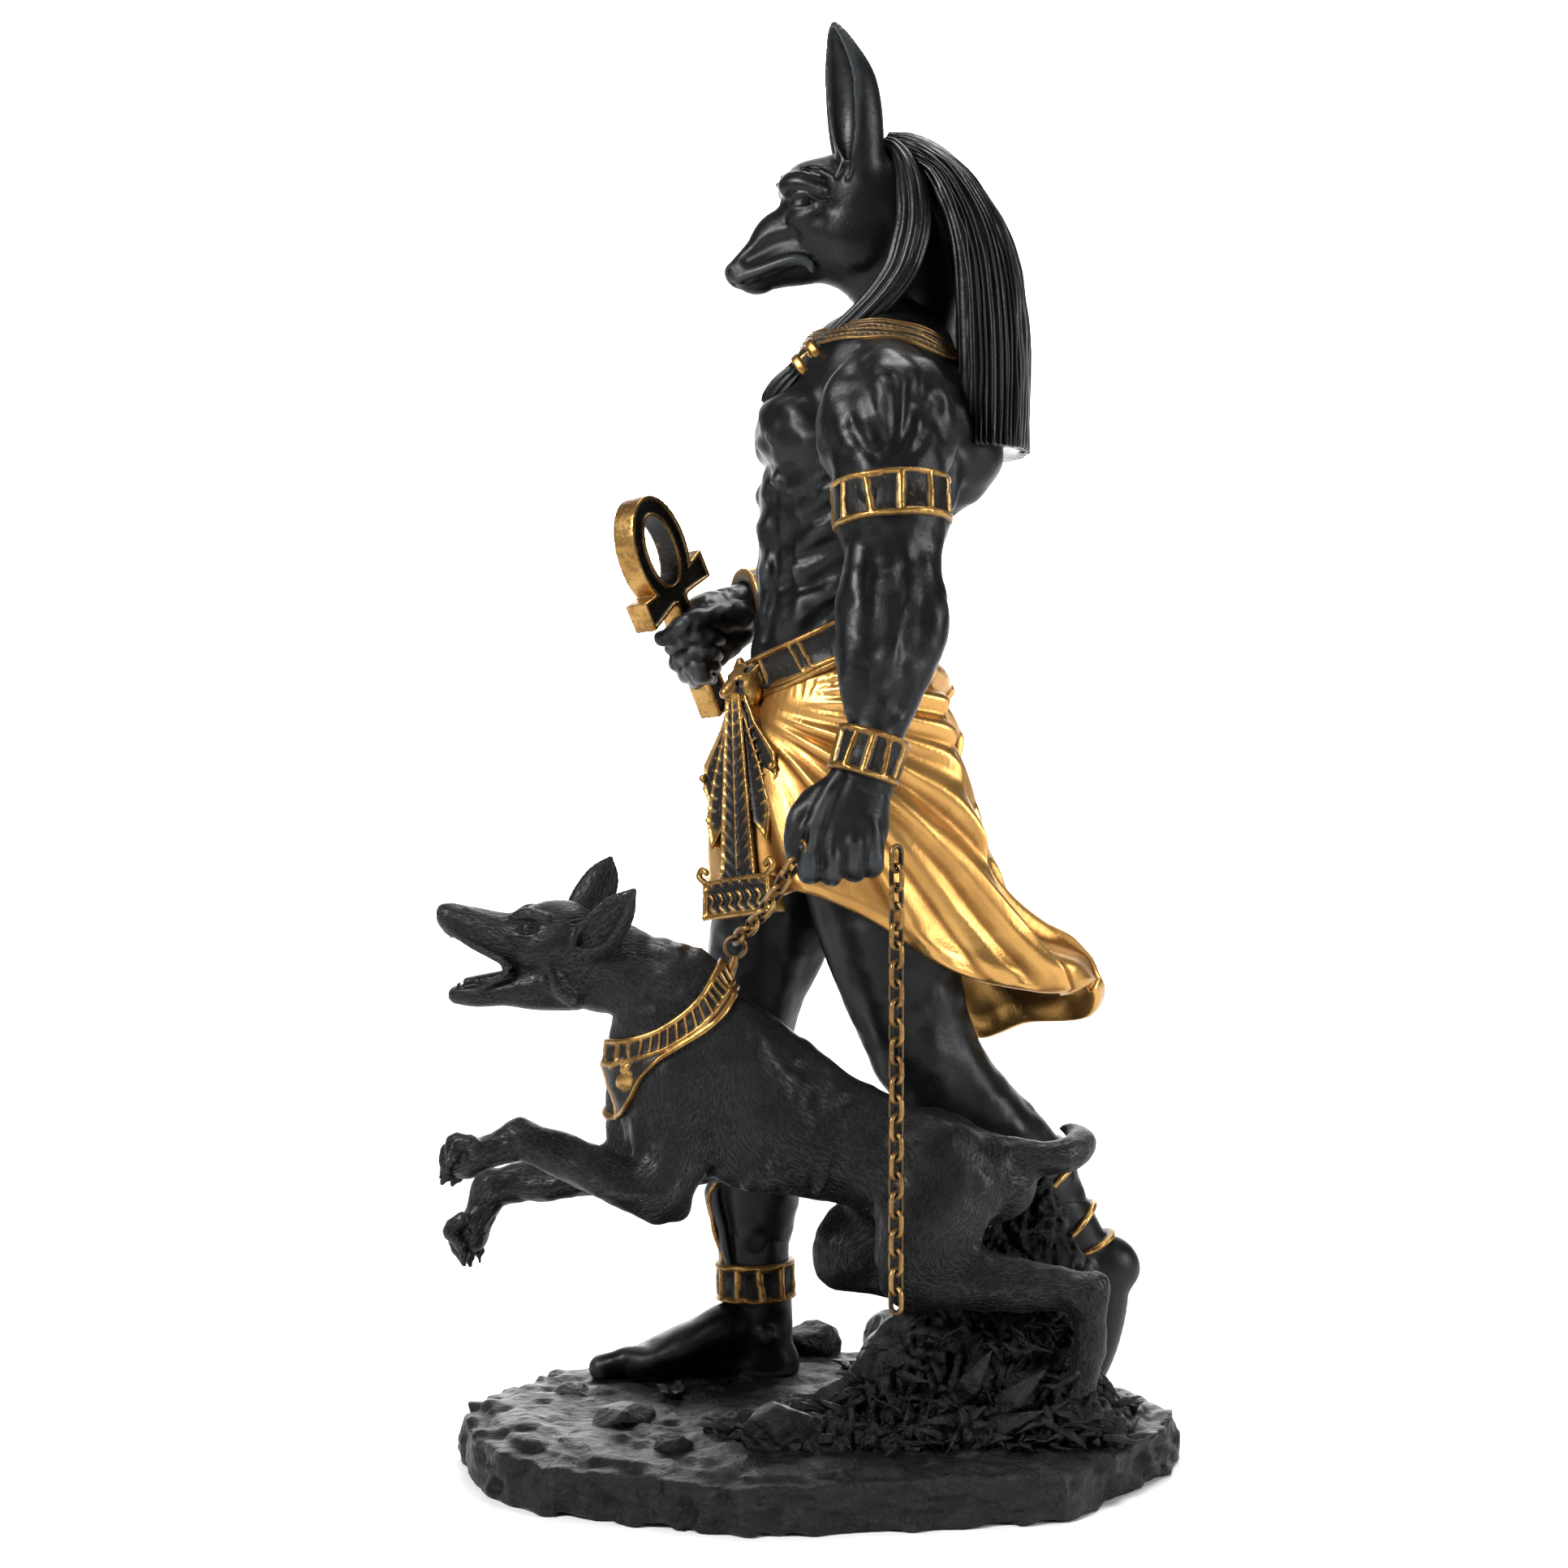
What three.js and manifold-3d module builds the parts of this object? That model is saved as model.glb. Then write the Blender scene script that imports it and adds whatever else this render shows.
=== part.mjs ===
// A cast statuette of the jackal-headed Egyptian god striding with a leashed jackal, on a rough rock base.
// Millimetres, +Z up. The god walks towards -X, his left side faces -Y, and the jackal runs on that side.
// The origin is on the base's flat underside, below the line between the two figures.
import * as THREE from "three";
import { mergeVertices } from "three/addons/utils/BufferGeometryUtils.js";
import Module from "manifold-3d";

// Driving dimensions
const EAR_TIP = 299.6; // height of the whole statuette
const SLAB_EDGE = 9.6; // height of the base's rim
const GROUND = 10.5; // the level that the feet stand on
const REST_GAP = 0.3; // between a piece and the one it rests on
const GOD_Y = 16; // the plane through the middle of the god's body
const JACKAL_Y = -18; // the plane through the middle of the jackal's body
const CHEST_TURN = 14; // degrees that the god's chest turns to his left
const BELT_DIP = 24; // degrees that the belt slopes down to the front

// Ankh
const ANKH_SHAFT = 30; // crossing to foot
const ANKH_ARM = 13; // crossing to either end of the bar
const ANKH_LOOP = [25, 19]; // height and width of the loop
const ANKH_THICK = 5.4;

// Chain
const WIRE = 0.85; // thickness of the wire
const LINK_LENGTH = 5.6;
const LINK_WIDTH = 3.3;
const LINK_PITCH = LINK_LENGTH - 2 * WIRE - 0.12; // neighbouring links bear on each other
const HANGING_LINKS = 24;

const BLACK = 0x25282a;
const GROUND_BLACK = 0x222425;
const GOLD = 0xb98a3c;

const wasm = await Module();
wasm.setup();

const V = (x, y, z) => new THREE.Vector3(x, y, z);
const rad = THREE.MathUtils.degToRad;

// Solids from three.js geometry

// A closed triangle mesh as a solid, turned the right way out.
function solid(geometry) {
  const bare = new THREE.BufferGeometry().setAttribute("position", geometry.getAttribute("position"));
  if (geometry.index) bare.setIndex(geometry.index);
  const merged = mergeVertices(bare, 1e-4);
  const triVerts = new Uint32Array(merged.index.array);
  const vertProperties = merged.attributes.position.array;
  const corner = (k) => V(...vertProperties.slice(3 * k, 3 * k + 3));
  let volume = 0;
  for (let i = 0; i < triVerts.length; i += 3) {
    const [a, b, c] = [0, 1, 2].map((k) => corner(triVerts[i + k]));
    volume += a.dot(b.cross(c));
  }
  if (volume < 0)
    for (let i = 0; i < triVerts.length; i += 3)
      [triVerts[i], triVerts[i + 1]] = [triVerts[i + 1], triVerts[i]];
  return new wasm.Manifold(new wasm.Mesh({ numProp: 3, vertProperties, triVerts }));
}

const join = (solids) => solids.reduce((all, next) => all.add(next));

function meshOf(name, made, colour, roughness, metalness) {
  const { numProp, vertProperties, triVerts } = made.getMesh();
  const positions = new Float32Array((vertProperties.length / numProp) * 3);
  for (let i = 0; i < positions.length / 3; i++)
    positions.set(vertProperties.subarray(i * numProp, i * numProp + 3), i * 3);
  const geometry = new THREE.BufferGeometry()
    .setAttribute("position", new THREE.BufferAttribute(positions, 3))
    .setIndex(new THREE.BufferAttribute(triVerts, 1));
  geometry.computeVertexNormals();
  const mesh = new THREE.Mesh(geometry, new THREE.MeshStandardMaterial({ color: colour, roughness, metalness }));
  mesh.name = name;
  return mesh;
}

// A skin through oval sections, closed at both ends. A section is a centre with two half axes, along and across.
// swell(angle, share, centre) scales the section there: angle runs from along towards across, in degrees,
// and share from 0 at the first section to 1 at the last.
function loft(sections, sides, swell = () => 1, phase = 0) {
  const points = [];
  sections.forEach(({ centre, along, across, square = 1 }, i) => {
    for (let k = 0; k < sides; k++) {
      const angle = phase + (360 * k) / sides;
      const size = swell(angle, i / (sections.length - 1), centre);
      const [c, s] = [Math.cos(rad(angle)), Math.sin(rad(angle))].map((w) => Math.sign(w) * Math.abs(w) ** square * size);
      points.push(centre.clone().addScaledVector(along, c).addScaledVector(across, s));
    }
  });
  const last = points.length - sides;
  points.push(sections[0].centre, sections.at(-1).centre);
  const index = [];
  for (let k = 0; k < sides; k++) {
    const next = (k + 1) % sides;
    for (let row = 0; row < last; row += sides)
      index.push(row + k, row + next, row + sides + k, row + next, row + sides + next, row + sides + k);
    index.push(points.length - 2, next, k, points.length - 1, last + k, last + next);
  }
  const geometry = new THREE.BufferGeometry().setFromPoints(points);
  geometry.setIndex(index);
  return solid(geometry);
}

// A section between two points (x, z) of the side view, at depth y and that wide to each side.
// lean is how far its far side reaches ahead of its near side.
const slice = ([ax, az], [bx, bz], y, halfWidth, square, lean = 0) => ({
  centre: V((ax + bx) / 2, y, (az + bz) / 2),
  along: V((ax - bx) / 2, 0, (az - bz) / 2),
  across: V(-lean, halfWidth, 0),
  square,
});

// A limb: oval sections square to the line of its stations, each [x, y, z, radius in the side view, radius across].
function limb(stations, sides, swell) {
  const at = stations.map(([x, y, z]) => V(x, y, z));
  const sections = stations.map(([, , , inPlane, sideways = inPlane], i) => {
    const way = at[Math.min(i + 1, at.length - 1)].clone().sub(at[Math.max(i - 1, 0)]).normalize();
    const across = V(0, 1, 0).addScaledVector(way, -way.y).normalize();
    const along = across.clone().cross(way);
    return { centre: at[i], along: along.multiplyScalar(inPlane), across: across.multiplyScalar(sideways) };
  });
  return loft(sections, sides, swell);
}

// Four fingers side by side: one roll between two points, pinched where the fingers meet.
function fingers(first, last, [inPlane, sideways], sides = 5) {
  const stations = [0.2, 1, 0.82, 1, 0.82, 1, 0.82, 1, 0.3].map((size, i) => {
    const at = V(...first).lerp(V(...last), (i - 1) / 6);
    return [at.x, at.y, at.z, size * inPlane, size * sideways];
  });
  return limb(stations, sides);
}

// A band round a limb, centred at a point and square to a way.
function band([x, y, z], [wx, wy, wz], [inPlane, sideways], height, sides = 7) {
  const way = V(wx, wy, wz).normalize().multiplyScalar(height / 2);
  const ends = [-1, 0, 1].map((k) => [x + k * way.x, y + k * way.y, z + k * way.z, inPlane, sideways]);
  return limb([ends[0], ends[2]], sides);
}

// An oval lump, turned by the angles given in degrees about X, Y and Z.
function lump([x, y, z], [rx, ry, rz], [turnX, turnY, turnZ] = [0, 0, 0], sides = 7, rows = 5) {
  const geometry = new THREE.SphereGeometry(1, sides, rows);
  geometry.scale(rx, ry, rz);
  geometry.rotateX(rad(turnX)).rotateY(rad(turnY)).rotateZ(rad(turnZ)).translate(x, y, z);
  return solid(geometry);
}

// A smooth hill, 1 at its middle, over a distance from the middle in units of its width.
const hill = (distance) => Math.exp(-distance * distance);

// Everything under the level of the soles.
const belowGround = () => solid(new THREE.BoxGeometry(400, 400, 40).translate(0, 0, GROUND + REST_GAP - 20));

// The god

const acrossGod = (offset) => GOD_Y + offset; // offset is positive on his right side

// Muscles of the trunk: [angle from the breastbone, height, angle wide, height wide, relief].
const MUSCLES = [
  [34, 213, 24, 8, 0.13], [-34, 213, 24, 8, 0.13], [0, 212, 9, 12, -0.08], [0, 188, 7, 14, -0.05],
  [18, 199, 11, 3.4, 0.05], [-18, 199, 11, 3.4, 0.05], [18, 190, 11, 3.4, 0.055], [-18, 190, 11, 3.4, 0.055],
  [18, 181.4, 11, 3.4, 0.05], [-18, 181.4, 11, 3.4, 0.05], [50, 196, 10, 9, 0.04], [-50, 196, 10, 9, 0.04],
];

function torso() {
  const level = (front, back, halfWidth) => slice(front, back, GOD_Y, halfWidth, 0.9);
  const relief = (angle, share, { z }) =>
    MUSCLES.reduce((size, [turn, height, wide, tall, amount]) => {
      const off = ((angle + CHEST_TURN - turn + 540) % 360) - 180;
      return size + amount * hill(off / wide) * hill((z - height) / tall);
    }, 1);
  return loft(
    [
      level([-14.4, 164], [21, 166], 18.6),
      level([-13.2, 176.6], [20, 177.4], 17.6),
      level([-12.8, 181.4], [19.6, 182], 17.4),
      level([-12.8, 185.8], [20, 186.4], 18),
      level([-13, 190.4], [21.4, 190.6], 19),
      level([-13, 195], [24, 195], 20.8),
      level([-12.6, 199.4], [27.4, 199.4], 23),
      level([-11.4, 206], [32.6, 205.4], 26),
      level([-10.6, 213], [36, 212], 28),
      level([-8.6, 222], [35, 221], 27.4),
      level([2, 230.6], [31, 229.6], 18),
      level([7.4, 238], [27.6, 237], 10.6),
      level([8.2, 252], [25, 253], 9.5),
    ],
    16,
    relief,
    22.5 - CHEST_TURN,
  );
}

// A long-muzzled head whose ears stand upright.
function head() {
  const cut = (top, bottom, halfWidth) => slice(top, bottom, GOD_Y, halfWidth, 0.92);
  const skull = loft(
    [
      cut([18, 275], [19, 247], 8.4),
      cut([9, 276], [9, 246.4], 10.8),
      cut([1, 273.8], [2, 246], 9.8),
      cut([-7.4, 268.8], [-4, 245.4], 7.4),
      cut([-8.8, 262.6], [-9.2, 244.4], 5.2),
      cut([-13.6, 256], [-13, 243.9], 4.4),
      cut([-17.2, 252], [-16.4, 244.6], 3.6),
      cut([-19.5, 249.8], [-19, 247], 1.9),
    ],
    10,
  );
  return join([skull, ...[-1, 1].map(godEar)]);
}

// A tall ear, cupped on the side that faces forward and out.
function godEar(side) {
  const level = (front, back, z, halfWidth) => slice([front, z], [back, z], acrossGod(side * (7 + 0.02 * (z - 268))), halfWidth, 1.1);
  const cup = (angle, share) => 1 - 0.62 * Math.sin(Math.PI * share) * hill((angle - (side > 0 ? 45 : 315)) / 34);
  return loft(
    [
      level(6, 12.5, 264, 3.4), level(3.2, 14, 274, 5), level(1.2, 13, 283, 5.3), level(0.8, 10.6, 290.6, 4),
      level(2, 7.4, 296, 2.2), level(3.2, 4.6, EAR_TIP, 0.6),
    ],
    7,
    cup,
  );
}

// The striped headcloth: ribs run down its back, and a bound lock falls forward over each collar bone.
function headcloth() {
  const level = (front, back, halfWidth) => slice(front, back, GOD_Y, halfWidth, 0.86);
  const fall = loft(
    [
      level([12.6, 273.4], [17.4, 278], 4.4), level([12, 266], [28, 273.6], 12.4), level([16, 257], [38.4, 262], 18),
      level([20, 244], [44, 246.6], 22), level([21, 228], [46, 229], 24.4), level([22, 210.6], [45.6, 209.6], 25),
    ],
    20,
    (angle) => 1 + 0.024 * Math.cos(rad(10 * angle)),
  );
  const lock = (side) => {
    const path = [
      [16, 12.6, 266, 5, 2.8], [16.2, 15.6, 252, 4.4, 3], [9.4, 14.8, 239, 3.8, 3], [-2.6, 10.2, 226.8, 2.9, 2.6],
      [-9, 7.6, 219.6, 3.6, 2.4],
    ];
    return limb(path.map(([x, off, z, a, b]) => [x, acrossGod(side * off), z, a, b]), 5);
  };
  const ties = [-1, 1].map((side) => band([-1, acrossGod(side * 10.8), 228.6], [-0.74, side * -0.24, -0.63], [3.8, 3.5], 5.4, 6));
  return join([fall, lock(-1), lock(1), ...ties]);
}

const broadCollar = () =>
  loft([slice([-6.6, 222.6], [37, 227], GOD_Y, 24), slice([5.4, 236], [29, 237], GOD_Y, 11.6)], 16);

// The left arm hangs and its fist holds the chain.
function leftArm() {
  const arm = limb(
    [
      [14, -4, 224, 11], [13.4, -13, 221.6, 12.6, 11], [13.2, -18.2, 213, 12.8, 10.6], [13.8, -20.8, 203, 11.6, 9.6],
      [14.8, -23, 193, 11.2, 9.6], [15.6, -25.8, 182, 8.4, 8], [15, -28, 172, 9.8, 8.8],
      [12.8, -31.2, 157, 7.8, 6.6], [10, -32.8, 147, 5.8, 5.2], [8, -33.4, 139, 6.2, 5],
    ],
    8,
  );
  const hand = limb([[8.2, -33.4, 142, 6, 4.8], [6.2, -33.6, 134, 8.2, 5.6], [4.8, -33.4, 126, 8.4, 5.2]], 6);
  const grip = fingers([-2, -34, 127], [10.6, -34, 127.6], [5.6, 5.8]);
  const thumb = limb([[3, -33, 138, 3.6], [-3.4, -34.4, 132.6, 3], [-3.4, -37.6, 126.4, 2.2]], 4);
  return join([arm, hand, grip, thumb]);
}

// The right arm reaches forward and its fist closes round the ankh's shaft.
function rightArm() {
  const arm = limb(
    [
      [14, 36, 224, 11], [13.4, 45, 221.6, 12.6, 11], [13.6, 50, 213, 12.6, 10.6], [14.2, 51, 202, 11.4, 9.8],
      [14.2, 51, 192, 10.4, 9], [9, 49.6, 183.4, 9.2, 8.6], [-2, 44.4, 180, 8.4, 7.8],
      [-14, 38, 178.6, 5.5, 5.3], [-21, 34.4, 176.6, 5.6, 5.2],
    ],
    8,
  );
  const at = (down, across, out, ...radii) => [...ankhPoint(down, across, out), ...radii];
  const palm = limb([at(9, 9, 4, 5.6, 4.4), at(12.6, 3, 1.4, 7.6, 5.6)], 6);
  const grip = fingers(ankhPoint(6.4, -1, 1), ankhPoint(20, -1, 1), [6.8, 6.2]);
  const thumb = limb([at(7, 8.6, 4, 3), at(3.4, 3, 5.4, 2.8), at(4.4, -3, 6, 2.2)], 4);
  return join([arm, palm, grip, thumb]);
}

// The ankh has directions of its own: down along its shaft, across along its bar, and out from its face.
const ANKH_CROSSING = [-32, 25, 181];
const ANKH_DOWN = V(0.344, 0.363, -0.865).normalize();
const ANKH_ACROSS = V(0.43, 0.76, 0.49).projectOnPlane(ANKH_DOWN).normalize();
const ANKH_OUT = ANKH_DOWN.clone().cross(ANKH_ACROSS);

function ankhPoint(down, across, out) {
  const p = V(...ANKH_CROSSING).addScaledVector(ANKH_DOWN, down).addScaledVector(ANKH_ACROSS, across);
  return p.addScaledVector(ANKH_OUT, out).toArray();
}

// Moves a geometry drawn with the bar along X and the shaft down -Y into place.
function placeAnkh(geometry) {
  const turn = new THREE.Matrix4().makeBasis(ANKH_ACROSS, ANKH_DOWN.clone().negate(), ANKH_OUT.clone());
  return solid(geometry.translate(0, 0, -ANKH_THICK / 2).applyMatrix4(turn).translate(...ANKH_CROSSING));
}

// One flat casting: a loop, a bar with flaring ends and a flaring shaft.
function ankh() {
  const [tall, wide] = ANKH_LOOP;
  const oval = (rim) =>
    Array.from({ length: 14 }, (_, i) => rad(-90 + (360 * i) / 14)).map(
      (angle) => new THREE.Vector2((wide / 2 - rim) * Math.cos(angle), tall / 2 - 3 + (tall / 2 - rim) * Math.sin(angle)),
    );
  const half = [[6, 2.6], [ANKH_ARM, 3.3], [ANKH_ARM, -3.3], [2.2, -2.2], [3.2, -ANKH_SHAFT]];
  const right = half.map(([x, y]) => new THREE.Vector2(x, y)).reverse();
  const left = half.map(([x, y]) => new THREE.Vector2(-x, y));
  const outline = new THREE.Shape([...right, ...oval(0).slice(2, -1), ...left]);
  outline.holes.push(new THREE.Path(oval(4.5)));
  return placeAnkh(new THREE.ExtrudeGeometry(outline, { depth: ANKH_THICK, bevelEnabled: false }));
}

// Room in the fist for the ankh's shaft.
function ankhSocket() {
  const shaft = new THREE.BoxGeometry(6.6 + 2 * REST_GAP, ANKH_SHAFT + 6, ANKH_THICK + 2 * REST_GAP);
  return placeAnkh(shaft.translate(0, -ANKH_SHAFT / 2 - 1, ANKH_THICK / 2));
}

// A bare foot's toes: the four small ones as a pair of rolls, and the big toe.
const toes = (rolls, from, to, radius) =>
  rolls.map(([offset, wide, reach]) => {
    const root = [from[0], from[1] + offset, from[2], radius, wide];
    return limb([root, [to[0] - reach, to[1] + offset, to[2], 0.7 * radius, 0.8 * wide]], 5);
  });

// The right leg is straight and leads.
function rightLeg() {
  const y = acrossGod(9);
  const leg = limb(
    [
      [-3, y, 130, 15, 12], [-9.6, y, 112, 14, 12.6], [-14.2, y, 93, 11.2, 10.8], [-14.4, y, 80, 9.6, 9.4],
      [-12.6, y, 64, 10.2, 10], [-13, y, 48, 9, 8.2], [-13, y, 34, 7, 6.6], [-11.6, y, 18, 7.2, 6.2], [-10.8, y, 8, 7.2, 6],
    ],
    8,
  );
  const foot = limb(
    [[-4.4, y, 13, 3.6, 4.6], [-11, y, 15, 7.4, 6.2], [-21, y - 0.4, 15, 6.2, 6.8], [-31, y - 0.8, 13.4, 4.2, 7.8], [-40, y - 1, 12.2, 3, 8]],
    7,
  );
  return join([leg, foot, ...toes([[4, 4, 0], [-5.4, 2.8, 4]], [-38, y, 12.4], [-44, y, 11.8], 2.4)]);
}

// The left leg trails, bent, with its heel raised.
function leftLeg() {
  const y = acrossGod(-12);
  const leg = limb(
    [
      [9, y + 3, 132, 15, 12], [14.4, y, 112, 14.6, 12], [18.6, y, 95, 13, 11.2], [24, y, 80.6, 11.8, 10],
      [34.4, y + 1.2, 69.4, 11.6, 9.6], [44, y + 2.4, 60, 10.2, 8.4], [51, y + 3.4, 50, 7.6, 6.6],
      [57.4, y + 4.4, 39, 6.8, 6],
    ],
    8,
  );
  const heel = lump([62, y + 4.6, 37.8], [7, 5.6, 6], [0, 40, 0]);
  const foot = limb(
    [[58.6, y + 4.4, 42, 7.2, 5.6], [60.4, y + 4.6, 33, 6.4, 5.8], [60, y + 4.8, 23, 5, 6.8], [57.4, y + 5, 14.6, 4.4, 7.6], [54, y + 5, 13, 3.2, 7.6]],
    7,
  );
  return join([leg, heel, foot, ...toes([[3.6, 4, 0], [-5, 2.8, 3]], [55, y + 5, 12.8], [50, y + 5, 11.8], 2.4)]);
}

// The kilt: fans from the belt to a slanting hem and streams back into a tail with a curled end.
function kilt() {
  const folds = (angle, share) => 1 - 0.05 * share * (1 + Math.cos(rad(7 * angle + 120 * share)));
  const skirt = loft(
    [
      slice([-15.4, 164], [23.4, 180], GOD_Y, 20.4, 1, 2),
      slice([-18.2, 155], [25.6, 162], GOD_Y, 24, 1, 4),
      slice([-20.8, 143], [29.6, 149], GOD_Y, 26.6, 1, 5),
      slice([-23.8, 129], [32.8, 137], GOD_Y, 27.6, 1, 7),
      slice([-25, 115.6], [36.4, 125], GOD_Y, 27.6, 1, 8),
      slice([-6, 115], [43, 118], GOD_Y - 2, 25, 1, 5),
      slice([12, 107], [49.6, 113], GOD_Y - 4, 20, 1, 3),
      slice([28, 96.6], [55.4, 109], GOD_Y - 6, 15.4, 1),
      slice([42, 88.2], [59.8, 104.4], GOD_Y - 7, 11.4, 1),
      slice([52, 89.4], [60.6, 99.6], GOD_Y - 7, 8, 1),
    ],
    20,
    folds,
  );
  const farEdge = limb([[15, 30, 122, 3.6, 9], [25, 31, 100, 4.4, 7], [33, 29, 85.6, 3.6, 5]], 5);
  return skirt.add(farEdge);
}

function belt() {
  const tilt = [-Math.sin(rad(BELT_DIP)), 0, Math.cos(rad(BELT_DIP))];
  const ring = band([4.4, GOD_Y, 170], tilt, [21.6, 21.4], 8.2, 16);
  const buckle = lump([-17.4, 9, 159.6], [3.6, 4, 5.6], [0, -14, 40]);
  return ring.add(buckle);
}

// The apron hangs from the buckle: a feathered panel between two lappets, weighted by a plate of cobras.
const APRON_TOP = [-16.2, 6.6, 158];
const APRON_UP = V(-0.03, 0.2, 0.98).normalize();
const APRON_ACROSS = V(0.74, -0.67, 0).projectOnPlane(APRON_UP).normalize(); // towards the god's left
const APRON_OUT = APRON_ACROSS.clone().cross(APRON_UP);

function apron() {
  const place = new THREE.Matrix4().makeBasis(APRON_ACROSS, APRON_UP, APRON_OUT);
  const panel = (points, outer, depth) => {
    const outline = new THREE.Shape(points.map(([across, up]) => new THREE.Vector2(across, up)));
    const geometry = new THREE.ExtrudeGeometry(outline, { depth, bevelEnabled: false }).translate(0, 0, outer - depth);
    return solid(geometry.applyMatrix4(place).translate(...APRON_TOP));
  };
  return join([
    panel([[-1.6, 0], [-5, -40], [5, -40], [1.6, 0]], 1.6, 7),
    panel([[-2.4, 0], [-10, -19], [-8.6, -31], [-3.4, -27], [3.4, -27], [9.4, -25], [10.6, -14], [2.4, 0]], 0.8, 7),
    panel([[-8.4, -38.6], [-9.2, -46], [9.2, -46], [8.4, -38.6]], 2.2, 8),
  ]);
}

function god() {
  const bands = [
    band([14.5, -22.4, 196.6], [0.06, -0.2, -1], [12.4, 10.6], 9.4),
    band([10, -32.8, 146.8], [-0.3, -0.14, -0.95], [7, 6.4], 9),
    band([14.3, 51, 196.6], [0, 0.02, -1], [12, 10.6], 9.4),
    band([-12.6, 38.6, 179], [-0.88, -0.46, -0.1], [6.6, 6.2], 8),
    band([-13.2, acrossGod(9), 31.2], [0.04, 0, -1], [8.8, 8], 8.4),
    band([46, acrossGod(-9.2), 57], [0.68, 0.1, -0.73], [10.4, 8.8], 5),
    band([55.2, acrossGod(-8), 43.8], [0.6, 0.08, -0.8], [7.6, 7], 6.6),
  ];
  const limbs = [leftArm(), rightArm(), rightLeg(), leftLeg()];
  const body = join([torso(), head(), headcloth(), broadCollar(), ...limbs, kilt(), belt(), apron(), ...bands]);
  return body.subtract(ankhSocket()).subtract(belowGround());
}

// The jackal, at full stretch with its forelegs off the ground

const beast = (top, bottom, halfWidth) => slice(top, bottom, JACKAL_Y, halfWidth, 0.95);

function jackalTrunk() {
  const trunk = loft(
    [
      beast([38.6, 64], [40, 52], 5),
      beast([31, 70.4], [34, 45], 8.6),
      beast([20, 75.4], [20, 45.6], 10.2),
      beast([8, 80.4], [6, 51.6], 8.8),
      beast([-4, 87], [-9, 53.6], 9.6),
      beast([-13, 98.4], [-27, 58], 11.4),
      beast([-18.4, 104.4], [-40.6, 70.4], 10.8),
      beast([-21.4, 105.6], [-42.4, 81], 9.6),
      beast([-28.4, 108.4], [-41, 90.4], 8),
      beast([-38, 112.4], [-48, 95], 7.4),
      beast([-48, 117], [-54.6, 97], 7.6),
      beast([-58, 116], [-62.4, 101], 5.6),
    ],
    10,
  );
  const tail = limb([[30, JACKAL_Y, 66, 5, 4.4], [40, JACKAL_Y, 65, 3.9], [51, -16.4, 65, 3.7], [54, -9, 67.6, 2.6], [50, -6, 68.4, 1]], 6);
  return trunk.add(tail);
}

// An open-mouthed head on the end of the neck.
function jackalHead() {
  const muzzle = loft(
    [beast([-55, 115], [-58, 103], 5.6), beast([-63.4, 114], [-65, 104.6], 4.8), beast([-73, 116.2], [-73, 108.4], 3.6), beast([-76.2, 117], [-76.4, 112.4], 2.4)],
    7,
  );
  const jaw = loft([beast([-54, 106], [-54, 95.6], 6), beast([-63, 102.8], [-62.6, 94.8], 4.6), beast([-74.8, 99], [-74.4, 96], 2.2)], 7);
  const ear = (root, middle, tip, sideways) => limb([[...root, 4.4, 3], [...middle, 4.8, sideways], [...tip, 0.5]], 5);
  const nearEar = ear([-46, -23.6, 108], [-41.6, -26.8, 113], [-36.6, -30, 119.8], 2.6);
  const farEar = ear([-47.6, -13, 113], [-44.6, -10.6, 118], [-42.4, -9.4, 125.4], 2.2);
  return join([muzzle, jaw, nearEar, farEar]);
}

function foreleg(y, [elbowX, elbowZ], [carpusX, carpusZ], [toeX, toeZ]) {
  const inner = JACKAL_Y + 0.75 * (y - JACKAL_Y);
  return limb(
    [
      [elbowX + 3, inner, elbowZ + 26, 6, 4.4], [elbowX + 4, inner, elbowZ + 13, 8.4, 5.4], [elbowX + 1, y, elbowZ + 2, 6.4, 4.8],
      [(elbowX + carpusX) / 2, y, (elbowZ + carpusZ) / 2 + 1.4, 5, 4.2], [carpusX, y, carpusZ, 4, 3.6],
      [0.6 * carpusX + 0.4 * toeX, y, 0.6 * carpusZ + 0.4 * toeZ + 0.4, 3.4, 3.6],
      [0.2 * carpusX + 0.8 * toeX, y, 0.2 * carpusZ + 0.8 * toeZ, 4.1, 4.4], [toeX, y, toeZ, 1.6, 2.4],
    ],
    6,
  );
}

function hindleg(y, [kneeX, kneeZ], [hockX, hockZ]) {
  const inner = JACKAL_Y + 0.7 * (y - JACKAL_Y);
  const thigh = [[28, inner, 63, 10, 5.6], [(30 + kneeX) / 2, y, 51, 11.4, 6.4], [kneeX + 5, y, kneeZ + 2.4, 7.6, 5.4], [kneeX + 2, y, kneeZ - 1, 4, 3.4]];
  const shank = [
    [kneeX + 5, y, kneeZ + 0.6, 6.4, 5], [(kneeX + hockX) / 2, y, (kneeZ + hockZ) / 2 + 1, 6.4, 4.6], [hockX - 3, y, hockZ - 0.6, 5, 3.8],
    [hockX - 1.4, y, hockZ - 9, 3.7, 3.4], [hockX - 5, y, 17, 4, 4.2], [hockX - 13, y, 12, 3.6, 5], [hockX - 17, y, 11, 2, 3.6],
  ];
  return limb(thigh, 6).add(limb(shank, 6));
}

// A broad collar that dips to a point on the breast, with a staple on top for the chain.
const STAPLE = [-16.8, JACKAL_Y, 107.6];
const STAPLE_RADIUS = 2;

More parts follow.
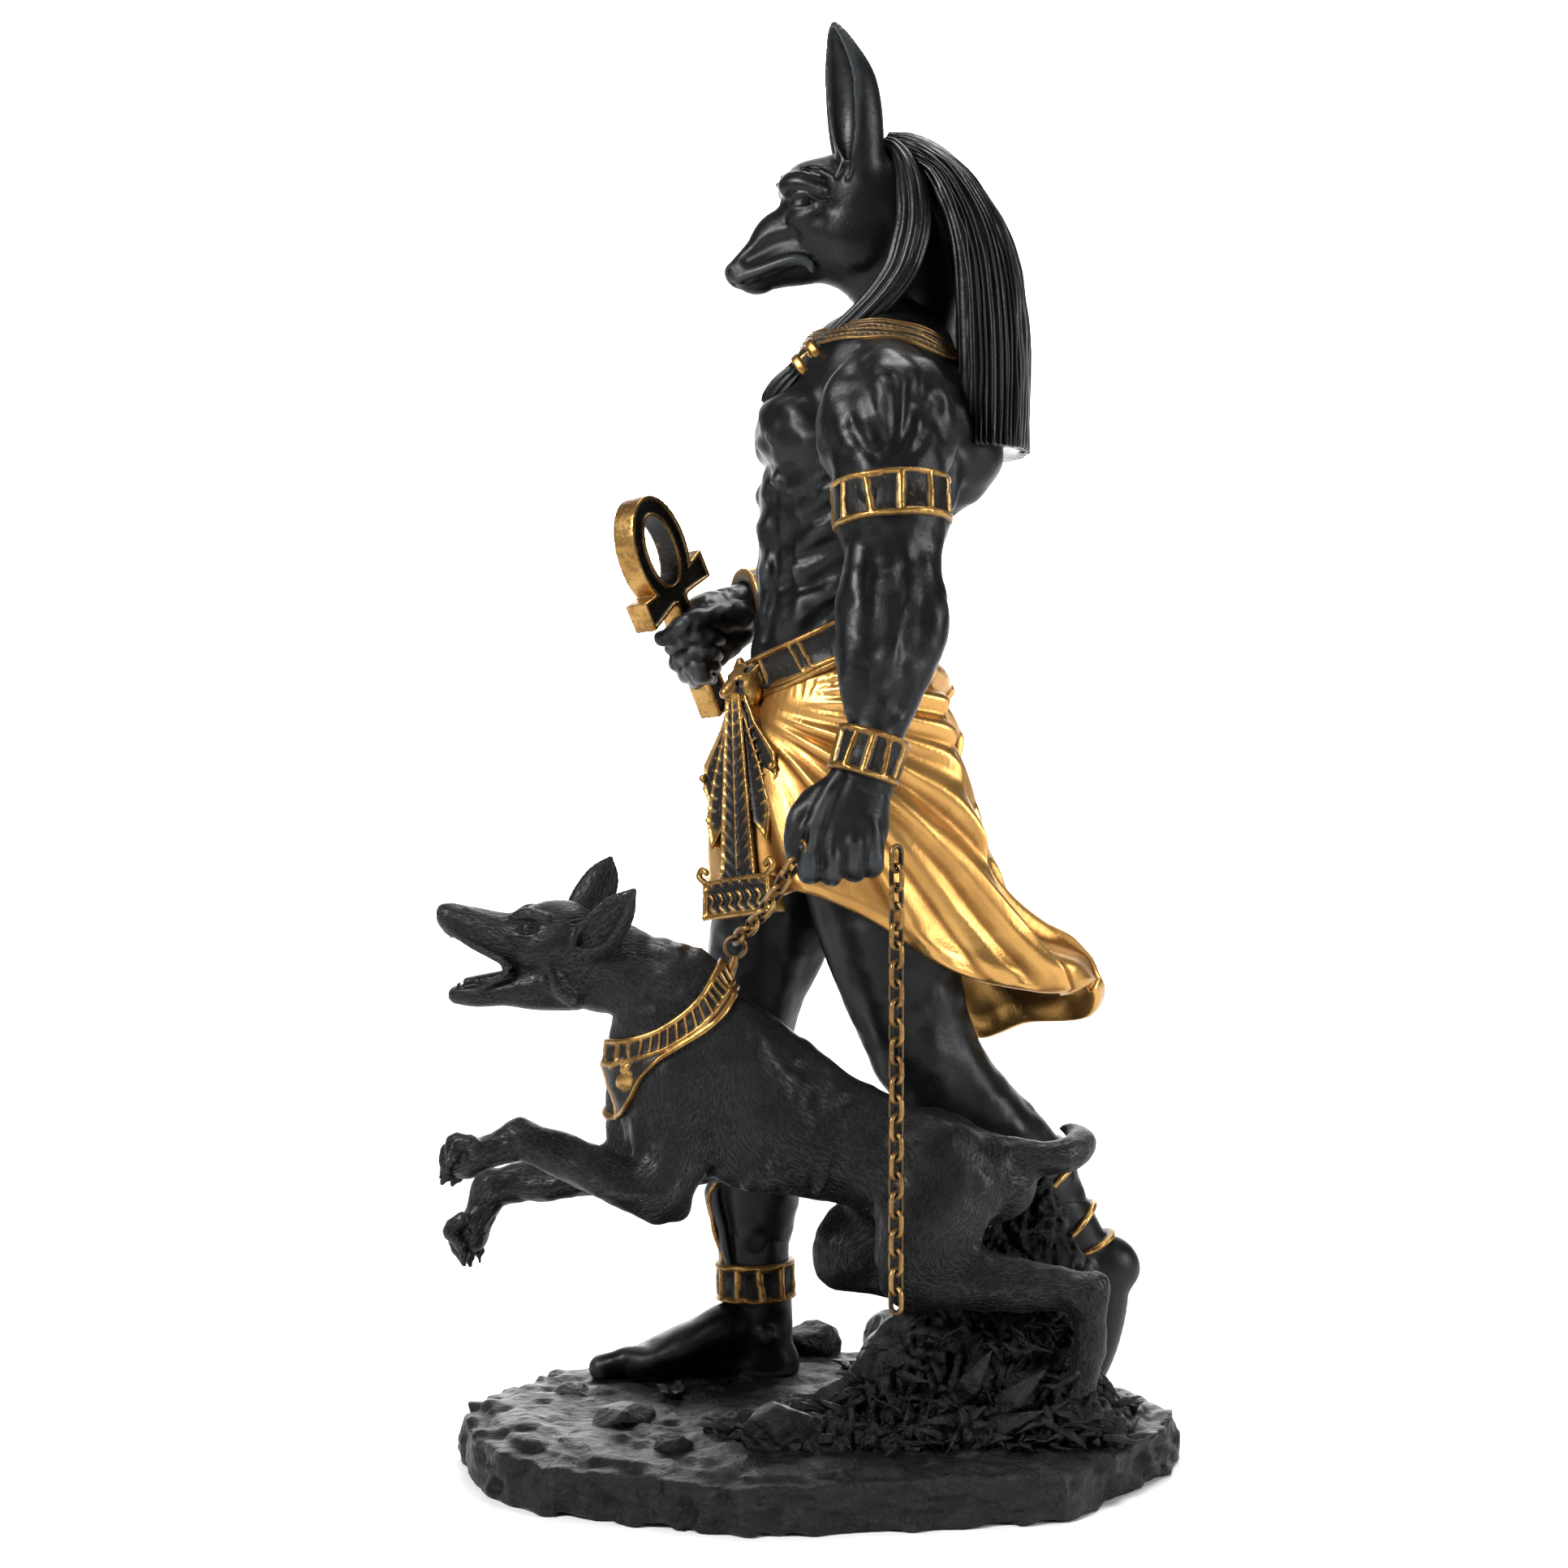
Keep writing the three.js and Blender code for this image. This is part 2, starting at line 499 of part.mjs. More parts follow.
function jackalCollar() {
  const ring = loft([beast([-13, 102.4], [-43.6, 79], 12), beast([-15, 105.2], [-43.8, 83], 12), beast([-20.6, 106.4], [-42.4, 88.8], 10)], 10);
  const drop = limb([[-41.6, JACKAL_Y - 2, 84, 2.6, 7], [-42, JACKAL_Y - 2, 78, 2.2, 4], [-41, JACKAL_Y - 2, 72.6, 1, 0.8]], 4);
  const staple = new THREE.TorusGeometry(STAPLE_RADIUS, WIRE / 2, 3, 6).rotateX(Math.PI / 2).translate(...STAPLE);
  return join([ring, drop, solid(staple)]);
}

function jackal() {
  const forelegs = [foreleg(-28, [-33.4, 57], [-59, 69.6], [-77, 63.2]), foreleg(-8, [-40, 60], [-67, 56.4], [-74.6, 41])];
  const hindlegs = [hindleg(-25.6, [13, 41], [56, 39]), hindleg(-11.6, [0.4, 41.6], [50, 34])];
  return join([jackalTrunk(), jackalHead(), jackalCollar(), ...forelegs, ...hindlegs]).subtract(belowGround());
}

// The base: a rough slab with a low mound, boulders, and a bush that holds the jackal up

const BASE_OUTLINE = [
  [-74.6, -6], [-70, -23], [-65.7, -33.4], [-54, -47], [-13, -62.2], [47, -52], [71, -18], [75, -3], [68.4, 9], [64, 22],
  [53, 36], [26, 49], [-8, 52], [-36, 46], [-56, 32], [-70.4, 10.4],
];
const MOUND = (angle) => 1 + 0.04 * Math.cos(rad(3 * angle + 60)) + 0.03 * Math.cos(rad(5 * angle));

function slab() {
  const outline = new THREE.Shape(BASE_OUTLINE.map(([x, y]) => new THREE.Vector2(x, y)));
  const bevel = 1.4;
  const rim = { depth: SLAB_EDGE - 2 * bevel, bevelThickness: bevel, bevelSize: bevel, bevelOffset: -bevel, bevelSegments: 1 };
  const level = (height, x, y) => ({ centre: V(0, -5, height), along: V(x, 0, 0), across: V(0, y, 0) });
  const mound = loft([level(SLAB_EDGE - 3, 68, 48), level(GROUND, 60, 42)], 14, MOUND);
  return solid(new THREE.ExtrudeGeometry(outline, rim).translate(0, 0, bevel)).add(mound);
}

// A faceted boulder.
const boulder = ([x, y, z], [rx, ry, rz], turn) =>
  solid(new THREE.IcosahedronGeometry(1).scale(rx, ry, rz).rotateZ(rad(turn)).rotateY(rad(turn / 3)).translate(x, y, z));

// A tuft of pointed blades that fan out from one root.
function tuft([x, y], reach, height, blades, first = 0) {
  const made = [];
  for (let i = 0; i < blades; i++) {
    const angle = rad(first + (360 * i) / blades);
    const tip = [x + reach * Math.cos(angle), y + reach * Math.sin(angle)];
    const bend = [x + 0.4 * (tip[0] - x), y + 0.4 * (tip[1] - y)];
    made.push(limb([[x, y, GROUND - 2, 3], [...bend, GROUND + 0.7 * height, 2.2], [...tip, GROUND + height, 0.3]], 3));
  }
  return join(made);
}

// The bush: a stout stem that carries the jackal's loins, a tall one behind its rump, and broad leaves.
function bush() {
  const stems = [
    limb([[20, -15, 6, 13, 10], [22, -15, 20, 7.4, 8], [23, -15, 31, 5.6, 7.6]], 6),
    limb([[26, -26, 6, 10, 12], [28, -25, 15, 7, 8], [29, -24, 20, 3, 3]], 6),
    limb([[50, -3.6, 8, 6, 6], [46, -4.4, 30, 5, 1.8], [43, -5, 60, 5, 1.6]], 6),
  ];
  const leaf = (from, over, to) => limb([[...from, 2.2, 3], [...over, 2.6, 3.6], [...to, 0.6]], 4);
  const leaves = [
    leaf([24, -22, 14], [30, -32, 24], [36, -34, 30]), leaf([27, -24, 13], [38, -34, 21], [46, -34, 27]),
    leaf([20, -22, 12], [24, -31, 17], [33, -34, 19.6]),
  ];
  return join([...stems, ...leaves]);
}

function base() {
  const rocks = [
    boulder([-7, -34, 11.6], [9, 6.6, 7.4], 20), boulder([-40, -16, 11], [7.4, 5.6, 3.8], 50), boulder([-29, -36, 10.4], [4.4, 3.4, 3.4], 10),
    boulder([0, 44, 12], [7, 6, 6.4], 35), boulder([17, 43, 12.6], [9, 6.6, 7.6], 80), boulder([-20, 46, 10.6], [6, 5, 4], 15),
  ];
  const grass = [tuft([4, -14], 12, 6, 5), tuft([12, -32], 9, 6, 4, 40)];
  return join([slab(), bush(), ...rocks, ...grass]);
}

// The chain

// One long link of wire with its length and width along the ways given.
const LINK_SHAPE = [[1, 0], [0.68, 1], [-0.68, 1], [-1, 0], [-0.68, -1], [0.68, -1]];

function link(centre, long, wide) {
  const away = long.clone().cross(wide);
  const sides = 3;
  const radius = (WIRE / 2) * 1.3;
  const points = [];
  for (const [u, v] of LINK_SHAPE)
    for (let k = 0; k < sides; k++) {
      const out = -radius * Math.cos(rad(120 * k));
      const p = centre.clone().addScaledVector(away, radius * Math.sin(rad(120 * k)));
      p.addScaledVector(long, u * ((LINK_LENGTH - WIRE) / 2 + out));
      points.push(p.addScaledVector(wide, v * ((LINK_WIDTH - WIRE) / 2 + out)));
    }
  const index = [];
  for (let i = 0; i < points.length; i += sides)
    for (let k = 0; k < sides; k++) {
      const [a, b] = [i + k, i + ((k + 1) % sides)];
      const [c, d] = [a, b].map((p) => (p + sides) % points.length);
      index.push(a, b, d, a, d, c);
    }
  const geometry = new THREE.BufferGeometry().setFromPoints(points);
  geometry.setIndex(index);
  return solid(geometry);
}

// Links threaded along a curve, each turned a quarter from the last.
function chain(curve, count) {
  const links = [];
  for (let i = 0; i < count; i++) {
    const share = (i + 0.5) / count;
    const long = curve.getTangentAt(share);
    const side = V(0, 1, 0).projectOnPlane(long).normalize();
    const other = long.clone().cross(side);
    const face = i % 2 ? side.clone().sub(other) : side.clone().add(other);
    links.push(link(curve.getPointAt(share), long, face.normalize()));
  }
  return join(links);
}

// The end that hangs free from the fist.
function hangingChain() {
  const top = V(15, -36, 128.4);
  return chain(new THREE.LineCurve3(top, top.clone().setZ(top.z - HANGING_LINKS * LINK_PITCH)), HANGING_LINKS);
}

// The stretch from the fist to the staple on the jackal's collar.
function leash() {
  const curve = new THREE.QuadraticBezierCurve3(V(-16.8, -16.6, 109.4), V(-12, -30, 112), V(-7.4, -39.6, 125));
  return chain(curve, Math.round(curve.getLength() / LINK_PITCH));
}

const statuette = new THREE.Group();
statuette.add(
  meshOf("rock_base", base(), GROUND_BLACK, 0.75, 0),
  meshOf("striding_god", god(), BLACK, 0.45, 0),
  meshOf("jackal", jackal(), BLACK, 0.6, 0),
  meshOf("ankh", ankh(), GOLD, 0.35, 0.8),
  meshOf("leash_chain", leash(), GOLD, 0.35, 0.9),
  meshOf("hanging_chain", hangingChain(), GOLD, 0.35, 0.9),
);

export default statuette;
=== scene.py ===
"""The finish of a cast statuette: a jackal-headed Egyptian god strides with a leashed jackal on a rocky base.

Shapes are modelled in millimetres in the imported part's own frame and become Blender meshes in metres.
The god walks towards -X, his left side faces -Y, and the jackal runs on that side.
"""

import math
from functools import lru_cache

import bpy
import numpy as np
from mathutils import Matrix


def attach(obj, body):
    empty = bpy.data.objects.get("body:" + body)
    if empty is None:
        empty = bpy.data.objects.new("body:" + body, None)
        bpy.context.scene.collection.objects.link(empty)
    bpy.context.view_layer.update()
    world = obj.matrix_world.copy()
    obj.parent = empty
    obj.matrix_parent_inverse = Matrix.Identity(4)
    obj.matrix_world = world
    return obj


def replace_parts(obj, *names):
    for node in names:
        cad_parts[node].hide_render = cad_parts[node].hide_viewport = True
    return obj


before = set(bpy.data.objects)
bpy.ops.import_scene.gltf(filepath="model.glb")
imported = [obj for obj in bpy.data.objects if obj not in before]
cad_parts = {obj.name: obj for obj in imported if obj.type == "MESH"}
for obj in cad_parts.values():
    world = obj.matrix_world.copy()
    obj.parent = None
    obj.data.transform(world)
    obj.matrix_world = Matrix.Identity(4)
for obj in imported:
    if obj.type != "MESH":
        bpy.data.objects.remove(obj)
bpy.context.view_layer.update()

import openvdb
from bpy.props import FloatProperty, FloatVectorProperty, PointerProperty
from mathutils import Euler, Vector

bl_info = {
    "name": "Jackal-god statuette",
    "version": (1, 0, 0),
    "blender": (4, 5, 0),
    "location": "3D View > Sidebar > Statuette",
    "description": "Models a cast statuette of the jackal-headed god and his jackal around its packed solids",
    "category": "Add Mesh",
}

MM = 0.001
FAR = 12.0  # the distance, in millimetres, that untouched clay reports
RELIEF_REACH = 1.1  # how far around a point the relief is judged for worn edges and painted shade, in millimetres
TINY = 1e-6  # keeps divisions away from zero
ACROSS = np.array((0.0, 1.0, 0.0))  # the way across both figures

# Levels and planes of the part, in millimetres
EAR_TIP = 299.6
GROUND = 10.5
SOLE = GROUND + 0.3  # where feet and paws are cut off flat
TOE_LIFT = 0.95  # how far the middle of a toe is above the ground, in its own radii
SLAB_EDGE = 9.6
GOD_Y = 16.0
JACKAL_Y = -18.0
BELT_DIP = 24.0


# Clay: signed distances on a grid, from which each carved piece gets its skin


def eased(a, b, c, d, t):
    """A share of the way from b to c, on a smooth curve that comes from a and goes on to d."""
    return 0.5 * (2 * b + (c - a) * t + (2 * a - 5 * b + 4 * c - d) * t**2 + (3 * b - a - 3 * c + d) * t**3)


def smooth_path(stations, step):
    """A smooth run of rows through given stations, one row at least every `step` millimetres."""
    rows = np.array([(*s, s[3]) if len(s) == 4 else s for s in stations], float)
    ends = np.vstack([2 * rows[0] - rows[1], rows, 2 * rows[-1] - rows[-2]])
    made = []
    for a, b, c, d in zip(ends, ends[1:], ends[2:], ends[3:]):
        count = max(1, math.ceil(np.linalg.norm((c - b)[:3]) / step))
        for t in np.arange(count) / count:
            made.append(eased(a, b, c, d, t))
    made = np.array([*made, rows[-1]])
    made[:, 3:5] = np.maximum(made[:, 3:5], 0.05)
    return made


def oval_distance(offsets, radii):
    """Signed distance to an oval, near enough to its surface, from offsets along its own axes."""
    near = sum((p / r) ** 2 for p, r in zip(offsets, radii))
    slope = sum((p / r**2) ** 2 for p, r in zip(offsets, radii))
    near = np.sqrt(near)
    return near * (near - 1) / (np.sqrt(slope) + TINY)


def ball(centre, radii, turn=(0, 0, 0)):
    """An oval lump with half axes `radii`, turned about X, Y and Z in degrees."""
    middle, radii = np.array(centre, float), np.array(radii, float)
    axes = np.array(Euler([math.radians(t) for t in turn]).to_matrix())
    reach = np.sqrt(((axes * radii) ** 2).sum(1))

    def distance(x, y, z):
        away = (x - middle[0], y - middle[1], z - middle[2])
        return oval_distance([sum(axes[j, i] * away[j] for j in range(3)) for i in range(3)], radii)

    return [(middle - reach, middle + reach, distance)]


def stick(a, b):
    """One short stretch of a limb between two rows (x, y, z, radius in the side view, radius across)."""
    way = b[:3] - a[:3]
    length = max(np.linalg.norm(way), TINY)
    way = way / length
    side = ACROSS - (ACROSS @ way) * way
    side /= max(np.linalg.norm(side), TINY)
    lift = np.cross(side, way)
    reach = max(*a[3:5], *b[3:5])

    def distance(x, y, z):
        away = (x - a[0], y - a[1], z - a[2])
        along = sum(w * p for w, p in zip(way, away))
        share = np.clip(along / length, 0, 1)
        radii = [a[i] + share * (b[i] - a[i]) for i in (3, 4)]
        offsets = [sum(w * p for w, p in zip(axis, away)) for axis in (lift, side)]
        return oval_distance([*offsets, along - share * length], [*radii, np.minimum(*radii)])

    return np.minimum(a[:3], b[:3]) - reach, np.maximum(a[:3], b[:3]) + reach, distance


def limb(stations, step=2.0):
    """A tapering oval form along stations (x, y, z, radius in the side view, radius across)."""
    rows = smooth_path(stations, step)
    return [stick(a, b) for a, b in zip(rows, rows[1:])]


def placed(at, *rows):
    """Stations whose places go through `at`; what follows a place stays as it is."""
    return [(*at(*row[:3]), *row[3:]) for row in rows]


def unit(vector):
    """A vector of the same direction and of length 1."""
    return vector / np.linalg.norm(vector)


def noise(places, seed):
    """Smooth random values, mostly from -1 to 1, that change over a distance of about 1."""
    lattice = np.random.default_rng(seed).uniform(-1, 1, (32, 32, 32)).astype(np.float32)
    cell = np.floor(places).astype(int)
    part = places - cell
    part = part * part * (3 - 2 * part)
    total = 0
    for corner in np.ndindex(2, 2, 2):
        weight = np.prod([part[..., i] if corner[i] else 1 - part[..., i] for i in range(3)], axis=0)
        total = total + weight * lattice[tuple((cell[..., i] + corner[i]) % 32 for i in range(3))]
    return 1.6 * total


def noise_over(seed, x, y, z):
    """Noise at coordinates of different shapes, spread over their common shape."""
    return noise(np.stack(np.broadcast_arrays(x, y, z), -1), seed)


def between_cells(field, places):
    """The values of a grid at places counted in cells, blended between neighbours."""
    cell = np.clip(np.floor(places).astype(int), 0, np.array(field.shape) - 2)
    part = places - cell
    total = 0
    for corner in np.ndindex(2, 2, 2):
        weight = np.prod([part[:, i] if corner[i] else 1 - part[:, i] for i in range(3)], axis=0)
        total = total + weight * field[tuple((cell + corner).T)]
    return total


class Clay:
    """A block of clay between two corners, worked at a given grain."""

    def __init__(self, low, high, grain):
        self.low, self.grain = np.array(low, float), grain
        self.size = np.ceil((np.array(high, float) - self.low) / grain).astype(int) + 1
        self.field = np.full(self.size, FAR, np.float32)

    def window(self, low, high):
        first = np.clip(np.floor((low - self.low) / self.grain).astype(int), 0, self.size)
        last = np.clip(np.ceil((high - self.low) / self.grain).astype(int) + 1, first, self.size)
        return first, last

    def axes(self, first, last):
        spans = [self.low[i] + self.grain * np.arange(first[i], last[i]) for i in range(3)]
        return [s.astype(np.float32).reshape([-1 if i == j else 1 for j in range(3)]) for i, s in enumerate(spans)]

    def trial(self, form, margin):
        """The cells that a form reaches, and its own distances there."""
        margin += 2 * self.grain
        lows, highs = (np.array([part[k] for part in form]) for k in (0, 1))
        start, stop = self.window(lows.min(0) - margin, highs.max(0) + margin)
        fresh = np.full(stop - start, FAR, np.float32)
        for low, high, distance in form:
            first, last = self.window(low - margin, high + margin)
            if (last > first).all():
                cells = tuple(slice(p - s, q - s) for p, q, s in zip(first, last, start))
                fresh[cells] = np.minimum(fresh[cells], distance(*self.axes(first, last)))
        return tuple(slice(p, q) for p, q in zip(start, stop)), fresh

    def add(self, form, melt=1.5):
        """Presses a form on, its edge melted in over `melt` millimetres."""
        cells, fresh = self.trial(form, melt)
        old = self.field[cells]
        self.field[cells] = np.minimum(old, fresh) - np.maximum(melt - abs(old - fresh), 0) ** 2 / (4 * melt)

    def lumps(self, *rows):
        """Presses on oval lumps in turn, each given by its centre, half axes, melt and any turn."""
        for centre, radii, melt, *turn in rows:
            self.add(ball(centre, radii, *turn), melt)

    def cut(self, form, melt=0.6):
        """Carves a form out, the edge of the cut softened over `melt` millimetres."""
        cells, fresh = self.trial(form, melt)
        old = self.field[cells]
        self.field[cells] = np.maximum(old, -fresh) + np.maximum(melt - abs(old + fresh), 0) ** 2 / (4 * melt)

    def depth_at(self, places):
        """The distance at each of a list of places; far off outside the block."""
        cells = np.rint((places - self.low) / self.grain).astype(int)
        inside = ((cells >= 0) & (cells < self.size)).all(1)
        return np.where(inside, self.field[tuple(np.clip(cells, 0, self.size - 1).T)], FAR)

    def laid(self, stations, way, sunk=0.0):
        """Stations moved along a way to where they first meet the clay, then sunk deeper; a miss drops out."""
        way = unit(np.array(way, float))
        reach = np.arange(-12, 14, self.grain / 2)
        made = []
        for station in stations:
            line = np.array(station[:3], float) + reach[:, None] * way
            hits = np.flatnonzero(self.depth_at(line) < 0)
            if len(hits):
                made.append((*(line[hits[0]] + sunk * way), *station[3:]))
        return made

    def ridge(self, stations, way, rise=0.3, melt=0.8, step=1.2):
        """Lays a raised line on the surface, seen along a way."""
        rows = self.laid(smooth_path(stations, 2 * step), way, max(s[3] for s in stations) - rise)
        if len(rows) > 1:
            self.add(limb(rows, step), melt)

    def swell(self, place, way, radii, rise, turn=(0, 0, 0), melt=1.4):
        """Raises an oval swelling on the surface where a way from outside first meets it."""
        spots = self.laid([(*place, 1)], way)
        if not spots:
            return
        spot = spots[0][:3]
        axes = np.array(Euler([math.radians(t) for t in turn]).to_matrix())
        depth = np.sqrt((((unit(np.array(way, float)) @ axes) * radii) ** 2).sum())
        self.add(ball(np.array(spot) + (depth - rise) * unit(np.array(way, float)), radii, turn), melt)

    def score(self, stations, way, depth=0.4, melt=0.8, step=1.2):
        """Draws a groove on the surface, seen along a way."""
        rows = self.laid(smooth_path(stations, 2 * step), way, depth - max(s[3] for s in stations))
        if len(rows) > 1:
            self.cut(limb(rows, step), melt)

    def roughen(self, size, depth, seed, stretch=(1, 1, 1)):
        """Works the whole surface over with soft random dents of a size and a depth."""
        near = np.abs(self.field) < 3 * self.grain + abs(depth)
        cells = np.argwhere(near)
        places = (self.low + cells * self.grain) / (size * np.array(stretch))
        self.field[near] += (depth * noise(places, seed)).astype(np.float32)

    def trim_below(self, height):
        """Slices off everything under a height."""
        _, _, z = self.axes(np.zeros(3, int), self.size)
        self.field = np.maximum(self.field, height - z)

    def blurred(self, reach):
        """The distances averaged over a cube that reaches that far, in millimetres, twice over."""
        n = max(1, round(reach / self.grain))
        field = np.clip(self.field, -FAR / 3, FAR / 3)
        for _ in range(2):
            for axis in range(3):
                around = [(n + 1, n) if i == axis else (0, 0) for i in range(3)]
                padded = np.cumsum(np.pad(field, around, "edge"), axis, np.float64)
                ahead, behind = (np.take(padded, np.arange(k, k + field.shape[axis]), axis) for k in (2 * n + 1, 0))
                field = ((ahead - behind) / (2 * n + 1)).astype(np.float32)
        return field

    def skin(self):
        """The surface as points in millimetres, four-sided faces, and how proud of the rest each point is."""
        grid = openvdb.FloatGrid(3 * self.grain)
        grid.copyFromArray(np.clip(self.field, -3 * self.grain, 3 * self.grain), tolerance=1e-6)
        points, _, quads = grid.convertToPolygons(isovalue=0.0, adaptivity=0.0)
        proud = between_cells(self.blurred(RELIEF_REACH), points)
        a, b, c = (points[quads[:, k]].astype(float) for k in range(3))
        if (a * np.cross(b, c)).sum() < 0:
            quads = quads[:, ::-1]
        return points * self.grain + self.low, quads, proud


def drape(clays, place, way, lift=0.0):
    """Where a way from outside first meets any of the clays, then lifted off it."""
    way = unit(np.array(way, float))
    line = np.array(place, float) + np.arange(-16, 16, 0.2)[:, None] * way
    hits = np.flatnonzero(np.min([clay.depth_at(line) for clay in clays], axis=0) < 0)
    return (line[hits[0]] if len(hits) else np.array(place, float)) - lift * way


def new_piece(name, points, faces, slot, material, kept=1.0, **marks):
    """A smooth-shaded mesh from points in millimetres, with a value or a direction per point for each mark.

    It keeps that share of its faces, rides on the part and takes a material; the slot is not used.
    """
    mesh = bpy.data.meshes.new(name)
    mesh.from_pydata(np.asarray(points) * MM, [], faces)
    mesh.update()
    for mark, values in marks.items():
        values = np.asarray(values, np.float32)
        kind, field = ("FLOAT_VECTOR", "vector") if values.ndim == 2 else ("FLOAT", "value")
        mesh.attributes.new(mark, kind, "POINT").data.foreach_set(field, values.reshape(-1))
    piece = bpy.data.objects.new(name, mesh)
    bpy.context.scene.collection.objects.link(piece)
    if kept < 1:
        piece.modifiers.new("fewer faces", "DECIMATE").ratio = kept
        piece.data = bpy.data.meshes.new_from_object(piece.evaluated_get(bpy.context.evaluated_depsgraph_get()))
        piece.modifiers.clear()
        bpy.data.meshes.remove(mesh)
        piece.data.name = name
    piece.data.shade_smooth()
    piece.data.materials.clear()
    piece.data.materials.append(material)
    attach(piece, "root")
    return piece


def clay_piece(name, clay, slot, material, kept=0.5, **painted):
    """Skins the clay; each painted mark is a function of the skin's points."""
    points, quads, proud = clay.skin()
    marks = {mark: paint(points) for mark, paint in painted.items()}
    return new_piece(name, points, quads, slot, material, kept, proud=proud, **marks)


# The god's bare forms

CHEST_X = 12.5  # the middle of the chest
CHEST_TURN = 2.0  # degrees to his left


def chest(ahead, left, height):
    """A point of the trunk, from how far ahead and how far to his left it is."""
    turn = math.radians(CHEST_TURN)
    x = CHEST_X - ahead * math.cos(turn) + left * math.sin(turn)
    return x, GOD_Y - ahead * math.sin(turn) - left * math.cos(turn), height


